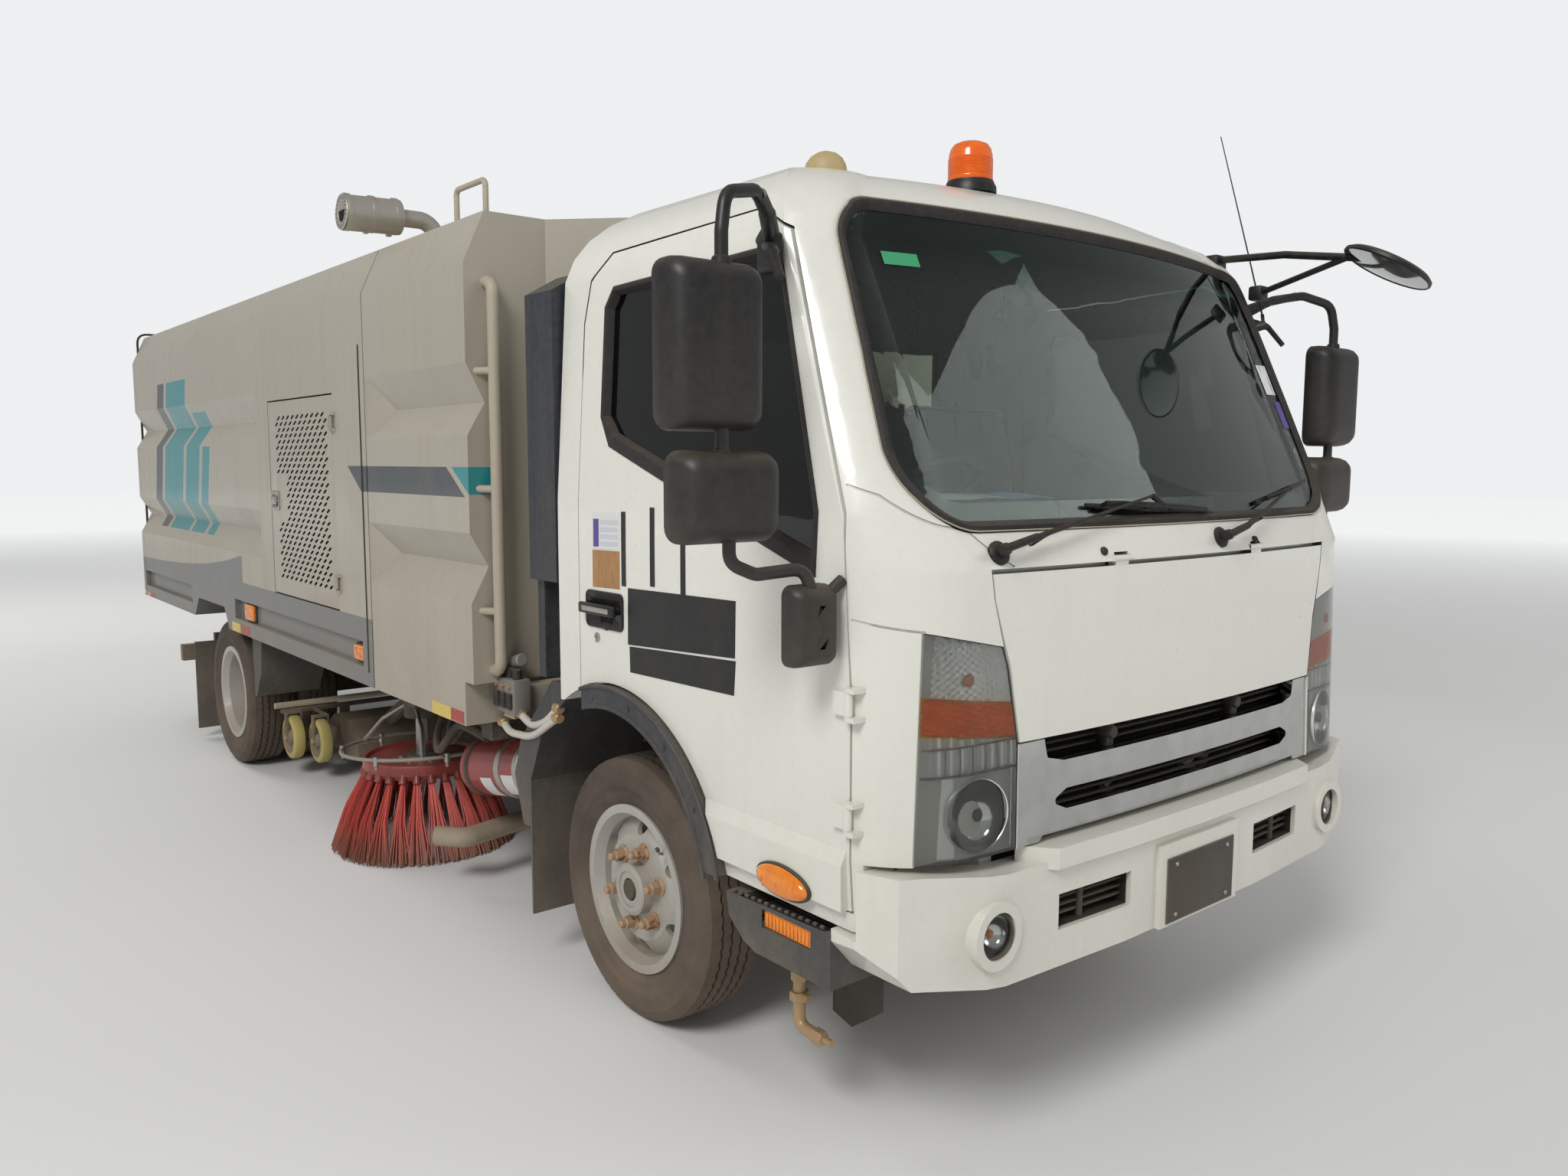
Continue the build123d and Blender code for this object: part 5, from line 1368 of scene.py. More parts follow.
def bumper_pieces():
    tree = tree_of("front_bumper")
    form = Form()
    for side in (right, left):
        # Painted shade: a near-black tray lines each opening, from just behind the face to its closed back,
        # and stands in for the shade inside it
        front = []
        count = 10
        for i in range(count + 1):
            y = side * (0.2815 + 0.252 * i / count)
            front.append((on_front(tree, y, 0.655)[0].x - 0.012, y))
        rings = []
        for back in (0.0, 0.048):
            low_edge = [vec(x - back, y, 0.5535) for x, y in front]
            high_edge = [vec(x - back, y, 0.6325) for x, y in reversed(front)]
            rings.append(low_edge + high_edge)
        form.rings(rings, 1, close_ends=False)
        last = len(front)
        form.add(rings[1], [(i, i + 1, 2 * last - 2 - i, 2 * last - 1 - i) for i in range(last - 1)], 1)
        for z in (0.574, 0.593, 0.612):
            run = [vec(x - 0.02, y, z) for x, y in front]
            form.pipe(run, 0.0065, 0.0, 8, 0, squash=0.55)
        form.rod(vec(front[6][0] - 0.016, front[6][1], 0.554), vec(front[6][0] - 0.016, front[6][1], 0.632),
            0.009, 12, 0)
    form.make("bumper_grilles", "slat_black deep_black")
    for name, side in both_sides:
        form = Form()
        at = spot(1.162, side * 0.737, 0.59)
        place = facing(at, (1, side * 0.16, 0))
        form.turned([(0.03, 0.051), (0.022, 0.046), (0.01, 0.034), (0.0, 0.012), (0.0, 0.002)], place, 40, 1,
            ends=False)
        form.turned([(0.028, 0.0505), (0.034, 0.0505), (0.0375, 0.04), (0.04, 0.02), (0.0405, 0.001)], place,
            40, 0, ends=False)
        form.turned([(0.0, 0.009), (0.014, 0.009), (0.017, 0.005)], place, 16, 2)
        form.turned([(-0.01, 0.0518), (0.04, 0.0518), (0.043, 0.049), (0.04, 0.0465), (-0.01, 0.0465)], place,
            40, 3, ends=False)
        form.make("fog_lamp_" + name, "lamp_clear chrome lamp_amber black_plastic", "cab", "lamp_glass")
    form = Form()
    face = on_front(tree, 0.0, 0.6)[0].x
    form.box((face + 0.0006, -0.15, 0.4735), (face + 0.0032, 0.15, 0.6365), 0.0006, 0)
    form.box((face + 0.003, -0.1465, 0.477), (face + 0.0042, 0.1465, 0.633), 0.0004, 1)
    for y in (-0.115, 0.115):
        for z in (0.492, 0.618):
            form.turned([(0, 0.006), (0.0025, 0.0055), (0.0035, 0.002)],
                facing(vec(face + 0.004, y, z), (1, 0, 0)), 12, 2)
    form.make("number_plate", "plate_edge plate_black bright_steel")
    form = Form()
    for side in (right, left):
        for y in (0.7, 0.77, 0.84, 0.91):
            at = spot(1.108 - 0.25 * max(y - 0.76, 0), side * y, 0.7445)
            form.turned([(0, 0.008), (0.003, 0.0075), (0.004, 0.003)], facing(at, (1, 0, 0)), 10)
    form.make("bumper_bolts", "bolt_black")


class SWEEPER_OT_front_fittings(bpy.types.Operator):
    """Slats and latches behind the grille, bumper openings, fog lamps and the blank plate"""
    bl_idname = "sweeper.front_fittings"
    bl_label = "Front fittings"

    def execute(self, context):
        grille_slats()
        bumper_pieces()
        return {"FINISHED"}


def mirror_housing(form, faces, low, high, corner):
    """A shell with a bulging front, round corners and a lip round the glass at its rear."""
    low, high = Vector(low), Vector(high)
    middle_point = (low + high) / 2
    width, height, deep = high.y - low.y, high.z - low.z, high.x - low.x
    # share of the depth from the rear, and how much the outline shrinks there
    stations = [(0.02, 0.008), (0.0, 0.003), (0.05, 0.0), (0.3, 0.0), (0.55, 0.003), (0.75, 0.01),
        (0.9, 0.022), (0.98, 0.04), (1.0, 0.062)]
    rings = []
    for share, draw in stations:
        outline = rectangle(width - 2 * draw, height - 2 * draw, max(corner - draw * 0.35, 0.012), 6)
        rings.append([spot(low.x + deep * share, middle_point.y + u, middle_point.z + v) for u, v in outline])
    form.rings(rings, 0)
    outline = rectangle(width - 0.02, height - 0.02, corner - 0.006, 6)
    rear = low.x + deep * 0.018
    faces.rings([[spot(rear - d, middle_point.y + u * s, middle_point.z + v * s) for u, v in outline]
        for d, s in ((-0.001, 1.0), (0.001, 1.0), (0.0014, 0.985))], 0)


def roof_pieces():
    skin = tree_of("cab_shell")

    def roof_point(x, y):
        return skin.ray_cast(spot(x, y, 3), vec(0, 0, -1))[0]
    form = Form()
    # Beacon with a ribbed orange dome
    foot = roof_point(0.66, -0.255)
    place = facing(foot, (0, 0, 1))
    form.turned([(-0.006, 0.068), (0.012, 0.067), (0.02, 0.062), (0.026, 0.06)], place, 40, 0)
    top = 2.402 - foot.z
    dome = [(0.026, 0.0565), (0.034, 0.058)]
    ribs = 12
    for i in range(ribs):
        z = 0.036 + (top - 0.078) * i / ribs
        dome += [(z, 0.0575), (z + 0.003, 0.0562)]
    dome += [(top - 0.034, 0.0555), (top - 0.02, 0.052), (top - 0.009, 0.044), (top - 0.003, 0.03),
        (top, 0.012), (top, 0.001)]
    form.turned(dome, place, 48, 1)
    # Small beige dome
    form.turned([(-0.018, 0.052), (0.006, 0.05), (0.022, 0.044), (0.035, 0.031), (0.042, 0.014),
        (0.043, 0.001)], facing(roof_point(0.6, -0.7), (-0.05, -0.15, 1)), 36, 2)
    # Aerial on its foot
    form.pipe(spots((0.852, 0.908, 2.01), (0.79, 0.912, 2.22), (0.673, 0.914, 2.617)),
        lambda t: 0.0032 - 0.0016 * t, 0.0, 8, 3)
    form.rod(spot(0.812, 0.888, 2.0), spot(0.854, 0.914, 2.014), 0.013, 18, 3, 0.003)
    form.rod(spot(0.85, 0.906, 2.004), spot(0.842, 0.909, 2.046), 0.0055, 12, 3)
    # Round mirror on two arms
    form.pipe(spots((0.735, 0.8, 2.212), (0.96, 0.8, 2.2), (1.225, 0.8, 2.155)), 0.011, 0.06, 12, 3)
    form.pipe(spots((0.858, 0.85, 2.102), (1.15, 0.8, 2.168)), 0.009, 0.0, 12, 3)
    form.box(spot(0.7, 0.77, 2.18), spot(0.762, 0.83, 2.226), 0.008, 3)
    form.box(spot(0.832, 0.832, 2.082), spot(0.876, 0.88, 2.126), 0.008, 3)
    disc = facing(spot(1.262, 0.8, 2.13), (-0.45, -0.3, -1), (0, 0, 1))
    form.turned([(-0.013, 0.02), (-0.0125, 0.075), (-0.008, 0.112), (0.0, 0.1235), (0.008, 0.1245),
        (0.0115, 0.1215), (0.0095, 0.1175)], disc, 56, 3, ends=False)
    form.turned([(-0.013, 0.021), (-0.02, 0.019), (-0.024, 0.012)], disc, 24, 3)
    form.turned([(0.0095, 0.118), (0.0108, 0.095), (0.0122, 0.06), (0.0128, 0.025), (0.0129, 0.001)], disc,
        56, 4, ends=False)
    form.make("roof_lamps_and_mirror", "mirror_black beacon_orange old_beige arm_black mirror_glass", "cab",
        "black_plastic", ["roof_fittings"], 30)


class SWEEPER_OT_mirrors(bpy.types.Operator):
    """Door mirrors on bent arms, and the round mirror and lamps on the roof"""
    bl_idname = "sweeper.mirrors"
    bl_label = "Mirrors"

    def execute(self, context):
        form, faces = Form(), Form()
        # low and high corners of each housing on the right, as (x, y, z), and its corner radius
        table = [((0.866, -1.371, 1.642), (0.958, -1.149, 1.965), 0.034),
            ((0.866, -1.348, 1.424), (0.962, -1.109, 1.606), 0.034),
            ((0.945, -1.12, 1.17), (1.008, -1.0, 1.338), 0.022)]
        for low, high, corner in table:
            mirror_housing(form, faces, low, high, corner)
        arm = [(0.725, -0.972, 2.048), (0.8, -1.04, 2.105), (0.862, -1.12, 2.12), (0.905, -1.225, 2.095),
            (0.912, -1.24, 2.02), (0.912, -1.24, 1.94)]
        form.pipe([spot(*p) for p in arm], 0.0135, 0.05, 14)
        form.pipe(spots((0.912, -1.24, 1.66), (0.912, -1.24, 1.59)), 0.0135, 0.0, 14)
        form.pipe(spots((0.914, -1.225, 1.44), (0.914, -1.225, 1.385), (0.935, -1.175, 1.362),
            (0.968, -1.075, 1.372), (0.978, -1.06, 1.3)), 0.0135, 0.035, 14)
        form.pipe(spots((0.978, -1.03, 1.312), (0.984, -0.9875, 1.345)), 0.0125, 0.0, 12)
        # Hinged foot on the roof pillar, with its cover
        form.box(spot(0.695, -0.988, 1.99), spot(0.757, -0.954, 2.076), 0.011, steps=3)
        form.pipe(spots((0.7, -0.965, 2.062), (0.745, -0.985, 2.075), (0.795, -1.035, 2.1),
            (0.85, -1.1, 2.118)), lambda t: 0.021 - 0.005 * t, 0.03, 14, squash=0.8)
        form.pipe(spots((0.74, -0.985, 2.045), (0.8, -1.025, 2.02), (0.845, -1.04, 1.96)),
            lambda t: 0.017 - 0.006 * t, 0.03, 12, squash=0.7)
        for z in (1.953, 1.588):
            form.turned([(0, 0.02), (0.016, 0.019), (0.02, 0.015)], facing(spot(0.912, -1.24, z), (0, 0, 1)),
                20)
        for name, side in both_sides:
            if side == left:
                form, faces = form.mirrored(), faces.mirrored()
            form.make("mirror_" + name, "mirror_black", name + "_door", "black_plastic", ["mirrors_" + name],
                38)
            faces.make("mirror_glass_" + name, "mirror_glass", name + "_door", "chrome_trim")
        roof_pieces()
        return {"FINISHED"}


def door_handle(form, tree, side):
    base, out = on_side(tree, 0.04, 1.187, side)
    place = facing(base, out)
    turn = 1 if side == right else -1
    form.plates(rectangle(0.19, 0.102, 0.018, 5), ((0.0004, 0), (0.005, 0.001), (0.0065, 0.005),
        (0.0045, 0.01), (0.0012, 0.02)), 0, place)
    # Grip bar over the recess, with a pale line along it
    form.box((-0.098, -0.012, 0.012), (0.08, 0.018, 0.028), 0.006, 0, place @ Matrix.Scale(turn, 4,
        (1, 0, 0)), 3)
    form.box((-0.075, -0.004, 0.026), (0.06, 0.01, 0.0295), 0.0012, 1, place @ Matrix.Scale(turn, 4,
        (1, 0, 0)))
    for x in (-0.088, 0.068):
        form.rod(place @ vec(turn * x, 0.003, 0.001), place @ vec(turn * x, 0.003, 0.016), 0.01, 14, 0)
    # Painted shade: a near-black disc low in the recess stands in for the shade in the pocket under the grip
    form.turned([(0.0015, 0.032), (0.004, 0.028), (0.002, 0.022)],
        place @ Matrix.Translation((0.008 * turn, -0.022, 0)), 28, 2)
    lock, out = on_side(tree, -0.001, 1.109, side)
    form.turned([(0, 0.0135), (0.0035, 0.013), (0.005, 0.01), (0.0035, 0.0085)], facing(lock, out), 24, 1)
    # Painted shade: a near-black sliver stands in for the shaded key slot of the lock
    form.box((-0.0012, -0.005, 0.003), (0.0012, 0.005, 0.0042), 0, 2, facing(lock, out))


def side_repeater(form, tree, side):
    base, out = on_side(tree, 0.815, 0.66, side)
    place = facing(base, out)
    for mark, wide, high, steps in ((1, 0.092, 0.038, ((0.0, 1.0), (0.006, 1.0), (0.008, 0.97))),
            (0, 0.088, 0.034, ((0.004, 1.0), (0.013, 0.96), (0.019, 0.86), (0.023, 0.68),
            (0.025, 0.42), (0.0255, 0.1)))):
        rings = []
        for rise, share in steps:
            rings.append([vec(wide * share * cos(a), high * share * sin(a), rise) for a in circle(40)])
        form.rings(rings, mark, place=place @ Matrix.Rotation(radians(-3), 4, "Z"))
    for i in range(7):
        x = (i - 3) * 0.018
        top = 0.034 * sqrt(max(0.0, 1 - (x / 0.088) ** 2)) * 0.75
        form.pipe([place @ vec(x, -top, 0.0195), place @ vec(x, 0, 0.0252), place @ vec(x, top, 0.0195)],
            0.0016, 0.01, 6, 0)


class SWEEPER_OT_doors(bpy.types.Operator):
    """Door handles, locks, marker lamps, blank boards and strips"""
    bl_idname = "sweeper.doors"
    bl_label = "Doors"

    def execute(self, context):
        for name, side in both_sides:
            tree = tree_of("door_" + name)
            form = Form()
            door_handle(form, tree, side)
            form.make("door_handle_" + name, "handle_black bright_steel deep_black",
                name + "_door", angle=40)
            form = Form()
            side_repeater(form, tree, side)
            form.make("side_repeater_" + name, "lamp_amber black_plastic", name + "_door")
            form = Form()
            # corners low rear, low front, high front, high rear
            for corners in (((0.155, 1.108), (0.617, 1.132), (0.62, 1.266), (0.158, 1.257)),
                    ((0.165, 1.036), (0.613, 1.044), (0.62, 1.126), (0.163, 1.104))):
                decal(form, tree, corners, side, 0.0012, 0, 2, 4)
            for x, low, high in ((0.127, 1.26, 1.455), (0.263, 1.27, 1.47), (0.398, 1.262, 1.45)):
                decal(form, tree, ((x, low), (x + 0.021, low), (x + 0.021, high), (x, high)), side, 0.001, 0,
                    3, 1)
            decal(form, tree, ((-0.02, 1.35), (0.117, 1.354), (0.117, 1.454), (-0.02, 1.45)), side, 0.0011, 1,
                1, 2)
            decal(form, tree, ((-0.014, 1.356), (0.014, 1.357), (0.014, 1.432), (-0.014, 1.431)), side,
                0.0015, 2)
            for row in range(4):
                z = 1.36 + 0.019 * row
                decal(form, tree, ((0.022, z), (0.11, z + 0.002), (0.11, z + 0.014), (0.022, z + 0.012)),
                    side, 0.0015, 4)
            decal(form, tree, ((-0.021, 1.246), (0.117, 1.25), (0.118, 1.35), (-0.02, 1.347)), side, 0.0009,
                3, 1, 2)
            form.make("door_boards_" + name,
                "board_black label_white label_violet brown_tape label_grey", name + "_door")
        return {"FINISHED"}


class SWEEPER_OT_steps(bpy.types.Operator):
    """Step treads, step lamps and the fittings that hang under the right step"""
    bl_idname = "sweeper.steps"
    bl_label = "Steps"

    def execute(self, context):
        for name, side in both_sides:
            form = Form()
            low_x, high_x, outer, top = 0.648, 0.932, 0.98, 0.5352
            for i in range(9):
                y = outer - 0.012 - i * 0.015
                form.box(spot(low_x, side * y, top), spot(high_x, side * (y - 0.006), top + 0.007), 0.0015)
            for i in range(14):
                x = 0.612 + 0.024 * i
                form.box(spot(x, side * 0.984, 0.5752 + 0.0008 * i),
                    spot(x + 0.012, side * 0.9915, 0.5812 + 0.0008 * i), 0.001)
            form.make("step_tread_" + name, "guard_plastic")
            form = Form()
            form.box(spot(0.728, side * 0.9865, 0.525), spot(0.892, side * 0.981, 0.565), 0.002, 0)
            for i in range(12):
                x = 0.736 + 0.0128 * i
                form.box(spot(x, side * 0.9865, 0.529), spot(x + 0.008, side * 0.9888, 0.561), 0.0008, 0)
            form.make("step_lamp_" + name, "lamp_amber")
        form = Form()
        # Brass elbow that hangs from the step, and a black plate bracket beside it
        form.pipe(spots((0.693, -0.85, 0.47), (0.693, -0.85, 0.385)), 0.009, 0.0, 12, 1)
        form.turned([(0, 0.021), (0.034, 0.021)], facing(spot(0.693, -0.85, 0.345), (0, 0, 1)), 6, 0)
        form.turned([(0, 0.024), (0.022, 0.024)], facing(spot(0.693, -0.85, 0.296), (0, 0, 1)), 6, 0)
        form.pipe(spots((0.693, -0.85, 0.37), (0.693, -0.85, 0.232), (0.762, -0.85, 0.228)), 0.0155, 0.03, 16,
            0)
        form.turned([(0, 0.02), (0.026, 0.02), (0.031, 0.013)], facing(spot(0.752, -0.85, 0.2285),
            (1, 0, 0.02)), 6, 0)
        form.turned([(0, 0.009), (0.03, 0.009)], facing(spot(0.782, -0.85, 0.229), (1, 0, 0.02)), 12, 0)
        form.rod(spot(0.7, -0.85, 0.309), spot(0.727, -0.85, 0.309), 0.01, 10, 0, 0.002)
        form.make("brass_elbow", "old_brass bright_steel", "cab", "piston_steel")
        form = Form()
        outline = [(0.76, 0.279), (0.827, 0.262), (0.926, 0.334), (0.926, 0.4553), (0.762, 0.4553)]
        form.rings([[spot(x, y, z) for x, z in outline] for y in (-0.802, -0.797)], 0)
        form.make("plate_bracket", "plate_black_steel")
        return {"FINISHED"}


class SWEEPER_OT_arch_edges(bpy.types.Operator):
    """Rolled lips and screws on the front wheel arch trims"""
    bl_idname = "sweeper.arch_edges"
    bl_label = "Arch edges"

    def execute(self, context):
        arch_x, arch_z, radius = 0.08, 0.48, 0.505
        for name, side in both_sides:
            form = Form()
            for r, size in ((radius - 0.004, 0.006), (radius - 0.058, 0.0055)):
                run = []
                for i in range(41):
                    a = radians(107 - 94 * i / 40)
                    run.append(spot(arch_x + r * cos(a), side * 1.0046, arch_z + r * sin(a)))
                form.pipe(run, size, 0.0, 8)
            for degrees in (100, 78, 56, 34):
                a = radians(degrees)
                at = spot(arch_x + 0.472 * cos(a), side * 1.004, arch_z + 0.472 * sin(a))
                form.turned([(0, 0.009), (0.003, 0.0085), (0.0045, 0.004)], facing(at, (0, side, 0)), 16)
            form.make("arch_edge_" + name, "guard_plastic")
        return {"FINISHED"}


# Body
class SWEEPER_OT_engine_doors(bpy.types.Operator):
    """Engine doors with rows of slanted slots, their latches and hinges"""
    bl_idname = "sweeper.engine_doors"
    bl_label = "Engine doors"

    def execute(self, context):
        for name, side in both_sides:
            node = "engine_door_" + name
            self.side = side
            self.face = abs(on_side(tree_of(node), -2.66, 1.1, side)[0].y)
            sheet = [v.co for v in nodes[node].data.vertices if abs(abs(v.co.y) - self.face) < 0.001]
            low = vec(min(p.x for p in sheet), 0, min(p.z for p in sheet))
            high = vec(max(p.x for p in sheet), 0, max(p.z for p in sheet))
            form = Form()
            self.panel(form, low, high)
            form.make("engine_door_panel_" + name, "body_paint deep_black",
                name + "_engine_door", "body_paint", [node], 25)
            form = Form()
            self.fittings(form, low, high)
            form.make("engine_door_latch_" + name, "bright_steel black_plastic body_paint",
                name + "_engine_door", "chrome_trim", angle=40)
        return {"FINISHED"}

    def at(self, x, z, depth=0.0):
        return vec(x, self.side * (self.face - depth), z)

    def panel(self, form, low, high):
        """A sheet with real openings: cells of 62 by 25 mm, each with a leaning slot or a plain face."""
        pitch, row = 0.0624, 0.0252
        left_x, low_z = axle_x - 2.585, 1.074
        columns, rows = 11, 28
        half_w, half_h = sizes().slot_width / 2, sizes().slot_height / 2
        slot_shape = ((-1, -0.72), (-0.3, -0.98), (1, 0.42), (1, 0.72), (0.3, 0.98), (-1, -0.42))
        grid = {}

        def corner(i, j):
            key = (i, j)
            if key not in grid:
                grid[key] = len(points)
                points.append(self.at(left_x + i * pitch / 2, low_z + j * row))
            return grid[key]
        points, faces = [], []
        for j in range(rows):
            for i in range(columns * 2 - 1):
                if (i + j) % 2:
                    continue
                ring = [corner(i, j), corner(i + 1, j), corner(i + 2, j), corner(i + 2, j + 1),
                    corner(i + 1, j + 1), corner(i, j + 1)]
                # The plain patch under the latch
                if i < 4 and 10 <= j <= 17:
                    faces.append(ring)
                    continue
                cx, cz = left_x + (i + 1) * pitch / 2, low_z + (j + 0.5) * row
                hole, deep = [], []
                for ring_of, depth in ((hole, 0), (deep, 0.002)):
                    for u, v in slot_shape:
                        ring_of.append(len(points))
                        points.append(self.at(cx + u * half_w, cz + v * half_h, depth))
                for a in range(6):
                    b = (a + 1) % 6
                    faces.append((ring[a], ring[b], hole[b], hole[a]))
                    faces.append((hole[a], hole[b], deep[b], deep[a]))
        for j in range(rows):
            # Half cells that even out the staggered rows' ends
            if j % 2:
                faces.append((corner(0, j), corner(1, j), corner(1, j + 1), corner(0, j + 1)))
                last = columns * 2
                faces.append((corner(last - 1, j), corner(last, j), corner(last, j + 1),
                    corner(last - 1, j + 1)))
        form.add(points, faces)
        right_x, high_z = left_x + columns * pitch, low_z + rows * row
        # Plain margin from the slotted field out to the door's edge, and the lip turned in behind it
        field = [(left_x, low_z), (right_x, low_z), (right_x, high_z), (left_x, high_z)]
        edge = [(low.x, low.z), (high.x, low.z), (high.x, high.z), (low.x, high.z)]
        inner = [self.at(x, z) for x, z in field]

        def drawn(by, depth=0.0):
            return [self.at(x + (by if x < axle_x - 2.2 else -by), z + (by if z < 1.4 else -by),
                depth) for x, z in edge]
        rim, rounding, lip = drawn(0.006), drawn(0.002, 0.0015), drawn(0, 0.006)
        back, turned_in = drawn(0, 0.042), drawn(0.022, 0.042)
        form.rings([inner, rim, rounding, lip, back, turned_in], 0, close_ends=False)
        # Painted shade: a near-black sheet behind the slots, clear of the engine, stands in for the shade
        # inside the engine bay
        painted_shade_sheet = [self.at(x, z, 0.03) for x, z in field]
        form.add(painted_shade_sheet, [(0, 1, 2, 3)], 1)

    def fittings(self, form, low, high):
        side = self.side
        # Paddle latch with its plate
        x0, x1, z0, z1 = axle_x - 2.662, axle_x - 2.552, 1.373, 1.455
        face = self.face
        centre = vec((x0 + x1) / 2, side * face, (z0 + z1) / 2)
        place = facing(centre, (0, side, 0))
        form.plates(rectangle(x1 - x0, z1 - z0, 0.01, 4), ((0, 0), (0.004, 0), (0.006, 0.003), (0.006, 0.01),
            (0.002, 0.015)), 0, place)
        form.box((-0.036, -0.018, 0.002), (0.03, 0.018, 0.011), 0.004, 0, place, 3)
        form.turned([(0.002, 0.009), (0.014, 0.009), (0.016, 0.006)],
            place @ Matrix.Translation((0.034, 0, 0)), 18, 0)
        for u in (-0.047, 0.047):
            for v in (-0.033, 0.033):
                form.turned([(0.005, 0.0035), (0.0075, 0.002)], place @ Matrix.Translation((u, v, 0)), 8, 0)
        # Hinge knuckles on the front edge, over the body's pins
        for z in (low.z + 0.11, high.z - 0.11):
            pin = vec(high.x + 0.002, side * (face + 0.0085), z)
            tube = [(-0.025, 0.0045), (-0.025, 0.009), (-0.024, 0.01), (0.024, 0.01), (0.025, 0.009),
                (0.025, 0.0045)]
            form.turned(tube, facing(pin, (0, 0, 1)), 24, 0, ends=False)
            form.box((high.x - 0.04, side * (face - 0.001), z - 0.025),
                (high.x - 0.004, side * (face + 0.0075), z + 0.025), 0.0015, 2)
            for u in (-0.015, 0.015):
                form.turned([(0, 0.006), (0.003, 0.005), (0.004, 0.001)],
                    facing(vec(high.x - 0.024, side * (face + 0.0075), z + u), (0, side, 0)), 12, 0)


def tape_strip(form, tree, x0, x1, z0, z1, side, mark):
    low_z = z0
    while any(tree.ray_cast(spot(x, side * 3, low_z), vec(0, -side, 0))[0] is None for x in (x0, x1)):
        low_z += 0.004
        if low_z > z1:
            raise ValueError(f"no side surface for a tape at x {x0:.3f}, z {z0:.3f}")
    low_z += 0.001
    decal(form, tree, ((x0, low_z), (x1, low_z), (x1, z1), (x0, z1)), side, 0.0009, mark, 1, 4)


def rear_door_pieces():
    low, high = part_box("rear_door")
    form = Form()
    rear = low.x
    for side in (right, left):
        for z in (high.z - 0.35, (low.z + high.z) / 2, low.z + 0.25):
            y = side * (high.y - 0.1)
            at = vec(rear - 0.001, y, z)
            form.box(at + vec(-0.014, -0.035, -0.055), at + vec(0.002, 0.035, 0.055), 0.005, 0)
            form.rod(at + vec(-0.022, -0.03, 0), at + vec(-0.022, 0.03, 0), 0.011, 16, 0)
            form.pipe([at + vec(-0.024, 0, 0), at + vec(-0.04, 0, -0.05), at + vec(-0.034, 0, -0.14)],
                0.009, 0.02, 12, 0)
            form.turned([(0, 0.016), (0.006, 0.013), (0.008, 0.004)], facing(at + vec(-0.034, 0, -0.14),
                (-1, 0, 0)), 16, 1)
    form.make("rear_door_latches", "bright_steel black_plastic", "hopper_rear_door", "chrome_trim", angle=40)
    form = Form()
    gap = 0.034
    run = [vec(rear - 0.0005, y, z) for y, z in ((low.y + gap, low.z + gap), (high.y - gap, low.z + gap),
        (high.y - gap, high.z - gap), (low.y + gap, high.z - gap))]
    form.pipe(rounded(run + run[:2], 0.06)[4:-4], 0.0065, 0.0, 10, 0)
    form.make("rear_door_bead", "rubber", "hopper_rear_door")
    low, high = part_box("rear_bumper")
    form = Form()
    for side in (right, left):
        for y, mark in ((0.851, 1), (0.78, 0), (0.709, 2)):
            at = vec(low.x, side * y, low.z + 0.0475)
            place = facing(at, (-1, 0, 0))
            form.plates(rectangle(0.069, 0.088, 0.012, 4), ((0, 0), (0.006, 0)), 3, place)
            form.plates(rectangle(0.061, 0.08, 0.01, 4), ((0.005, 0), (0.013, 0), (0.016, 0.004)), mark,
                place)
            for i in range(5):
                form.box((-0.025, -0.033 + 0.0155 * i, 0.0155), (0.025, -0.029 + 0.0155 * i, 0.0172), 0.0006,
                    mark, place)
    form.make("rear_lamps", "lamp_red lamp_amber lamp_white black_plastic", "chassis", "lamp_glass")


def body_gasket():
    """The black gasket between the tank and the tipping body, up the sides and over the roof."""
    skin = tree_of("hopper_shell")
    form = Form()
    seam_x, sunk = axle_x - 1.545, 0.004
    run = []
    for side, heights in ((right, (0.8, 1.1, 1.4, 1.7, 2.0)), (left, (2.0, 1.7, 1.4, 1.1, 0.8))):
        for z in heights:
            hit = skin.ray_cast(vec(seam_x, side * 3, z), vec(0, -side, 0))[0]
            if hit:
                run.append(hit + vec(0, -side * sunk, 0))
        if side == right:
            for y in (-0.9, -0.7, -0.4, 0, 0.4, 0.7, 0.9):
                hit = skin.ray_cast(vec(seam_x, y, 4), vec(0, 0, -1))[0]
                if hit:
                    run.append(hit + vec(0, 0, -sunk))
    form.pipe(run, 0.0075, 0.03, 8, 0)
    form.make("body_gasket", "rubber", "hopper")


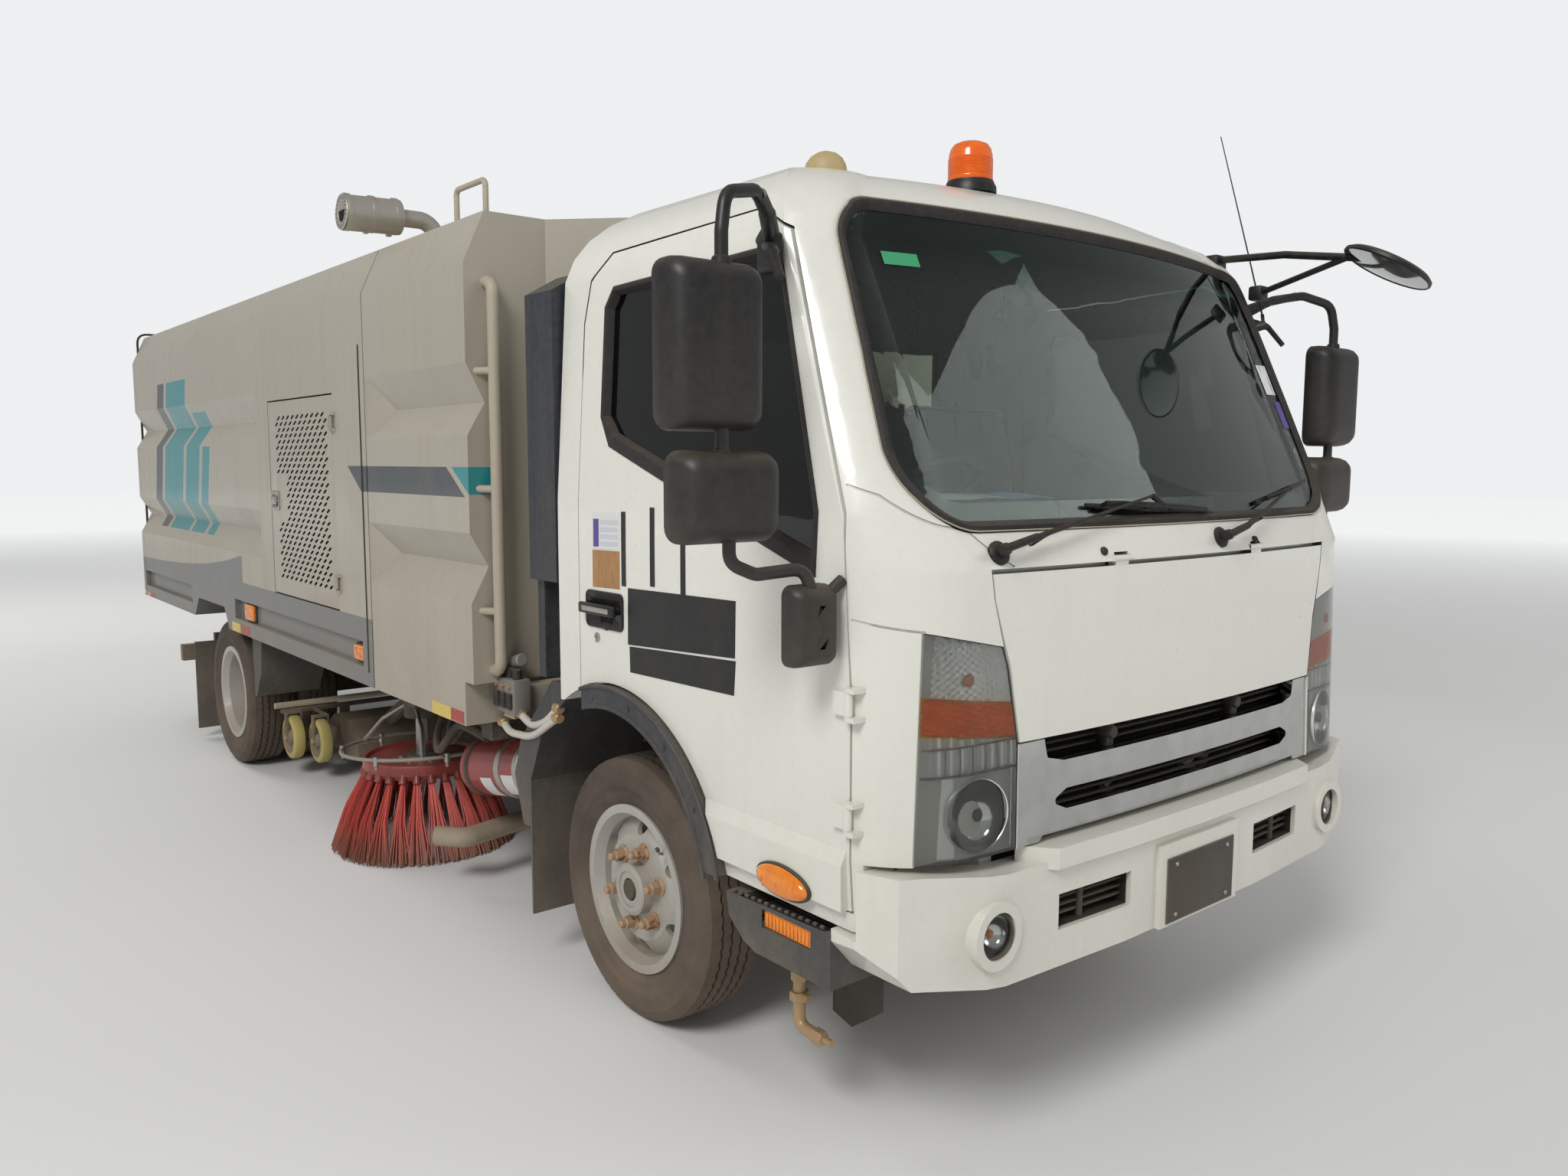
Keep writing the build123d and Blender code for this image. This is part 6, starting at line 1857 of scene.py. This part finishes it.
class SWEEPER_OT_body_trim(bpy.types.Operator):
    """Side marker lamps, reflective tapes, door seals, latches and rear lamps of the body"""
    bl_idname = "sweeper.body_trim"
    bl_label = "Body trim"

    def execute(self, context):
        hopper, tank = tree_of("hopper_shell"), tree_of("water_tank")
        for name, side in both_sides:
            form = Form()
            for x0, x1, z0, z1 in ((-3.21, -3.06, 0.82, 0.908), (-1.72, -1.61, 0.825, 0.895)):
                base = on_side(hopper, (x0 + x1) / 2, (z0 + z1) / 2, side)[0]
                place = facing(base, (0, side, 0))
                form.plates(rectangle(x1 - x0, z1 - z0, 0.012, 4), ((0, 0), (0.008, 0), (0.01, 0.002)), 1,
                    place)
                form.plates(rectangle(x1 - x0 - 0.012, z1 - z0 - 0.012, 0.009, 4),
                    ((0.008, 0), (0.017, 0), (0.021, 0.003), (0.022, 0.012)), 0, place)
                for i in range(5):
                    u = (i - 2) * (x1 - x0) / 6.5
                    form.box((u - 0.002, -(z1 - z0) / 2 + 0.014, 0.021), (u + 0.002, (z1 - z0) / 2 - 0.014,
                        0.0232), 0.0008, 0, place)
            form.make("side_markers_" + name, "lamp_amber black_plastic", "hopper", "lamp_glass")
            form = Form()
            for x0, x1, z0, z1, mark in ((-3.42, -3.267, 0.747, 0.793, 0), (-3.267, -3.116, 0.747, 0.793, 1),
                    (-5.352, -5.295, 0.749, 0.77, 0), (-5.295, -5.156, 0.749, 0.77, 1)):
                tape_strip(form, hopper, x0, x1, z0, z1, side, mark)
            form.make("reflective_tapes_" + name, "tape_yellow tape_red", "hopper")
            form = Form()
            tape_strip(form, tree_of("rear_door"), -5.43, -5.39, 0.758, 0.776, side, 0)
            form.make("rear_door_tape_" + name, "tape_yellow tape_red", "hopper_rear_door")
            form = Form()
            for x0, x1, z0, z1, mark in ((-0.966, -0.815, 0.746, 0.79, 0), (-0.815, -0.715, 0.746, 0.79, 1)):
                tape_strip(form, tank, x0, x1, z0, z1, side, mark)
            form.make("tank_tape_" + name, "tape_yellow tape_red", "chassis")
        rear_door_pieces()
        body_gasket()
        return {"FINISHED"}


def brush_disc(form, centre, top, stem):
    place = Matrix.Translation(centre)
    form.turned([(top - 0.03, 0.06), (top - 0.004, 0.058), (top, 0.05), (top, 0.024), (stem, 0.022)], place,
        32, 1)
    form.turned([(top - 0.044, 0.233), (top - 0.042, 0.2375), (top - 0.006, 0.2375), (top, 0.233),
        (top, 0.222), (top - 0.014, 0.214), (top - 0.018, 0.09), (top - 0.016, 0.058)], place, 64, 0,
        ends=False)
    form.turned([(top - 0.044, 0.233), (top - 0.06, 0.226), (top - 0.066, 0.17), (top - 0.066, 0.02)], place,
        64, 0, ends=False)
    for i in range(6):
        a = radians(60 * i)
        at = centre + polar(0.085, a, top - 0.018)
        form.turned([(0, 0.014), (0.009, 0.013), (0.01, 0.007)], facing(at, (0, 0, 1)), 6, 1)
    for a in circle(sizes().tufts):
        at = centre + polar(0.222, a, top - 0.04)
        out = polar(1, a, -2.2)
        form.turned([(0, 0.0165), (0.034, 0.0175), (0.036, 0.0155)], facing(at, out), 12, 0)


def brush_tufts(form, centre, top, turn):
    pick = random.Random(11)
    strands = 44
    for a in circle(sizes().tufts):
        for _ in range(strands):
            spread = pick.random() ** 0.5
            way = pick.uniform(0, 2 * pi)
            root_a = a + 0.045 * spread * cos(way)
            root_r = 0.226 + 0.011 * spread * sin(way)
            start = centre + polar(root_r, root_a, top - 0.066)
            flare = pick.gauss(0, 0.01) + 0.016 * spread * sin(way)
            drift = pick.gauss(0, 0.03) + turn * 0.05 + 0.1 * spread * cos(way)
            foot_r = min(0.35 + flare, 0.368)
            foot_z = max(0.003, pick.gauss(0.006, 0.004))
            mid_r = 0.5 * (root_r + foot_r) + 0.012
            mid = centre + polar(mid_r, root_a + drift * 0.4, 0.52 * (start.z + foot_z))
            foot = centre + polar(foot_r, root_a + drift, foot_z)
            form.pipe([start, mid, foot], pick.uniform(0.0021, 0.0029), 0.0, 3)


def water_ring(name, side, centre):
    """A thin water ring over the outer half of the brush, with small nozzles and two stays from the arm."""
    form = Form()
    ring = []
    for i in range(41):
        a = radians(-20 + 220 * i / 40)
        ring.append(centre + vec(0.352 * cos(a), side * 0.315 * sin(a), 0.405 + 0.026 * cos(a)))
    form.pipe(ring, 0.0075, 0.0, 10, 0)
    for i in (5, 14, 26, 35):
        at = ring[i]
        form.rod(at + vec(0, 0, 0.015), at + vec(0, 0, -0.024), 0.0105, 14, 1, 0.002)
        form.rod(at + vec(0, 0, -0.024), at + vec(0, 0, -0.04), 0.0065, 6, 2)
    for i in (8, 32):
        form.pipe([ring[i], ring[i].lerp(centre + vec(0, 0, 0.56), 0.35) + vec(0, 0, 0.05),
            centre + vec(0.05 * (1 if i < 20 else -1), side * 0.04, 0.575)], 0.008, 0.05, 10, 1)
    form.make("brush_water_ring_" + name, "hose_grey bright_steel old_brass", name + "_brush_arm",
        "castor_yellow")


class SWEEPER_OT_brushes(bpy.types.Operator):
    """Side brushes with a red disc, a rim drum and tufts of bristles, and their water ring hoses"""
    bl_idname = "sweeper.brushes"
    bl_label = "Brushes"

    def execute(self, context):
        for name, side in both_sides:
            low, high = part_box("brush_" + name)
            centre = vec((low.x + high.x) / 2, (low.y + high.y) / 2, 0)
            top = 0.372
            form = Form()
            brush_disc(form, centre, top, high.z)
            form.make("brush_disc_" + name, "brush_red bright_steel",
                name + "_brush", "bristle_red", ["brush_" + name], 35)
            form = Form()
            brush_tufts(form, centre, top, 1 if side == right else -1)
            form.make("bristles_" + name, "bristle_red", name + "_brush", "bristle_red")
            water_ring(name, side, centre)
        return {"FINISHED"}


def castor_wheels():
    for node, body in (("nozzle_wheels_front", "front_castors"), ("nozzle_wheels_rear", "rear_castors")):
        low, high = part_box(node)
        x, z, r = (low.x + high.x) / 2, (low.z + high.z) / 2, (high.z - low.z) / 2
        half = 0.027
        # tread: distance along the axle and radius. dish: how far in from the wheel's side, and radius
        tread = [(half, r * 0.74), (half, r - 0.012), (half - 0.004, r - 0.004), (half - 0.012, r)]
        dish = [(0.001, r * 0.745), (0.004, r * 0.7), (0.012, r * 0.55), (0.012, r * 0.36), (-0.004, r * 0.3),
            (-0.006, r * 0.16), (-0.006, 0.004)]
        form = Form()
        for y in (low.y + half, high.y - half):
            place = facing(vec(x, y, z), (0, 1, 0))
            form.turned([(-along, radius) for along, radius in tread] + tread[::-1], place, 56, 0, ends=False)
            for sign in (-1, 1):
                form.turned([(sign * (half - back), radius) for back, radius in dish], place, 40, 1,
                    ends=False)
            for sign in (1, -1):
                form.turned([(0, 0.016), (0.012, 0.016), (0.014, 0.012)],
                    facing(vec(x, y + sign * (half + 0.005), z), (0, sign, 0)), 6, 2)
        form.make("castor_wheels_" + body, "urethane castor_grey nut_metal", body, "castor_yellow", [node],
            30)


def reservoir_cap():
    start, end = spot(-1.18, -0.76, 0.47), spot(-0.7, -0.76, 0.56)
    axis = (end - start).normalized()
    place = facing(start, -axis)
    form = Form()
    form.turned([(-0.02, 0.1065), (0.01, 0.108), (0.016, 0.104), (0.034, 0.082), (0.052, 0.052),
        (0.06, 0.044), (0.078, 0.042), (0.086, 0.034), (0.088, 0.012)], place, 48, 0)
    # start and end of each band along the axis, its foot and crown radius and its colour
    for start, end, foot, crown, mark in ((-0.045, -0.022, 0.1055, 0.1105, 1), (-0.3, -0.268, 0.1052, 0.1085,
            3), (-0.44, -0.408, 0.1052, 0.1085, 3)):
        form.turned([(start, foot), (start + 0.002, crown), (end - 0.002, crown), (end, foot)], place, 48,
            mark, ends=False)
    for s, low_a, high_a in ((-0.19, -62, -8), (-0.36, -50, 0)):
        rings = []
        for along in (s - 0.045, s + 0.045):
            rings.append([place @ polar(0.1062, radians(a), along) for a in range(low_a, high_a, 5)])
        count = len(rings[0])
        form.add(rings[0] + rings[1], cells(1, count - 1), 2)
    form.make("reservoir_cap", "brush_red rubber label_white bright_steel", "chassis",
        "reservoir_red", angle=35)


def ribbed_hose(form, points, radius, pitch, depth, mark, sides=18):
    """A corrugated hose along a smooth path."""
    path = rounded(points, 0.22, 14)
    lengths = [0.0]
    for a, b in zip(path, path[1:]):
        lengths.append(lengths[-1] + (b - a).length)
    total = lengths[-1]
    count = int(total / (pitch / 4))
    fine = []
    index = 0
    for i in range(count + 1):
        s = total * i / count
        while index < len(lengths) - 2 and lengths[index + 1] < s:
            index += 1
        t = (s - lengths[index]) / max(lengths[index + 1] - lengths[index], 1e-6)
        fine.append(path[index].lerp(path[index + 1], min(t, 1.0)))
    form.pipe(fine, lambda t: radius - depth * (0.5 + 0.5 * cos(2 * pi * total * t / pitch)), 0.0, sides,
        mark)


def hose_runs():
    form = Form()
    y = -0.945
    # Two pale spiral hoses from the valve block forward, with brass ends
    ribbed_hose(form, spots((-0.543, y, 0.798), (-0.47, y, 0.772), (-0.38, y, 0.8), (-0.301, y, 0.856)),
        0.013, 0.009, 0.002, 0, 12)
    ribbed_hose(form, spots((-0.665, y, 0.749), (-0.6, y - 0.01, 0.73), (-0.45, y - 0.012, 0.742),
        (-0.306, y, 0.827)), 0.012, 0.009, 0.002, 0, 12)
    for x, z in ((-0.543, 0.8), (-0.301, 0.856), (-0.665, 0.75), (-0.306, 0.827)):
        form.rod(spot(x - 0.018, y, z), spot(x + 0.014, y, z), 0.016, 14, 1, 0.003)
    # Valve block with solenoids
    form.box(spot(-0.663, -0.975, 0.797), spot(-0.53, -0.915, 0.908), 0.006, 3)
    for x in (-0.64, -0.597, -0.554):
        form.rod(spot(x, -0.95, 0.905), spot(x, -0.95, 0.94), 0.015, 18, 2, 0.003)
        form.box(spot(x - 0.014, -0.985, 0.815), spot(x + 0.014, -0.973, 0.865), 0.003, 2)
        form.turned([(0, 0.007), (0.01, 0.006)], facing(spot(x, -0.975, 0.885), (0, -1, 0)), 6, 1)
    form.rod(spot(-0.77, -0.93, 0.91), spot(-0.556, -0.93, 0.967), 0.021, 20, 3, 0.004)
    form.make("valve_block", "hose_white old_brass hose_black valve_grey", "chassis",
        "cylinder_paint", angle=40)
    for name, side in both_sides:
        form = Form()
        ribbed_hose(form, spots((-1.842, 0.735 * side, 0.6), (-1.74, 0.715 * side, 0.632),
            (-1.635, 0.7 * side, 0.64), (-1.6, 0.78 * side, 0.52), (-1.477, 0.83 * side, 0.467),
            (-1.34, 0.84 * side, 0.56), (-1.247, 0.84 * side, 0.63), (-1.08, 0.86 * side, 0.636),
            (-0.931, 0.88 * side, 0.64)), 0.0165, 0.012, 0.003, 0, 14)
        ribbed_hose(form, spots((-1.842, 0.695 * side, 0.605), (-1.74, 0.68 * side, 0.648),
            (-1.62, 0.66 * side, 0.655), (-1.57, 0.74 * side, 0.55), (-1.45, 0.79 * side, 0.5),
            (-1.3, 0.8 * side, 0.6), (-1.15, 0.82 * side, 0.655), (-0.96, 0.86 * side, 0.668)), 0.0135, 0.011,
            0.0025, 0, 14)
        piece = form.make("corrugated_hoses_" + name, "hose_black", None)
        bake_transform(piece)


def muffler_bands():
    x, z, reach = -1.65, 2.4895, 0.064
    form = Form()
    for y in (-1.045, -0.955, -0.868):
        place = facing(spot(x, y - 0.009, z + 0.038 * (1.058 + y)), (0, 1, 0))
        form.turned([(0, reach - 0.001), (0.001, reach + 0.003), (0.017, reach + 0.003),
            (0.018, reach - 0.001)], place, 48, 0, ends=False)
    for y in (-0.955, -0.868):
        at = spot(x - 0.05, y, z - 0.046)
        form.box(at - vec(0.01, 0.009, 0.012), at + vec(0.01, 0.009, 0.01), 0.002)
        form.rod(at - vec(0.018, 0, 0), at + vec(0.018, 0, 0), 0.005, 10, 0)
    # Open end with a dark throat behind a ring of holes: the throat is a disc of soot and painted shade just
    # inside the end, and each hole is a dark dot of soot and painted shade
    place = facing(spot(x, -1.058, 2.488), (0, -1, 0.038))
    form.turned([(0.0, reach), (0.004, reach - 0.004), (0.004, 0.04), (0.002, 0.036), (-0.001, 0.034)], place,
        48, 0, ends=False)
    form.turned([(0.0005, 0.036), (0.0006, 0.001)], place, 32, 1, ends=False)
    for ring, count in ((0.048, 18), (0.056, 22)):
        for a in circle(count):
            form.turned([(0.0041, 0.0028), (0.0044, 0.0005)],
                place @ Matrix.Translation(polar(ring, a)), 8, 1)
    form.make("muffler_bands", "muffler_steel soot", "hopper", "muffler_steel")


class SWEEPER_OT_gear(bpy.types.Operator):
    """Nozzle castors, the reservoir's cap and bands, valve block, hoses and muffler bands"""
    bl_idname = "sweeper.gear"
    bl_label = "Sweeping gear"

    def execute(self, context):
        castor_wheels()
        reservoir_cap()
        hose_runs()
        muffler_bands()
        return {"FINISHED"}


# Inside the cab
def seat_pad(deep, wide, high, place):
    """A crowned pad whose sides pull in between the corners."""
    form = Form()
    work = bmesh.new()
    bmesh.ops.create_cube(work, size=1)
    for v in work.verts:
        v.co = vec(v.co.x * deep, v.co.y * wide, v.co.z * high)
    corner = 0.42 * min(deep, high)
    bmesh.ops.bevel(work, geom=work.edges[:], offset=corner, segments=5, profile=0.6, affect="EDGES")
    bmesh.ops.subdivide_edges(work, edges=[e for e in work.edges if e.calc_length() > 0.09], cuts=5,
        use_grid_fill=True)
    for v in work.verts:
        u, w, t = 2 * v.co.x / deep, 2 * v.co.y / wide, 2 * v.co.z / high
        if abs(w) > 0.9:
            v.co.y *= 1 - 0.012 * (1 - u * u) * (1 - t * t)
    form.take(work, 0, place)
    return form


def blow_up(piece, reach):
    """Swells the cover by cloth pressure; no point moves further than reach."""
    scene = bpy.context.scene
    mesh = piece.data
    start = remeshed(piece)
    rest = [v.co.copy() for v in start.vertices]
    piece.data = start
    cloth_run = piece.modifiers.new("cover", "CLOTH")
    settings = cloth_run.settings
    settings.use_pressure = True
    settings.uniform_pressure_force = 4
    settings.effector_weights.gravity = 0
    settings.quality = 4
    cloth_run.collision_settings.use_collision = False
    for step in range(1, 15):
        scene.frame_set(step)
    solved = piece.evaluated_get(bpy.context.evaluated_depsgraph_get())
    moved = [v.co.copy() for v in solved.data.vertices]
    piece.modifiers.clear()
    for v, old, new in zip(start.vertices, rest, moved):
        shift = new - old
        v.co = old + shift * min(1.0, reach / max(shift.length, 1e-9))
    scene.frame_set(1)
    bpy.data.meshes.remove(mesh)


def remeshed(piece):
    remesh = piece.modifiers.new("even", "REMESH")
    remesh.mode = "VOXEL"
    remesh.voxel_size = 0.014
    solved = piece.evaluated_get(bpy.context.evaluated_depsgraph_get())
    mesh = bpy.data.meshes.new_from_object(solved)
    piece.modifiers.clear()
    mesh.materials.clear()
    mesh.materials.append(finish("cloth"))
    return mesh


def seat_seams(piping, y, wide, place):
    """Piping round the cushion's top and the back's front face, and the channels sewn across them."""
    front = rectangle(0.4, wide - 0.075, 0.05, 5)
    loop = [spot(0.25 + u, y + v, 1.1995) for u, v in front]
    piping.pipe(loop, 0.004, 0.0, 6, closed=True)
    outline = rectangle(wide - 0.075, 0.52, 0.05, 5)
    loop = [place @ vec(0.0475, u, v) for u, v in outline]
    piping.pipe(loop, 0.004, 0.0, 6, closed=True)
    columns = 3 if wide < 0.6 else 6
    for i in range(1, columns):
        v = y - (wide - 0.075) / 2 + (wide - 0.075) * i / columns
        piping.pipe(spots((0.08, v, 1.2035), (0.25, v, 1.2055), (0.42, v, 1.2035)), 0.0022, 0.0, 6)
        piping.pipe([place @ vec(0.0495, v - y, h) for h in (-0.24, 0, 0.24)], 0.0022, 0.0, 6)


class SWEEPER_OT_seats(bpy.types.Operator):
    """Padded seats whose covers are blown up a little, with piping and channels sewn in"""
    bl_idname = "sweeper.seats"
    bl_label = "Seats"

    def execute(self, context):
        covers = []
        piping = Form()
        for name, wide, y in (("driver", 0.48, -0.56), ("bench", 0.9, 0.33)):
            place = Matrix.Translation(spot(0.25, y, 1.126))
            covers.append((name + "_cushion", seat_pad(0.446, wide - 0.014, 0.14, place), 0.011))
            lean = radians(-10.5)
            place = Matrix.Translation(spot(-0.036, y, 1.497)) @ Matrix.Rotation(lean, 4, "Y")
            covers.append((name + "_back", seat_pad(0.082, wide - 0.014, 0.59, place), 0.01))
            seat_seams(piping, y, wide, place)
        for title, form, reach in covers:
            piece = form.make(title, "cloth", "cab", "seat_cloth",
                ["seats"] if title == "driver_cushion" else (), 75)
            blow_up(piece, reach)
            piece.data.shade_smooth()
        piping.make("seat_piping", "piping_grey", "cab", "seat_cloth")
        return {"FINISHED"}


class SWEEPER_OT_inside(bpy.types.Operator):
    """Steering wheel, gauge hood, switches and papers on the dashboard"""
    bl_idname = "sweeper.inside"
    bl_label = "Inside"

    def execute(self, context):
        wheel_y = -0.48
        hub = spot(0.734, wheel_y, 1.397)
        place = facing(hub, (-0.8, 0, 0.6), (0, 1, 0))
        form = Form()
        rim = [place @ polar(0.215, a, 0.03) for a in circle(72)]
        form.pipe(rim, 0.0135, 0.0, 14, 0, closed=True)
        for i in range(3):
            a = radians(120 * i - 90)
            out = polar(1, a)
            across = vec(-out.y, out.x, 0)
            rings = []
            for r, half, lift, thick in ((0.035, 0.026, 0.018, 0.01), (0.09, 0.021, 0.022, 0.008),
                    (0.15, 0.016, 0.026, 0.007), (0.206, 0.015, 0.03, 0.007)):
                rings.append([place @ (out * r + across * u * half + vec(0, 0, lift + v * thick))
                    for u, v in ((-1, -0.6), (-0.6, -1), (0.6, -1), (1, -0.6), (1, 0.6), (0.6, 1), (-0.6, 1),
                    (-1, 0.6))])
            form.rings(rings, 0)
        form.turned([(-0.038, 0.03), (-0.03, 0.046), (0.012, 0.056), (0.024, 0.06), (0.036, 0.054),
            (0.041, 0.036), (0.042, 0.003)], place, 40, 0)
        form.turned([(0.041, 0.024), (0.0435, 0.022), (0.0435, 0.002)], place, 32, 1)
        form.make("steering_wheel_rim", "black_plastic hub_grey", "steering",
            "black_plastic", ["steering_wheel"], 35)
        form = Form()
        # Hood over the gauges, two dials, rows of switches, vents and stalks on the column
        form.box(spot(0.8, wheel_y - 0.2, 1.425), spot(0.985, wheel_y + 0.2, 1.5), 0.028, 0, steps=4)
        for dy in (-0.09, 0.09):
            dial = facing(spot(0.7995, wheel_y + dy, 1.463), (-1, 0, 0.12))
            form.turned([(0, 0.033), (0.004, 0.033), (0.005, 0.03), (0.001, 0.028), (0.001, 0.002)], dial, 36,
                1)
            form.turned([(0.0015, 0.026), (0.002, 0.0015)], dial, 36, 2, ends=False)
        for i in range(6):
            form.box(spot(0.783, 0.02 + 0.045 * i, 1.29), spot(0.794, 0.055 + 0.045 * i, 1.318), 0.003, 1)
        for y in (-0.78, 0.1, 0.74):
            form.box(spot(0.787, y - 0.05, 1.335), spot(0.8, y + 0.05, 1.392), 0.006, 1)
            for k in range(4):
                form.box(spot(0.783, y - 0.043, 1.343 + 0.012 * k), spot(0.789, y + 0.043, 1.347 + 0.012 * k),
                    0.001, 0)
        for dy, swing in ((-0.11, -1), (0.11, 1)):
            form.pipe(spots((0.8, wheel_y + swing * 0.02, 1.348), (0.775, wheel_y + dy, 1.375),
                (0.765, wheel_y + dy * 1.55, 1.385)), lambda t: 0.006 + 0.003 * t, 0.03, 10, 1)
        form.make("dashboard_fittings", "dash_plastic switch_black dial_white")
        form = Form()
        for corner_x, corner_y, wide, deep, turn, tone in ((0.905, -0.56, 0.3, 0.12, 6, 0),
                (0.915, -0.4, 0.21, 0.13, -9, 1), (0.905, 0.36, 0.3, 0.11, 4, 0)):
            lie = (Matrix.Translation(spot(corner_x, corner_y, 1.4445 if corner_y > 0 else 1.503))
                @ Matrix.Rotation(radians(turn), 4, "Z") @ Matrix.Rotation(radians(4), 4, "Y"))
            sheet = []
            for i in range(7):
                for j in range(5):
                    u, v = i / 6 - 0.5, j / 4 - 0.5
                    sheet.append(lie @ vec(v * deep, u * wide,
                        0.0015 + 0.006 * abs(u) ** 2 + 0.002 * sin(9 * u)))
            form.add(sheet, cells(6, 4), tone)
        form.make("papers", "paper_white paper_blue", "cab", "seat_cloth")
        return {"FINISHED"}


class SWEEPER_OT_stickers(bpy.types.Operator):
    """Small blank stickers on the windscreen"""
    bl_idname = "sweeper.stickers"
    bl_label = "Stickers"

    def execute(self, context):
        screen = tree_of("cab_glass")
        form = Form()
        # low and high y, low and high z, colour
        table = [(-0.735, -0.64, 2.022, 2.052, 0), (0.775, 0.835, 1.79, 1.88, 1), (0.8, 0.85, 1.69, 1.77, 2)]
        for y0, y1, z0, z1, mark in table:
            grid = []
            for i in range(3):
                for j in range(4):
                    grid.append(on_front(screen, y0 + (y1 - y0) * i / 2, z0 + (z1 - z0) * j / 3, 0.0006)[0])
            form.add(grid, [(i * 4 + j, i * 4 + 4 + j, i * 4 + 5 + j,
                i * 4 + 1 + j) for i in range(2) for j in range(3)], mark)
        form.make("windscreen_stickers", "sticker_green label_white label_violet", "cab", "seat_cloth")
        return {"FINISHED"}


def main_operators():
    return [SWEEPER_OT_stage, SWEEPER_OT_finishes, SWEEPER_OT_tyres, SWEEPER_OT_wheel_fittings,
        SWEEPER_OT_windows, SWEEPER_OT_wipers, SWEEPER_OT_headlamps, SWEEPER_OT_front_fittings,
        SWEEPER_OT_mirrors, SWEEPER_OT_doors, SWEEPER_OT_steps, SWEEPER_OT_arch_edges,
        SWEEPER_OT_engine_doors, SWEEPER_OT_body_trim, SWEEPER_OT_brushes, SWEEPER_OT_gear,
        SWEEPER_OT_seats, SWEEPER_OT_inside, SWEEPER_OT_stickers]


class SWEEPER_PT_panel(bpy.types.Panel):
    """Lists the steps that build the truck's looks"""
    bl_idname = "SWEEPER_PT_panel"
    bl_label = "Street sweeper"
    bl_space_type = "VIEW_3D"
    bl_region_type = "UI"
    bl_category = "Sweeper"

    def draw(self, context):
        for operator in main_operators():
            self.layout.operator(operator.bl_idname)


def register():
    for kind in [SweeperSizes, SweeperColours, *main_operators(), SWEEPER_PT_panel]:
        bpy.utils.register_class(kind)
    bpy.types.Scene.sweeper_sizes = PointerProperty(type=SweeperSizes)
    bpy.types.Scene.sweeper_colours = PointerProperty(type=SweeperColours)


def unregister():
    del bpy.types.Scene.sweeper_colours
    del bpy.types.Scene.sweeper_sizes
    for kind in reversed([SweeperSizes, SweeperColours, *main_operators(), SWEEPER_PT_panel]):
        bpy.utils.unregister_class(kind)


def main():
    register()
    for operator in main_operators():
        group, name = operator.bl_idname.split(".")
        getattr(getattr(bpy.ops, group), name)()


if __name__ == "__main__":
    main()
